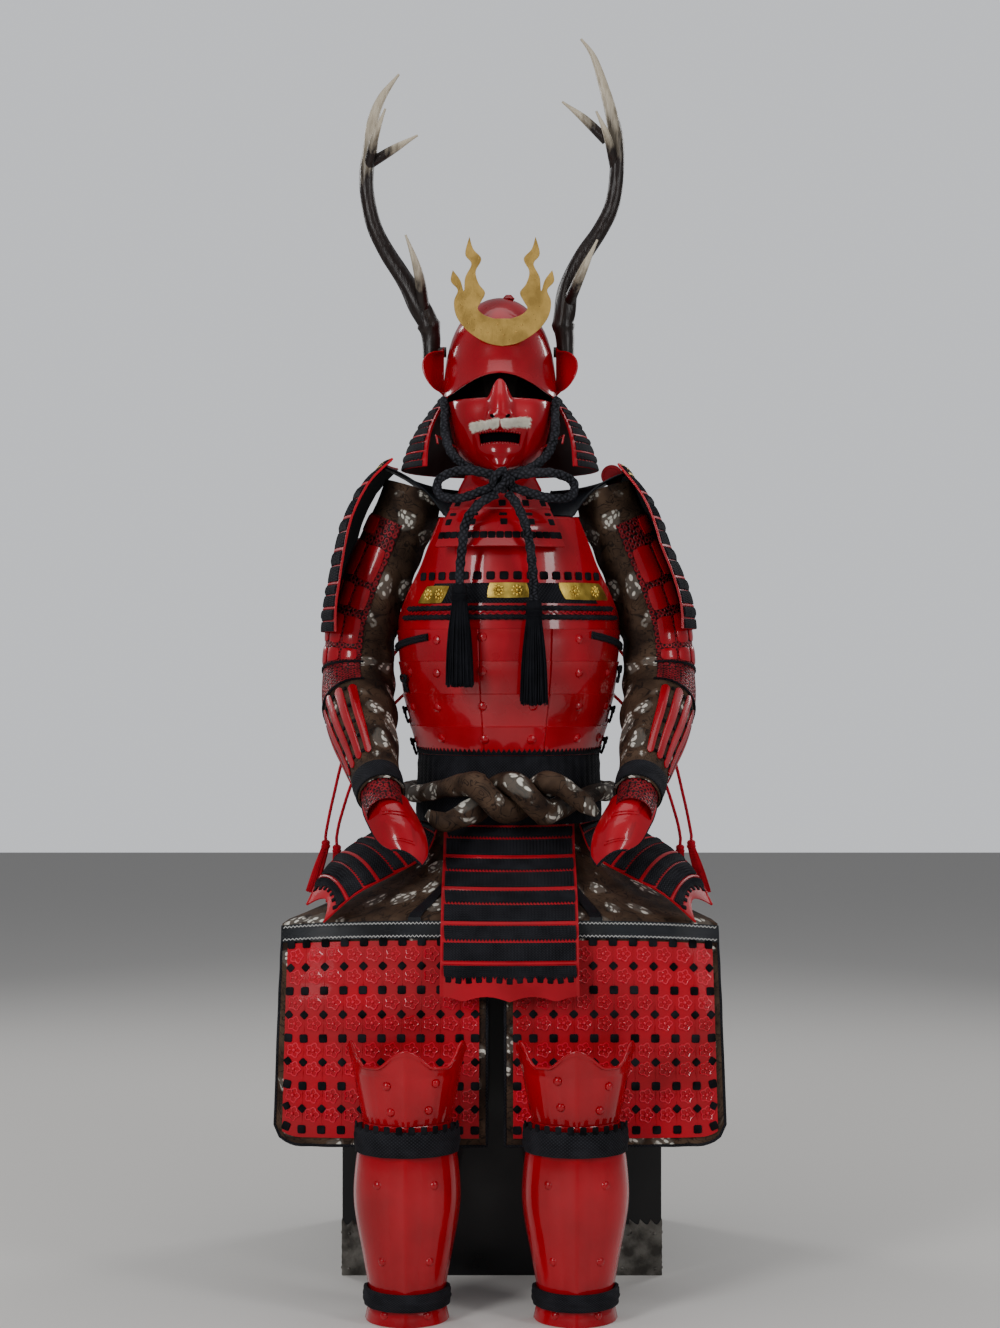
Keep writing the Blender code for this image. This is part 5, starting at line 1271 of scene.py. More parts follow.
# %% [markdown]
# The cuirass is riveted from plates that step over each other, with seams that catch the light. Across its
# chest run a row of lace knots, a ribbed band with three gilded plates, and two black cords with a zigzag.
# %% Cuirass, front
Plate = namedtuple("Plate", "z half_width depth armhole")
BREAST_PLATES = (
    Plate(0.8320, 0.1470, 0.140, 90),
    Plate(0.8790, 0.1590, 0.152, 90),
    Plate(0.9310, 0.1710, 0.161, 90),
    Plate(0.9830, 0.1780, 0.166, 90),
    Plate(1.0340, 0.1800, 0.167, 90),
    Plate(1.0820, 0.1760, 0.166, 72),
    Plate(1.1280, 0.1700, 0.161, 58),
    Plate(1.1700, 0.1640, 0.154, 51),
    Plate(1.2120, 0.1560, 0.142, 45),
)
BACK_PLATES = (
    Plate(0.8320, 0.1470, 0.110, 90),
    Plate(0.9310, 0.1710, 0.128, 90),
    Plate(1.0340, 0.1800, 0.138, 90),
    Plate(1.0900, 0.1760, 0.140, 70),
    Plate(1.1500, 0.1680, 0.138, 56),
    Plate(1.2240, 0.1600, 0.128, 50),
)
SEAMS = (1, 2, 3, 4)
SEAM_STEP = 0.0014


def cuirass_point(table, front):
    def place(u, v):
        row = reading(table, v)
        angle = u * radians(min(row.armhole, 90))
        across = row.half_width * sin(angle)
        forward = row.depth * cos(angle) + GAP / 2
        return Vector((BODY_X + across, -forward if front else forward, row.z))
    return place


def breast_relief(u, v):
    """Each lower plate stands out over the foot of the one above it."""
    section = v * (len(BREAST_PLATES) - 1)
    if section > SEAMS[-1] - 0.01:
        return 0.0
    return SEAM_STEP * min(1.0, (section % 1.0) / 0.9 if section % 1.0 < 0.99 else 0.0)


PLATE_SHARES = (0.0, 0.16, 0.33, 0.5, 0.66, 0.82, 0.985)


def plated_rows(sections):
    return [(section + share) / sections for section in range(sections) for share in PLATE_SHARES] + [1.0]


breast_place = cuirass_point(BREAST_PLATES, True)
back_place = cuirass_point(BACK_PLATES, False)
UPRIGHT_SEAMS = (-0.171, 0.241)


def breast_face(u, v):
    groove = sum(bump(u, seam, 0.006) for seam in UPRIGHT_SEAMS) * 0.0016 if v < 0.5 else 0.0
    section = v * (len(BREAST_PLATES) - 1)
    lip = 0.0014 * bump(section % 1.0, 0.95, 0.10) if section < SEAMS[-1] else 0.0
    return breast_relief(u, v) + lip - groove


breast_edit = bmesh.new()
beside_seams = [seam + shift for seam in UPRIGHT_SEAMS for shift in (-0.006, 0, 0.006)]
breast_across = sorted(even(56, -1, 1) + beside_seams)
island(breast_edit, breast_across, plated_rows(8), breast_place, PLATE, outside=FRONT, relief=breast_face,
       flat=(0.5, 0.4))
BREAST_RIVETS = ((438, 640), (483, 637), (578, 639), (438, 673), (483, 671), (578, 673), (439, 707),
                 (483, 706), (533, 706), (578, 706), (604, 706), (415, 707), (443, 738), (485, 739),
                 (531, 739), (576, 738), (597, 737), (531, 640), (531, 672), (606, 673), (412, 672))
rivets(breast_edit, breast_place, BREAST_RIVETS, FRONT, 0.0076, PLATE + 0.0012)
for side in (-1, 1):
    armhole = [breast_place(side * 0.997, v) for v in even(40, 0.46, 1.0)]
    hose(breast_edit, armhole, round_size(0.0026), 8)
hose(breast_edit, [breast_place(u, 0.998) for u in even(40, -1, 1)], round_size(0.0028), 8)
dressed("breast_shell", breast_edit, RED, ("breast_plate",), smooth=32)

back_edit = bmesh.new()
island(back_edit, even(40, -1, 1), plated_rows(8), back_place, PLATE, outside=BACK, relief=breast_face,
       flat=(0.5, 0.4))
for v in (0.07, 0.19, 0.31, 0.43, 0.60):
    for u in (-0.78, -0.47, -0.16, 0.16, 0.47, 0.78):
        spot = seat(back_place, u, v, BACK, PLATE + 0.0006)
        stamp(back_edit, RIVET, spot, 0.0034, 0.0034, 0.0027)
hose(back_edit, [back_place(u, 0.998) for u in even(40, -1, 1)], round_size(0.0028), 8)
dressed("back_shell", back_edit, RED, ("back_plate",), smooth=32)
print("cuirass:", PARTS[-2:])

# %% [markdown]
# The lace on the chest is modelled piece by piece, so that each knot and cord casts its own small shadow.
# %% Chest lacing and gilded plates
CHEST_U = [aimed(breast_place, px, 577, (-1, 1), (0.6, 1.0)) for px in (425, 595)]
chest_edit = bmesh.new()
for step in range(16):
    t = step / 15
    u = CHEST_U[0][0] + (CHEST_U[1][0] - CHEST_U[0][0]) * t
    v = CHEST_U[0][1] + (CHEST_U[1][1] - CHEST_U[0][1]) * t
    spot = seat(breast_place, u, v, FRONT, PLATE + 0.0012)
    stamp(chest_edit, SQUARE, spot, 0.0138, 0.0132, 0.0068)
BAND_HIGH = aimed(breast_place, 512, 583, (-0.2, 0.3), (0.5, 1.0))[1]
BAND_LOW = aimed(breast_place, 512, 603, (-0.2, 0.3), (0.5, 1.0))[1]
BAND_RIBS = 54


def ribbed(u, v):
    """Upright ribs with a groove between each two."""
    return -0.0011 * (round((u + 0.66) / 1.36 * 2 * BAND_RIBS) % 2)


island(chest_edit, even(2 * BAND_RIBS, -0.66, 0.70), even(6, BAND_LOW, BAND_HIGH), breast_place, 0.0024,
       outside=FRONT, relief=ribbed, base=PLATE - 0.0003, flat=(0.26, 0.03))
for py in (608, 617):
    v = aimed(breast_place, 512, py, (-0.2, 0.3), (0.5, 1.0))[1]
    hose(chest_edit, line_on(breast_place, ((-0.80, v), (0.84, v)), PLATE + 0.0026, FRONT, 200),
         plait(0.0042, 520.0, depth=0.20), 10)
for low, high in (((400, 648), (430, 637)), ((590, 635), (618, 647))):
    stops = [aimed(breast_place, *low), aimed(breast_place, *high)]
    for shift in (-0.006, 0.006):
        line = line_on(breast_place, [(u, v + shift) for u, v in stops], PLATE + 0.0032, FRONT, 24)
        hose(chest_edit, line, plait(0.0036, 700.0), 10)
dressed("chest_lacing", chest_edit, LACE, smooth=60)

zigzag_edit = bmesh.new()
z_low = aimed(breast_place, 512, 614, (-0.2, 0.3), (0.5, 1.0))[1]
z_high = aimed(breast_place, 512, 611, (-0.2, 0.3), (0.5, 1.0))[1]
stops = [(u, z_low if step % 2 else z_high) for step, u in enumerate(even(72, -0.78, 0.82))]
hose(zigzag_edit, line_on(breast_place, stops, PLATE + 0.0034, FRONT, 2), round_size(0.0009), 5)
dressed("chest_zigzag", zigzag_edit, SILK, smooth=60)


def rosette(edit):
    """A small flower of round petals about a domed boss, one unit wide."""
    bmesh.ops.create_uvsphere(edit, u_segments=10, v_segments=6, radius=0.22,
                              matrix=Matrix.Diagonal((1, 1, 0.9, 1)))
    for petal in range(8):
        turn = Matrix.Rotation(petal * pi / 4, 4, "Z") @ Matrix.Translation((0.34, 0, 0))
        bmesh.ops.create_uvsphere(edit, u_segments=8, v_segments=5, radius=0.15,
                                  matrix=turn @ Matrix.Diagonal((1.1, 0.9, 0.6, 1)))


ROSETTE = template("rosette", rosette)
gold_edit = bmesh.new()
for left, top, right, foot in ((420, 586, 452, 604), (487, 583, 527, 598), (563, 584, 597, 600)):
    u0, v0 = aimed(breast_place, left, foot)
    u1, v1 = aimed(breast_place, right, top)
    panel(gold_edit, breast_place, (u0, v0, u1, v1), 0.0014, FRONT, base=PLATE + 0.0022, crown=0.0006,
          corner=0.10)
    for share in (0.27, 0.73):
        spot = seat(breast_place, u0 + (u1 - u0) * share, (v0 + v1) / 2, FRONT, PLATE + 0.0042)
        stamp(gold_edit, ROSETTE, spot, 0.0205, 0.0205, 0.0190)
dressed("gilded_chest_plates", gold_edit, ENGRAVED)

ties_edit = bmesh.new()
for side, rows in ((-1, ((407, 677), (409, 708), (411, 741))), (1, ((616, 668), (615, 709), (612, 741)))):
    for px, py in rows:
        u, v = aimed(breast_place, px, py)
        spot = seat(breast_place, u * 0.97, v, Vector((side * 0.6, -1, 0)), PLATE + 0.003)
        stamp(ties_edit, SQUARE, spot, 0.009, 0.008, 0.012)
        for lean in (-1, 1):
            loop = [spot @ Vector(point) for point in ((0, 0, 0), (lean * 0.008, 0.004, 0.003),
                                                      (lean * 0.013, -0.001, 0.003),
                                                      (lean * 0.007, -0.006, 0.003),
                                                      (0, -0.001, 0))]
            hose(ties_edit, smooth_route(loop, 0.0012), plait(0.0021, 900.0), 8)
            tail = [spot @ Vector(point) for point in ((0, 0, 0.001), (lean * 0.004, -0.012, 0.002),
                                                      (lean * 0.006, -0.024, 0.0005))]
            hose(ties_edit, smooth_route(tail, 0.0012), plait(0.0021, 900.0), 8)
dressed("side_ties", ties_edit, LACE, smooth=60)
print("chest pieces:", PARTS[-4:])

# %% [markdown]
# Black pleated lacing joins the cuirass to the tassets, with a pointed edge laid up over the cuirass' foot.
# %% Waist lacing
Waist = namedtuple("Waist", "z half_width front back")
WAIST_RINGS = (
    Waist(0.8306, 0.1460, 0.139, 0.109),
    Waist(0.7220, 0.1500, 0.160, 0.130),
)
PLEATS = 30
PLEAT_DEPTH = 0.0022
LACING = 0.0022


def waist_point(turn, v):
    """A point of the waist's ring, its turn from 0 to 1 starting in front and going to the right."""
    ring = reading(WAIST_RINGS, v)
    angle = 2 * pi * turn
    depth = ring.front if cos(angle) > 0 else ring.back
    return Vector((BODY_X + ring.half_width * sin(angle), -depth * cos(angle), ring.z))


def pleats(u, v):
    return PLEAT_DEPTH * abs(cos(u * pi * 2 * PLEATS)) * (0.75 + 0.25 * sin(40 * v))


waist_edit = bmesh.new()
island(waist_edit, even(8 * PLEATS), even(10), waist_point, LACING, relief=pleats, flat=(0.95, 0.11))


def foot_point(surface):
    def place(u, t):
        point = abs((u * 29) % 1.0 - 0.5) * 2
        return surface(u, 0.004 + 0.036 * t * (0.45 + 0.55 * point))
    return place


for surface, outside in ((breast_place, FRONT), (back_place, BACK)):
    island(waist_edit, even(58 * 2, -1, 1), even(4), foot_point(surface), 0.0016, outside=outside, base=PLATE)
dressed("waist_pleats", waist_edit, LACE, ("waist_lacing",), smooth=60)

# %% [markdown]
# The six tassets repeat the lame, each with its own surface: one over the lap, two on the thighs with eared
# feet, and three that hang behind the seat.
# %% Tassets
TASSET_LAMES = 5
TASSET_TOP_Z = WAIST_RINGS[-1].z - PLATE - GAP
Apron = namedtuple("Apron", "y z half_width bow")
FRONT_TASSET = (
    Apron(-0.160, TASSET_TOP_Z, 0.103, 0.040),
    Apron(-0.215, 0.676, 0.103, 0.030),
    Apron(-0.285, 0.632, 0.104, 0.022),
    Apron(-0.346, 0.586, 0.104, 0.010),
    Apron(-0.374, 0.530, 0.104, 0.008),
    Apron(-0.380, 0.478, 0.105, 0.008),
)
Edges = namedtuple("Edges", "inner_x inner_y inner_z outer_x outer_y outer_z")
LAP_TASSET = (
    Edges(-0.112, -0.117, TASSET_TOP_Z, -0.158, -0.030, TASSET_TOP_Z),
    Edges(-0.131, -0.214, 0.678, -0.206, -0.080, 0.706),
    Edges(-0.177, -0.262, 0.652, -0.246, -0.135, 0.690),
    Edges(-0.233, -0.315, 0.626, -0.286, -0.198, 0.656),
    Edges(-0.281, -0.352, 0.586, -0.313, -0.262, 0.604),
)
LAP_CROWN = 0.012
EAR_NOTCH = 0.024
Hang = namedtuple("Hang", "heading half_angle reach drop")
HANGING_TASSETS = {
    "tasset_side_left": Hang(-110, 26, 0.150, 0.135),
    "tasset_side_right": Hang(110, 26, 0.150, 0.135),
    "tasset_back": Hang(180, 36, 0.150, 0.125),
}


def front_tasset_place(u, v):
    row = reading(FRONT_TASSET, v)
    scallop = 0.008 * (1 - abs(sin(1.5 * pi * u))) * max(0.0, v * 6 - 5)
    return Vector((BODY_X + row.half_width * u, row.y + row.bow * u * u, row.z - scallop))


def lap_tasset_place(side):
    def place(u, v):
        row = reading(LAP_TASSET, v)
        point = Vector(row[:3]).lerp(Vector(row[3:]), (u + 1) / 2)
        point.z += LAP_CROWN * (1 - u * u) * min(1.0, 4 * v)
        notch = EAR_NOTCH * (1 - u * u) * max(0.0, v * 5 - 4)
        point += Vector((0.7, 0.6, 0.35)) * notch
        return Vector((BODY_X - side * point.x, point.y, point.z))
    return place


def hanging_tasset_place(hang):
    def place(u, v):
        aim = radians(hang.heading + u * hang.half_angle * 0.6)
        top = waist_point((hang.heading + u * hang.half_angle) / 360, 1.0)
        notch = EAR_NOTCH * (1 - u * u) * max(0.0, v * 5 - 4)
        reach = hang.reach * sin(v * pi / 2)
        drop = hang.drop * (0.8 * (1 - cos(v * pi / 2)) + 0.2 * v) - notch * 0.5
        return Vector((top.x + sin(aim) * reach, top.y - cos(aim) * reach, TASSET_TOP_Z - drop))
    return place


laced("front_tasset_lames", ("tasset_front",), front_tasset_place, TASSET_LAMES, 24, 38, FRONT, (0.21, 0.34))
for side_name, side in (("left", 1), ("right", -1)):
    laced("lap_tasset_lames_" + side_name, ("tasset_lap_" + side_name,), lap_tasset_place(side),
          TASSET_LAMES, 14, 20, UP,
          (0.11, 0.26), dots=7)
for node, hang in HANGING_TASSETS.items():
    heading = radians(hang.heading)
    laced(node.replace("tasset", "hanging_tasset") + "_lames", (node,), hanging_tasset_place(hang),
          TASSET_LAMES, 14, 28,
          Vector((sin(heading), -cos(heading), 1)), (0.20, 0.22), dots=9)
print("tassets:", len(PARTS))

# %% [markdown]
# The belt is one padded brocade rope on each side, twisted together in front. Its cloth is slack, so the
# ropes carry slanting folds that follow the twist.
# %% Belt
ROPE_RADIUS = 0.0145
TWIST_RADIUS = 0.0200
TWIST_START_X = -0.050
TWIST_END_X = 0.074
TWIST_Y = -0.203
TWIST_Z = 0.768
TWIST_TURNS = 1.0
TWIST_SLACK = 0.0018
TWIST_BACK_Y = -0.150
ROPE_LIFT = LACING + PLEAT_DEPTH + ROPE_RADIUS + 4 * GAP
LEFT_TAIL = ((0.094, -0.206, 0.785), (0.122, -0.206, 0.764), (0.150, -0.206, 0.742))
RIGHT_TAIL = ((-0.068, -0.206, 0.737), (-0.092, -0.210, 0.730), (-0.118, -0.212, 0.744))


def rope_round(side, first, last, steps):
    """The run of a rope on the lacing, by its turn round the waist from the back to the front."""
    route = []
    for step in range(steps + 1):
        turn = side * (first + (last - first) * step / steps)
        point = waist_point(turn, 0.55)
        middle = Vector((BODY_X, 0, point.z))
        out = (point - middle).normalized()
        route.append(point + out * ROPE_LIFT)
    return route


def rope_twist(phase):
    route = []
    for step in range(13):
        t = step / 12
        angle = phase + 2 * pi * TWIST_TURNS * t
        reach = TWIST_RADIUS + TWIST_SLACK
        route.append(Vector((
            TWIST_START_X + (TWIST_END_X - TWIST_START_X) * t,
            TWIST_Y + reach * cos(angle),
            TWIST_Z + reach * sin(angle),
        )))
    return route


def rope_radius(point):
    """The rope is padded most where it is twisted in front, and thinner round the sides and at its tails."""
    from_middle = abs(point.x - (TWIST_START_X + TWIST_END_X) / 2)
    fullness = max(0.0, min(1.0, 2.2 - from_middle / 0.050)) if point.y < TWIST_BACK_Y else 0.0
    return ROPE_RADIUS + (TWIST_RADIUS - ROPE_RADIUS) * fullness


def padded_folds(points, phase):
    """The rope's size at each place, with slanting folds and small dents."""
    def size(step, turn, along):
        base = rope_radius(points[min(step, len(points) - 1)])
        slant = sin(2 * turn - 95 * along + phase) + 0.6 * sin(3 * turn + 61 * along + 2 * phase)
        dent = 0.5 * sin(5 * turn + 160 * along) * sin(47 * along + phase)
        closing = min(1.0, 0.45 + (step / 5) * 0.55, 0.45 + ((len(points) - 1 - step) / 5) * 0.55)
        return base * (1 + 0.038 * slant + 0.022 * dent) * closing
    return size


belt_left = rope_round(-1, 0.49, 0.16, 9) + rope_twist(pi / 2) + [Vector(point) for point in LEFT_TAIL]
belt_right = rope_round(1, 0.49, 0.15, 9) + rope_twist(-pi / 2)[::-1]
belt_right += [Vector(point) for point in RIGHT_TAIL]
for side_name, route, phase in (("left", belt_left, 0.4), ("right", belt_right, 2.1)):
    belt_edit = bmesh.new()
    points = smooth_route(route, 0.0045)
    hose(belt_edit, points, padded_folds(points, phase), 32)
    rope = dressed("padded_belt_" + side_name, belt_edit, BROCADE, ("belt_rope_" + side_name,),
                   smooth=80)
    print("belt rope", side_name, "length:", round(length_of(points), 3))

# %% [markdown]
# A sleeve is a brocade tube with folds at the bend of the arm. Mail, small domed splints and long splints
# are sewn on its outer side, and it closes with a black band at the wrist.
# %% Sleeves and their armour
Ring = namedtuple("Ring", "out y z half_width half_depth")
SLEEVE_RINGS = (
    Ring(0.1560, 0.000, 1.2660, 0.048, 0.058),
    Ring(0.1680, 0.000, 1.2300, 0.050, 0.060),
    Ring(0.1930, 0.000, 1.1750, 0.050, 0.058),
    Ring(0.2240, 0.004, 1.1000, 0.052, 0.056),
    Ring(0.2430, 0.006, 1.0350, 0.053, 0.058),
    Ring(0.2480, 0.004, 0.9700, 0.055, 0.062),
    Ring(0.2470, -0.024, 0.9150, 0.056, 0.060),
    Ring(0.2350, -0.090, 0.8700, 0.050, 0.054),
    Ring(0.2200, -0.155, 0.8300, 0.042, 0.045),
    Ring(0.2080, -0.212, 0.7960, 0.036, 0.037),
    Ring(0.1990, -0.245, 0.7740, 0.034, 0.034),
)
LEFT_SLEEVE_RISE = 0.0011


def sleeve_point(side):
    """Points of a sleeve, u a turn from 0 to 1 that starts outward and goes over the front."""
    def place(u, v):
        row = reading(SLEEVE_RINGS, v)
        before = reading(SLEEVE_RINGS, max(0.0, v - 0.02))
        after = reading(SLEEVE_RINGS, min(1.0, v + 0.02))
        seated = LEFT_SLEEVE_RISE * max(0.0, 1 - 15 * v) if side < 0 else 0.0
        centre = Vector((BODY_X + side * row.out, row.y, row.z + seated))
        run = Vector((side * (after.out - before.out), after.y - before.y, after.z - before.z)).normalized()
        outward = Vector((side, 0, 0))
        outward = (outward - run * outward.dot(run)).normalized()
        front = outward.cross(run) * -side
        angle = 2 * pi * u
        return centre + outward * row.half_width * cos(angle) + front * row.half_depth * sin(angle)
    return place


def sleeve_outward(side):
    place = sleeve_point(side)

    def outward(u, v):
        return place(u, v) - place(u + 0.5, v)
    return outward


def lifted(place, distance, outside):
    """The same surface moved out along its own normal, on the side that outside points to."""
    def moved(u, v):
        step = 1e-3
        run = Vector(place(u + step, v)) - Vector(place(u - step, v))
        rise = Vector(place(u, v + step)) - Vector(place(u, v - step))
        normal = run.cross(rise).normalized()
        if normal.dot(outside(u, v)) < 0:
            normal = -normal
        return Vector(place(u, v)) + normal * distance
    return moved


def sleeve_crease(u, v):
    """Deep folds inside the elbow and a slight waviness over the rest of the cloth."""
    inside = max(0.0, cos(2 * pi * (u - 0.62)))
    creases = [bump(v, fold + 0.03 * sin(9 * u), 0.045) for fold in (0.24, 0.31, 0.40, 0.49, 0.58, 0.67)]
    folds = 0.0055 * inside * sum(creases)
    free = 1 - bump(u, 0.10, 0.34) if u < 0.5 else 1 - bump(u - 1, 0.10, 0.34)
    waves = 0.0034 * free * sin(38 * v + 4 * sin(2 * pi * u)) * sin(2 * pi * u * 3 + 11 * v)
    return folds + waves


for side_name, side in SIDES:
    surface = sleeve_point(side)
    sleeve_edit = bmesh.new()
    cloth_across, cloth_along = even(72), even(110)
    island(sleeve_edit, cloth_across, cloth_along, surface, CLOTH, relief=sleeve_crease, flat=(0.34, 0.66))
    sleeve = dressed("brocade_sleeve_" + side_name, sleeve_edit, BROCADE,
                     ("sleeve_" + side_name,), smooth=70)
    width, length, area = cut_of(surface, even(48), even(60))
    print("sleeve", side_name, "cut:", round(width, 3), round(length, 3), "area:", round(area, 4))

    over = lifted(surface, CLOTH + 2 * GAP, sleeve_outward(side))
    facing = Vector((side, -1, 0.3))
    mail_edit = bmesh.new()
    for low, high in ((0.150, 0.500), (0.505, 0.615)):
        island(mail_edit, even(26, -0.10, 0.27), even(20, low, high), over, 0.0010, outside=facing,
               flat=(0.13, 0.66 * (high - low)))
    dressed("sleeve_mail_" + side_name, mail_edit, MAIL)

    splint_edit = bmesh.new()
    spots = ((0.155, 0.197, 1), (0.215, 0.285, 3), (0.298, 0.352, 4), (0.372, 0.436, 4), (0.448, 0.496, 4))
    for low, high, count in spots:
        first, last = (0.02, 0.16) if count == 1 else (-0.085, 0.255)
        for number in range(count):
            u0 = first + (last - first) * (number + 0.07) / count
            u1 = first + (last - first) * (number + 0.93) / count
            panel(splint_edit, over, (u0, low, u1, high), 0.0016, facing, base=0.0010, crown=0.0016,
                  corner=0.20)
    dressed("upper_arm_splints_" + side_name, splint_edit, RED,
            ("upper_arm_guard_" + side_name,))

    fore_edit = bmesh.new()
    marks_edit = bmesh.new()
    for number in range(5):
        u0 = -0.083 + 0.333 * (number + 0.17) / 5
        u1 = -0.083 + 0.333 * (number + 0.83) / 5
        top = 0.620 + 0.010 * abs(number - 2)
        foot = 0.880 - 0.006 * abs(number - 2)
        panel(fore_edit, over, (u0, top, u1, foot), 0.0018, facing, crown=0.0017, corner=0.16, cells=(8, 26))
        for v in (0.645, 0.70, 0.75, 0.80, 0.855):
            if number < 4:
                u = u1 + 0.333 * 0.17 / 5
                spot = seat(over, u, v, facing, 0.0012)
                stamp(marks_edit, SQUARE, spot, 0.0052, 0.0075, 0.0045)
    dressed("forearm_splints_" + side_name, fore_edit, RED, ("forearm_guard_" + side_name,))
    for low, high, base in ((0.905, 0.985, 0.0), (0.502, 0.512, 0.0008), (0.612, 0.620, 0.0)):
        wraps = 40
        island(marks_edit, even(2 * wraps) if low > 0.9 else even(2 * wraps, -0.11, 0.28),
               even(6, low, high), over, 0.0020, outside=None if low > 0.9 else facing, base=base,
               relief=lambda u, v, low=low: 0.0008 * abs(sin(90 * (v - low) * 6)), flat=(0.3, 0.05))
    dressed("sleeve_lace_" + side_name, marks_edit, LACE, smooth=60)

    def cuff_place(u, v, surface=surface, side=side):
        wrist = (surface(u, 0.97) + surface(u + 0.5, 0.97)) / 2
        rim = wrist + (surface(u, 0.97) - wrist) * (0.92 - 0.10 * v)
        return rim + Vector((-side * 0.010, -0.046, -0.030)) * v
    cuff_edit = bmesh.new()
    island(cuff_edit, even(40), even(12), cuff_place, 0.0010, flat=(0.20, 0.05))
    dressed("mail_cuff_" + side_name, cuff_edit, MAIL)
print("arms:", len(PARTS))

# %% [markdown]
# Each hand guard is a domed plate with two embossed squares and a black piped edge.
# %% Hand guards
Hand = namedtuple("Hand", "out y z half_width crown")
HAND_ROWS = (
    Hand(0.1950, -0.2614, 0.7850, 0.036, 0.030),
    Hand(0.1850, -0.288, 0.7640, 0.044, 0.034),
    Hand(0.1720, -0.310, 0.7380, 0.046, 0.032),
    Hand(0.1620, -0.326, 0.7080, 0.040, 0.024),
    Hand(0.1560, -0.334, 0.6900, 0.024, 0.014),
)

for side_name, side in SIDES:
    def hand_place(u, v, side=side):
        row = reading(HAND_ROWS, v)
        fall = row.crown * u * u
        out = row.out + row.half_width * u * 0.92
        return Vector((BODY_X + side * out, row.y + 0.70 * fall, row.z - 0.55 * fall + 0.012 * u * v))
    raised = Vector((0, -1, 0.6))
    hand_edit = bmesh.new()
    island(hand_edit, even(28, -1, 1), even(28), hand_place, PLATE, outside=raised,
           relief=lambda u, v: 0.0012 * bump(v, 0.06, 0.05) + 0.0006 * bump(abs(u), 0.93, 0.06),
           flat=(0.09, 0.13))
    for low, high in ((0.15, 0.42), (0.50, 0.76)):
        for inset, rise in ((0.0, 0.0022), (0.10, 0.0044)):
            depth = (high - low) * inset
            square = (-0.46 + inset * 0.9, low + depth, 0.46 - inset * 0.9, high - depth)
            panel(hand_edit, hand_place, square, rise, raised,
                  base=PLATE - 0.0003, crown=0.0005, corner=0.05, cells=(10, 10))
        for turn in range(4):
            u = 0.18 * cos(turn * pi / 2 + pi / 4)
            v = (low + high) / 2 + 0.055 * sin(turn * pi / 2 + pi / 4)
            spot = seat(hand_place, u, v, raised, PLATE + 0.0018)
            stamp(hand_edit, RIVET, spot, 0.0040, 0.0040, 0.0026)
    dressed("red_hand_guard_" + side_name, hand_edit, RED, ("hand_guard_" + side_name,))
    piping_edit = bmesh.new()
    edge = [hand_place(-1, v) for v in even(24)] + [hand_place(u, 1) for u in even(16, -1, 1)[1:]]
    edge += [hand_place(1, v) for v in even(24, 1, 0)[1:]]
    hose(piping_edit, [point + Vector((0, -0.0008, 0.0004)) for point in edge], plait(0.0021, 900.0), 8)
    dressed("hand_guard_piping_" + side_name, piping_edit, LACE, smooth=70)

# %% [markdown]
# The shoulder guards are the same laced lames on a larger scale, six to a side, with a gilded plate along
# the top lame. The straps under them are padded leather, and a round red plate stands on the right one.
# %% Shoulder guards and straps
Guard = namedtuple("Guard", "z out half_length")
LEFT_GUARD = (
    Guard(1.3080, 0.2010, 0.105),
    Guard(1.2700, 0.2400, 0.120),
    Guard(1.2170, 0.2690, 0.128),
    Guard(1.1650, 0.2840, 0.132),
    Guard(1.1100, 0.2950, 0.134),
    Guard(1.0700, 0.3030, 0.134),
    Guard(1.0300, 0.3060, 0.134),
)
RIGHT_GUARD = (
    Guard(1.3000, 0.1890, 0.105),
    Guard(1.2550, 0.2260, 0.120),
    Guard(1.2150, 0.2480, 0.128),
    Guard(1.1700, 0.2640, 0.132),
    Guard(1.1200, 0.2860, 0.134),
    Guard(1.0750, 0.3010, 0.134),
    Guard(1.0350, 0.3060, 0.134),
)
GUARD_LAMES = 6
GUARD_BOW = 0.030


def guard_place(side, table):
    def place(u, v):
        row = reading(table, v)
        bow = GUARD_BOW * u * u * (0.5 + 0.5 * v)
        return Vector((BODY_X + side * (row.out - bow), 0.004 + row.half_length * u, row.z))
    return place


Strap = namedtuple("Strap", "y z inner outer wing")
STRAPS = (
    Strap(0.1010, 1.2250, 0.062, 0.104, 0.00),
    Strap(0.0650, 1.2460, 0.066, 0.104, 0.55),
    Strap(0.0200, 1.2600, 0.070, 0.100, 1.00),
    Strap(-0.0250, 1.2560, 0.070, 0.100, 0.90),
    Strap(-0.0750, 1.2360, 0.066, 0.104, 0.30),
    Strap(-0.1120, 1.2135, 0.062, 0.102, 0.00),
)
STRAP_THICKNESS = 0.004
WING_REACH = 0.05
WING_CLEARANCE = {"left": 0.0062, "right": 0.0050}
STANDING_PLATE_RADIUS = 0.018

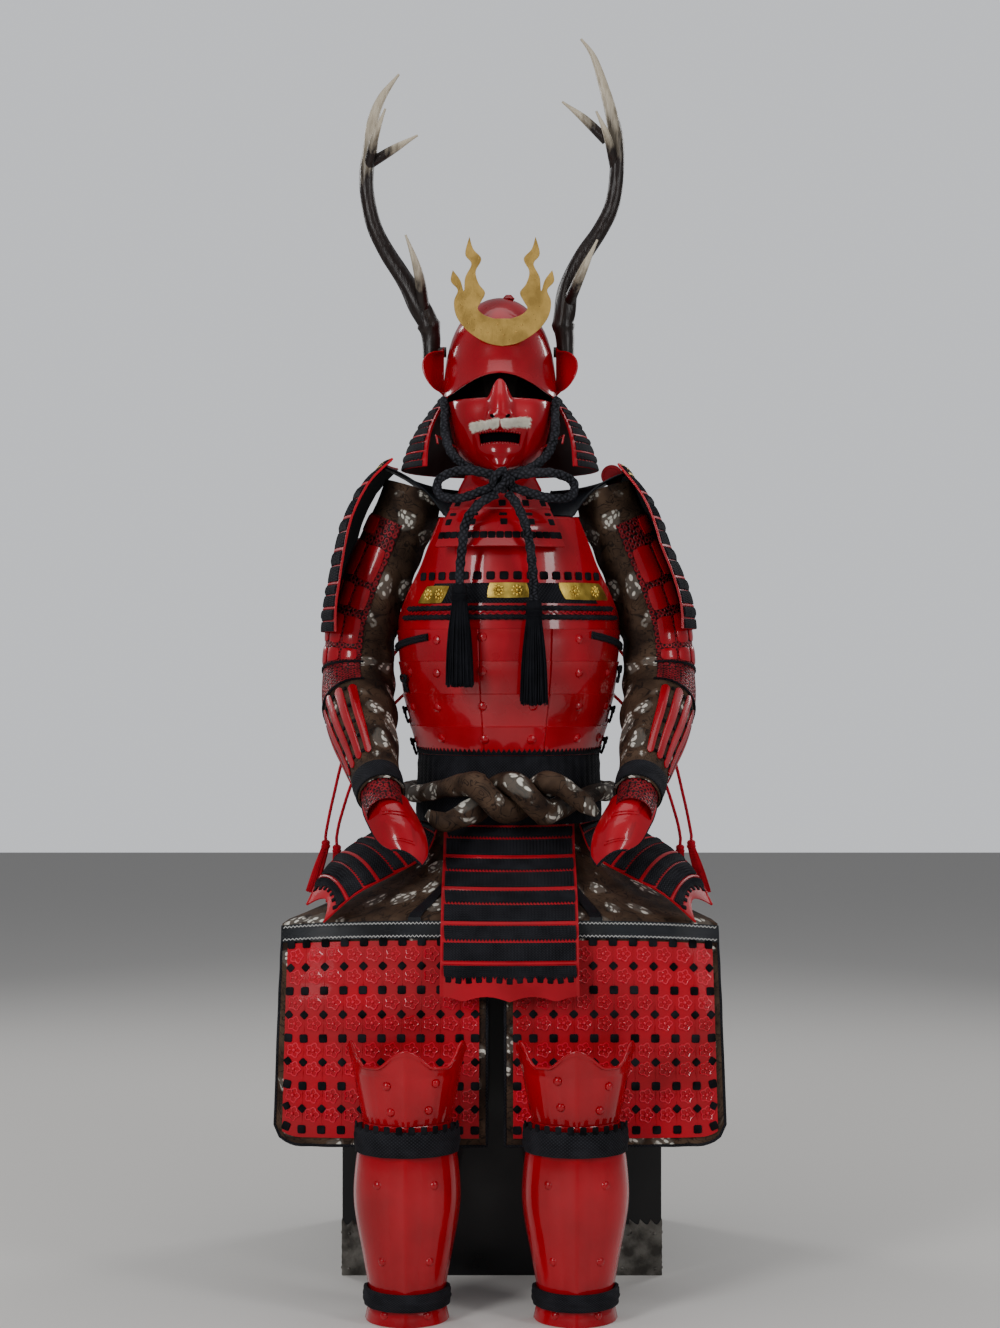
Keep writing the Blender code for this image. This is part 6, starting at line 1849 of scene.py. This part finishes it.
for side_name, side, table in (("left", -1, LEFT_GUARD), ("right", 1, RIGHT_GUARD)):
    surface = guard_place(side, table)
    outward = Vector((side, 0, 0.2))
    laced("shoulder_lames_" + side_name, ("shoulder_guard_" + side_name,), surface, GUARD_LAMES, 24, 46,
          outward,
          (0.27, 0.30), bare=0)
    # A thin black sheet on each guard's inner face: painted shade.
    shoulder_shade_edit = bmesh.new()
    island(shoulder_shade_edit, even(20, -0.98, 0.98), even(12, 0.015, 0.985), surface, -0.0006, outside=outward,
           base=-0.0002)
    dressed("shoulder_painted_shade_" + side_name, shoulder_shade_edit, SHADE_BLACK)
    gold_edit = bmesh.new()
    panel(gold_edit, surface, (-0.90, 0.012, 0.90, 0.078), 0.0012, outward, base=PLATE + 0.0010, crown=0.0004,
          corner=0.05, cells=(24, 6))
    for u in even(6, -0.75, 0.75):
        spot = seat(surface, u, 0.045, outward, PLATE + 0.0024)
        stamp(gold_edit, ROSETTE, spot, 0.0130, 0.0130, 0.0080)
    dressed("gilded_shoulder_plate_" + side_name, gold_edit, ENGRAVED)

    end = reading(table, WING_REACH)

    def strap_place(u, v, side=side, end=end, side_name=side_name):
        row = reading(STRAPS, v)
        outer = row.outer + (end.out - WING_CLEARANCE[side_name] - row.outer) * row.wing
        rise = (end.z - row.z) * row.wing
        return Vector((BODY_X + side * (row.inner + (outer - row.inner) * u), row.y, row.z + rise * u * u))
    strap_edit = bmesh.new()
    island(strap_edit, even(16), even(40), strap_place, STRAP_THICKNESS - 0.0006, outside=UP,
           relief=lambda u, v: 0.0008 * (1 - (2 * u - 1) ** 6), flat=(0.08, 0.26))
    for u in (0.0, 1.0):
        hose(strap_edit, line_on(strap_place, ((u, 0.02), (u, 0.98)), STRAP_THICKNESS * 0.5, UP, 60),
             round_size(0.0021), 8)
    dressed("leather_strap_" + side_name, strap_edit, LEATHER,
            ("shoulder_strap_" + side_name,))
    if side_name == "right":
        disc_edit = bmesh.new()
        foot = strap_place(0.86, 0.36)
        disc_centre = foot + Vector((0, 0, STANDING_PLATE_RADIUS * 0.6))
        disc = Matrix.Translation(disc_centre) @ Matrix.Rotation(pi / 2, 4, "X")
        bmesh.ops.create_cone(disc_edit, cap_ends=True, segments=48, radius1=STANDING_PLATE_RADIUS,
                              radius2=STANDING_PLATE_RADIUS, depth=PLATE, matrix=disc)
        for size in (0.0130, 0.0172):
            round_turns = [2 * pi * k / 40 for k in range(40)]
            ring = [disc @ Vector((size * cos(a), size * sin(a), 0.0010)) for a in round_turns]
            hose(disc_edit, ring, round_size(0.0007), 6, closed=True)
        disc_edit.loops.layers.uv.verify()
        dressed("standing_red_plate", disc_edit, RED)
print("shoulders:", len(PARTS))

# %% [markdown]
# The thigh guard is a brocade apron from the waist over the lap, with two leaves in front of the knees. It is
# one thin sheet with a slit. Soft folds fall from the waist and die out under the leather band.
# %% Brocade apron
APRON_ANGLE = 56
APRON_INSET = 0.0036
KNEE_HALF_WIDTH = 0.334
KNEE_Y = -0.322
KNEE_Z = 0.592
LAP_SAG = 0.008
LEAF_FOOT_Z = 0.246
LEAF_FOOT_Y = -0.343
LEAF_HALF_WIDTH = 0.343
LEAF_CORNER = 0.030
SLIT_LEFT = -0.023
SLIT_RIGHT = 0.005
APRON_CENTRE = -0.003
KNEE_PLACE = 0.35
BAND_PLACES = (0.360, 0.410)
FIELD_PLACES = (0.416, 0.975)
FIELD_INSET = 0.035


def apron_point(u, v):
    """A point of the apron, u from its left edge (-1) to its right edge (1), v from the waist to the foot."""
    turn = u * APRON_ANGLE / 360
    ring = waist_point(turn, 1.0)
    middle = Vector((BODY_X, 0, ring.z))
    top = middle + (ring - middle) * (1 - APRON_INSET / 0.15)
    top.z -= 2 * GAP
    knee_bow = 0.020 * u ** 4
    knee = Vector((APRON_CENTRE + KNEE_HALF_WIDTH * u, KNEE_Y + knee_bow * 2, KNEE_Z - knee_bow * 0.6))
    if v < KNEE_PLACE:
        t = v / KNEE_PLACE
        out = top.lerp(knee, t ** 1.5)
        return Vector((out.x, out.y, top.z + (knee.z - top.z) * t - LAP_SAG * sin(pi * t)))
    t = (v - KNEE_PLACE) / (1 - KNEE_PLACE)
    turned = min(1.0, max(0.0, abs(u) - 0.88) / 0.12)
    corner = LEAF_CORNER * (1 - sqrt(1 - turned * turned))
    foot_z = LEAF_FOOT_Z + corner * t
    half_width = KNEE_HALF_WIDTH + (LEAF_HALF_WIDTH - KNEE_HALF_WIDTH) * t
    forward = KNEE_Y + (LEAF_FOOT_Y - KNEE_Y) * min(1.0, 2.5 * t) + knee_bow * (2 - t)
    drop = KNEE_Z - knee_bow * 0.6 - foot_z
    return Vector((APRON_CENTRE + half_width * u, forward, knee.z - drop * t))


def u_at(x):
    return (x - APRON_CENTRE) / LEAF_HALF_WIDTH


def apron_outward(u, v):
    return Vector((0, -1, 0.3))


def apron_folds(u, v):
    upper = bump(v, 0.16, 0.20)
    lower = bump(v, 0.97, 0.05) * bump(abs(u), 0.5, 0.5)
    return 0.0016 * upper * sin(26 * u + 5 * v) * sin(9 * u) + 0.0006 * lower * sin(44 * u)


LEAVES = {"left": (-1.0, u_at(SLIT_LEFT)), "right": (u_at(SLIT_RIGHT), 1.0)}
apron_across = even(44, *LEAVES["left"]) + even(44, *LEAVES["right"])
apron_along = even(24, 0.0, 0.355) + even(44, 0.36, 1.0)


def in_slit(u, v):
    return u_at(SLIT_LEFT) < u < u_at(SLIT_RIGHT) and v > BAND_PLACES[0]


apron_edit = bmesh.new()
island(apron_edit, apron_across, apron_along, apron_point, CLOTH, outside=FRONT, relief=apron_folds,
       skip=in_slit,
       flat=(0.70, 0.66))
apron = dressed("brocade_apron", apron_edit, BROCADE, ("thigh_apron",), smooth=60)
width, length, area = cut_of(apron_point, apron_across, apron_along)
slit = (SLIT_RIGHT - SLIT_LEFT) * (apron_point(0, BAND_PLACES[0]) - apron_point(0, 1)).length
print("apron cut:", round(width, 3), round(length, 3), "area:", round(area - slit, 4))

# %% [markdown]
# A black leather band with two rows of white zigzag stitches crosses the knees, and narrow leather strips
# hang onto it. Black piping runs round each leaf.
# %% Leather band, stitches and piping
over_apron = lifted(apron_point, CLOTH + 3 * GAP, apron_outward)
band_edit = bmesh.new()
island(band_edit, even(40, *LEAVES["left"]) + even(40, *LEAVES["right"]), even(6, *BAND_PLACES), over_apron,
       CLOTH,
       outside=FRONT, relief=lambda u, v: 0.0006 * bump(abs(v - 0.385), 0.022, 0.006), flat=(0.70, 0.03))
for px, py in ((433, 898), (581, 898)):
    u, v = aimed(over_apron, px, py, (-1, 1), (0.01, 0.5))
    panel(band_edit, over_apron, (u - 0.029, v - 0.055, u + 0.029, BAND_PLACES[0] + 0.004), 0.0016, FRONT,
          base=0.0004,
          corner=0.03, cells=(4, 12))
dressed("leather_band", band_edit, LEATHER, ("thigh_band",))

stitch_edit = bmesh.new()
for low, high in ((0.3640, 0.3695), (0.4005, 0.4060)):
    for leaf in LEAVES.values():
        count = round((leaf[1] - leaf[0]) * 110)
        across_leaf = even(count, leaf[0] + 0.012, leaf[1] - 0.012)
        stops = [(u, low if step % 2 else high) for step, u in enumerate(across_leaf)]
        hose(stitch_edit, line_on(over_apron, stops, CLOTH + 0.0006, FRONT, 2), round_size(0.00060), 5)
dressed("band_stitches", stitch_edit, THREAD, smooth=60)

piping_edit = bmesh.new()
for side_name, (first, last) in LEAVES.items():
    stops = [(first, v) for v in even(40, 0.36, 0.998)] + [(u, 0.998) for u in even(40, first, last)[1:]]
    stops += [(last, v) for v in even(40, 0.998, 0.36)[1:]]
    edge = [apron_point(u, v) + Vector((0, -0.0009, 0)) for u, v in stops]
    hose(piping_edit, edge, plait(0.0024, 900.0), 8)
dressed("apron_piping", piping_edit, LACE, smooth=70)
print("apron pieces:", PARTS[-4:])

# %% [markdown]
# Each leaf carries a red field of small lacquered squares sewn on in rows. Five-lobed flowers are pressed
# into them, with black lace squares and lozenges between the rows. The flowers are a lighter red than the
# field: a painted highlight on their raised outlines.
# %% Fields of small plates
def flower(edit):
    """A pressed flower of a lobed outline, five ridges and a boss, one unit wide."""
    turns = even(30, 0, 2 * pi)[:-1]
    outline = [Vector((cos(turn), sin(turn), 0)) * (0.40 + 0.065 * cos(5 * turn)) for turn in turns]
    hose(edit, outline, round_size(0.046), 5, closed=True)
    bmesh.ops.create_uvsphere(edit, u_segments=8, v_segments=4, radius=0.11)
    for petal in range(5):
        turn = Matrix.Rotation((petal + 0.5) * 2 * pi / 5, 4, "Z") @ Matrix.Translation((0.24, 0, 0))
        bmesh.ops.create_uvsphere(edit, u_segments=6, v_segments=4, radius=0.09,
                                  matrix=turn @ Matrix.Diagonal((1.0, 0.45, 0.50, 1)))


FLOWER = template("pressed_flower", flower)
FLOWER_ROWS = (954, 976, 1002, 1023, 1050, 1069, 1096, 1115)
SQUARE_ROWS = (942, 990, 1038, 1086, 1130)
LOZENGE_ROWS = (966, 1014, 1062, 1109)
FIELD_ROWS_V = even(36, *FIELD_PLACES)


def field_relief(u, v):
    row = (v - FIELD_PLACES[0]) / (FIELD_PLACES[1] - FIELD_PLACES[0]) * 9
    return 0.0011 - 0.0009 * bump(row % 1.0, 0.0, 0.10) - 0.0009 * bump(row % 1.0, 1.0, 0.10)


knot_edit = bmesh.new()
for side_name, (first, last) in LEAVES.items():
    first, last = first + FIELD_INSET, last - FIELD_INSET
    field_edit = bmesh.new()
    highlit_flower_edit = bmesh.new()
    across = even(60, first, last)
    island(field_edit, across, FIELD_ROWS_V, over_apron, PLATE, outside=FRONT, relief=field_relief,
           flat=(0.31, 0.31))
    pitch = (last - first) / 10

    def row_place(py):
        return aimed(over_apron, pixel_of(over_apron((first + last) / 2, 0.6))[0], py, (first, last),
                     (0.36, 1.0))[1]
    for rows, shift, stamp_mesh, edit, size in (
            (FLOWER_ROWS, 0.5, FLOWER, highlit_flower_edit, (0.0245, 0.0245, 0.0260)),
            (SQUARE_ROWS, 0.0, SQUARE, knot_edit, (0.0128, 0.0128, 0.0080)),
            (LOZENGE_ROWS, 0.0, SQUARE, knot_edit, (0.0108, 0.0108, 0.0070))):
        for py in rows:
            v = min(row_place(py), FIELD_PLACES[1] - 0.012)
            for step in range(10 if shift else 11):
                u = min(max(first + pitch * (step + shift), first + 0.018), last - 0.018)
                spot = seat(over_apron, u, v, FRONT, PLATE + (0.0012 if shift else 0.0016))
                if rows is LOZENGE_ROWS:
                    spot = spot @ Matrix.Rotation(pi / 4, 4, "Z")
                stamp(edit, stamp_mesh, spot, *size)
    for step in range(1, 10):
        u = first + pitch * step
        line = line_on(over_apron, ((u, FIELD_PLACES[0] + 0.01), (u, FIELD_PLACES[1] - 0.01)),
                       PLATE + 0.0009, FRONT, 24)
        hose(field_edit, line, round_size(0.0008), 5)
    # The flowers wear the lighter red: a painted highlight.
    dressed("highlit_pressed_flowers_" + side_name, highlit_flower_edit, HIGHLIT_FLOWER_RED, smooth=50)
    dressed("red_field_" + side_name, field_edit, FIELD_RED, ("thigh_plates_" + side_name,),
            smooth=50)
dressed("field_knots", knot_edit, LACE)
print("fields:", PARTS[-3:])

# %% [markdown]
# Shin guards have a ridge down the front and rows of rivets. The knee plates above them end in a waved,
# rolled lip that dips deep between its corners and its crest. Both are tied with wrapped black cloth, the
# upper tie with small tabs along its top.
# %% Shin guards, knee plates and ties
Shin = namedtuple("Shin", "z half_width front reach")
SHIN_ROWS = (
    Shin(0.0000, 0.0600, 0.062, 92),
    Shin(0.0140, 0.0570, 0.060, 92),
    Shin(0.0330, 0.0530, 0.058, 92),
    Shin(0.0900, 0.0620, 0.062, 92),
    Shin(0.1700, 0.0760, 0.068, 92),
    Shin(0.2300, 0.0740, 0.066, 92),
    Shin(0.2750, 0.0660, 0.062, 92),
    Shin(0.2960, 0.0630, 0.060, 92),
)
KNEE_ROWS = (
    Shin(0.2972, 0.0630, 0.060, 92),
    Shin(0.3300, 0.0700, 0.066, 90),
    Shin(0.3700, 0.0770, 0.070, 90),
    Shin(0.4000, 0.0810, 0.070, 84),
)
LEGS = {"left": -0.142, "right": 0.110}
LEG_Y = -0.392
TIE_BACK = 0.032
RIDGE = 0.006
KNEE_SPIKE = 0.033
KNEE_CREST = 0.026
KNEE_DIP = 0.017
Tie = namedtuple("Tie", "low high half_width half_depth")
KNEE_TIE = Tie(0.2520, 0.2900, 0.0738, 0.0735)
ANKLE_TIE = Tie(0.0240, 0.0500, 0.0602, 0.0682)
TIE_THICKNESS = 0.006
TIE_ROUNDING = 0.003


def leg_point(table, centre_x, wavy=False):
    def place(u, v):
        row = reading(table, v)
        angle = u * radians(row.reach)
        ridge = RIDGE * max(0.0, 1 - abs(u) * 5)
        z = row.z
        if wavy:
            spikes = KNEE_SPIKE * bump(abs(u), 0.86, 0.34) + KNEE_CREST * bump(u, 0, 0.35)
            z += spikes * max(0.0, v * 3 - 2)
        flare = 0.006 * max(0.0, v * 3 - 2) if wavy else 0.0
        return Vector((
            centre_x + (row.half_width + flare) * sin(angle),
            LEG_Y - (row.front + ridge + flare) * cos(angle),
            z,
        ))
    return place


KNEE_RIVETS = {"left": ((387, 1086), (435, 1083), (391, 1112), (428, 1110)),
               "right": ((558, 1081), (608, 1086), (561, 1107), (599, 1110))}
SHIN_SHARES = (0.16, 0.44, 0.66, 0.88)
for side_name, centre_x in LEGS.items():
    shin_place = leg_point(SHIN_ROWS, centre_x)

    def knee_place(u, v, waved=leg_point(KNEE_ROWS, centre_x, wavy=True)):
        return waved(u, v) - UP * KNEE_DIP * max(0.0, v * 3 - 2)
    shin_edit = bmesh.new()
    fine_across = even(64, -1, 1)

    def shin_face(u, v):
        lip = 0.0012 * bump(abs(u), 0.97, 0.04) + 0.0010 * bump(v, 0.985, 0.02)
        return lip - 0.0008 * bump(abs(u), 0.42, 0.02)
    island(shin_edit, fine_across, even(48), shin_place, PLATE, outside=FRONT, relief=shin_face,
           flat=(0.2, 0.3))
    for share in SHIN_SHARES:
        for u in (-0.36, 0.36):
            spot = seat(shin_place, u, share, FRONT, PLATE)
            stamp(shin_edit, RIVET, spot, 0.0068, 0.0068, 0.0052)
    dressed("red_shin_guard_" + side_name, shin_edit, SHIN_RED, ("shin_plate_" + side_name,),
            smooth=50)

    knee_edit = bmesh.new()

    def knee_face(u, v):
        lip = 0.0016 * bump(v, 0.97, 0.06) + 0.0010 * bump(abs(u), 0.97, 0.04)
        return lip - 0.0009 * bump(abs(u), 0.45, 0.025)
    island(knee_edit, fine_across, even(30), knee_place, PLATE, outside=FRONT, relief=knee_face,
           flat=(0.2, 0.11))
    crest = [knee_place(u, 1.0) + FRONT * 0.0012 for u in even(80, -1, 1)]
    hose(knee_edit, crest, round_size(0.0024), 8)
    rivets(knee_edit, knee_place, KNEE_RIVETS[side_name], FRONT, 0.0068, PLATE + 0.0012)
    dressed("red_knee_plate_" + side_name, knee_edit, SHIN_RED, ("knee_plate_" + side_name,),
            smooth=50)

    for part, tie in (("knee", KNEE_TIE), ("ankle", ANKLE_TIE)):
        def tie_place(u, v, tie=tie, centre_x=centre_x):
            angle = 2 * pi * u
            depth = tie.half_depth if cos(angle) > 0 else TIE_BACK
            return Vector((centre_x + tie.half_width * sin(angle), LEG_Y - depth * cos(angle),
                           tie.low + (tie.high - tie.low) * v))

        def wrapped(u, v):
            turns = abs(sin(pi * 3.0 * (v + 0.10 * sin(2 * pi * u))))
            rounded = TIE_ROUNDING * (1 - (2 * v - 1) ** 2) * 0.7
            return rounded + 0.0011 * turns + 0.0004 * sin(90 * u + 11 * v)
        tie_edit = bmesh.new()
        island(tie_edit, even(120), even(18), tie_place, TIE_THICKNESS - TIE_ROUNDING, relief=wrapped,
               flat=(0.42, 0.04))
        if part == "knee":
            for u in even(11, -0.21, 0.21):
                spot = seat(tie_place, u, 1.06, FRONT, TIE_THICKNESS - 0.0022)
                stamp(tie_edit, SQUARE, spot, 0.0098, 0.0120, 0.0062)
        dressed(f"wrapped_{part}_tie_{side_name}", tie_edit, LACE,
                (f"{part}_tie_{side_name}",), smooth=60)
print("legs:", len(PARTS))

# %% [markdown]
# The armour chest is black lacquer, bound at its corners with dark worked metal, and its lid shuts with a
# thin bead along its foot.
# %% Chest fittings
CHEST_HALF_WIDTH, CHEST_FRONT, CHEST_BACK = 0.255, -0.130, 0.300
CHEST_BODY_TOP, CHEST_LID_TOP = 0.450, 0.515


def fitting_edge(u, v):
    """The worked edge of a corner plate: small arches along both free sides."""
    return 1 - 0.10 * abs(sin(5 * pi * u)) * v - 0.10 * abs(sin(4 * pi * v)) * u


fitting_edit = bmesh.new()
for side in (-1, 1):
    for up, corner_z in ((1, 0.0), (-1, CHEST_BODY_TOP)):
        tall, wide = (0.090, 0.085) if up > 0 else (0.030, 0.062)

        def worked(u, v):
            scroll = sin(26 * u + 5 * sin(15 * v)) * sin(22 * v + 5 * sin(13 * u))
            rim = 0.0006 * max(bump(u, 0.93, 0.07), bump(v, 0.93, 0.07))
            return 0.0007 * max(0.0, scroll) + rim
        for face, outside in (("front", FRONT), ("side", Vector((side, 0, 0))), ("rear", BACK)):
            def surface(u, v):
                reach = fitting_edge(u, v)
                inward = wide * u * reach
                across = CHEST_HALF_WIDTH if face == "side" else CHEST_HALF_WIDTH - inward
                deep = CHEST_BACK if face == "rear" else CHEST_FRONT + (inward if face == "side" else 0.0)
                return Vector((side * across, deep, corner_z + up * tall * v * reach))
            island(fitting_edit, even(30), even(30), surface, 0.0010, outside=outside, relief=worked,
                   flat=(0.08, 0.08))
            for u, v in ((0.12, 0.12), (0.80, 0.14), (0.14, 0.80)):
                spot = seat(surface, u, v, outside, 0.0016)
                stamp(fitting_edit, RIVET, spot, 0.0028, 0.0028, 0.0022)
dressed("chest_corner_fittings", fitting_edit, FITTING, smooth=50)

bead_edit = bmesh.new()
for z in (CHEST_BODY_TOP + 0.0035, CHEST_LID_TOP - 0.016):
    loop = [(-1, CHEST_FRONT - 0.0044), (1, CHEST_FRONT - 0.0044), (1, CHEST_BACK + 0.0044),
            (-1, CHEST_BACK + 0.0044)]
    ring = [Vector((side * (CHEST_HALF_WIDTH + 0.0044), y, z)) for side, y in loop]
    line = [a.lerp(b, t) for a, b in zip(ring, ring[1:] + ring[:1]) for t in even(24)[:-1]]
    hose(bead_edit, line, round_size(0.0016), 6, closed=True)
dressed("chest_lid_beads", bead_edit, BLACK, smooth=50)
print("chest:", PARTS[-2:])

# %% [markdown]
# Behind each shoulder a red twisted cord hangs from a fold down to two tassels. Each cord is built as two
# runs from that fold, and the length of each run is printed.
# %% Red cords behind
BACK_CORD_RADIUS = 0.0028
LEFT_BACK_CORD = (
    (-0.3010, 0.150, 0.6780), (-0.3000, 0.150, 0.6920), (-0.2880, 0.149, 0.7500), (-0.2640, 0.146, 0.8400),
    (-0.2150, 0.142, 0.9500), (-0.1350, 0.140, 1.0500), (-0.0600, 0.1398, 1.1000), (-0.0350, 0.1403, 1.0900),
    (-0.0500, 0.1403, 1.0500), (-0.1200, 0.140, 0.9700), (-0.2000, 0.142, 0.8900), (-0.2500, 0.146, 0.7900),
    (-0.2740, 0.149, 0.7200), (-0.2820, 0.150, 0.6840), (-0.2820, 0.150, 0.6700),
)
BACK_TASSEL_LENGTH = 0.090
FOLD = 7
CORE_IN_BACK_TASSEL = 0.012


TWIST_PITCH = 0.011


def twisted(radius):
    """The size of a rope laid from three strands."""
    def size(step, turn, along):
        return radius * (0.86 + 0.16 * abs(sin(1.5 * turn + pi * along / TWIST_PITCH)))
    return size


for side_name, side in SIDES:
    route = [Vector((BODY_X + side * -(x - BODY_X), y, z)) for x, y, z in LEFT_BACK_CORD]
    for number, run, lean in (("outer", route[FOLD::-1], 0.024), ("inner", route[FOLD:], -0.004)):
        top = run[-1] - UP * 2 * GAP
        fringe = tassel_piece(f"red_tassel_{side_name}_{number}", f"back_tassel_{side_name}_{number}", top,
                              BACK_TASSEL_LENGTH, 0.0095, 60, 0.0075, 0.014, SILK,
                              lean=(side * lean, 0))
        points = smooth_route([*run, run[-1] - UP * CORE_IN_BACK_TASSEL], 0.0022)
        cord_edit = bmesh.new()
        hose(cord_edit, points, twisted(BACK_CORD_RADIUS), 12)
        rope = dressed(f"red_cord_{side_name}_{number}", cord_edit, SILK,
                       ("back_cord_" + side_name,), smooth=75)
        tuple(points[0])
        length_of(points)
        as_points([tuple(point) for point in points[::3]] + [tuple(points[-1])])
        print("red cord", side_name, number, "length:", round(length_of(points), 3))
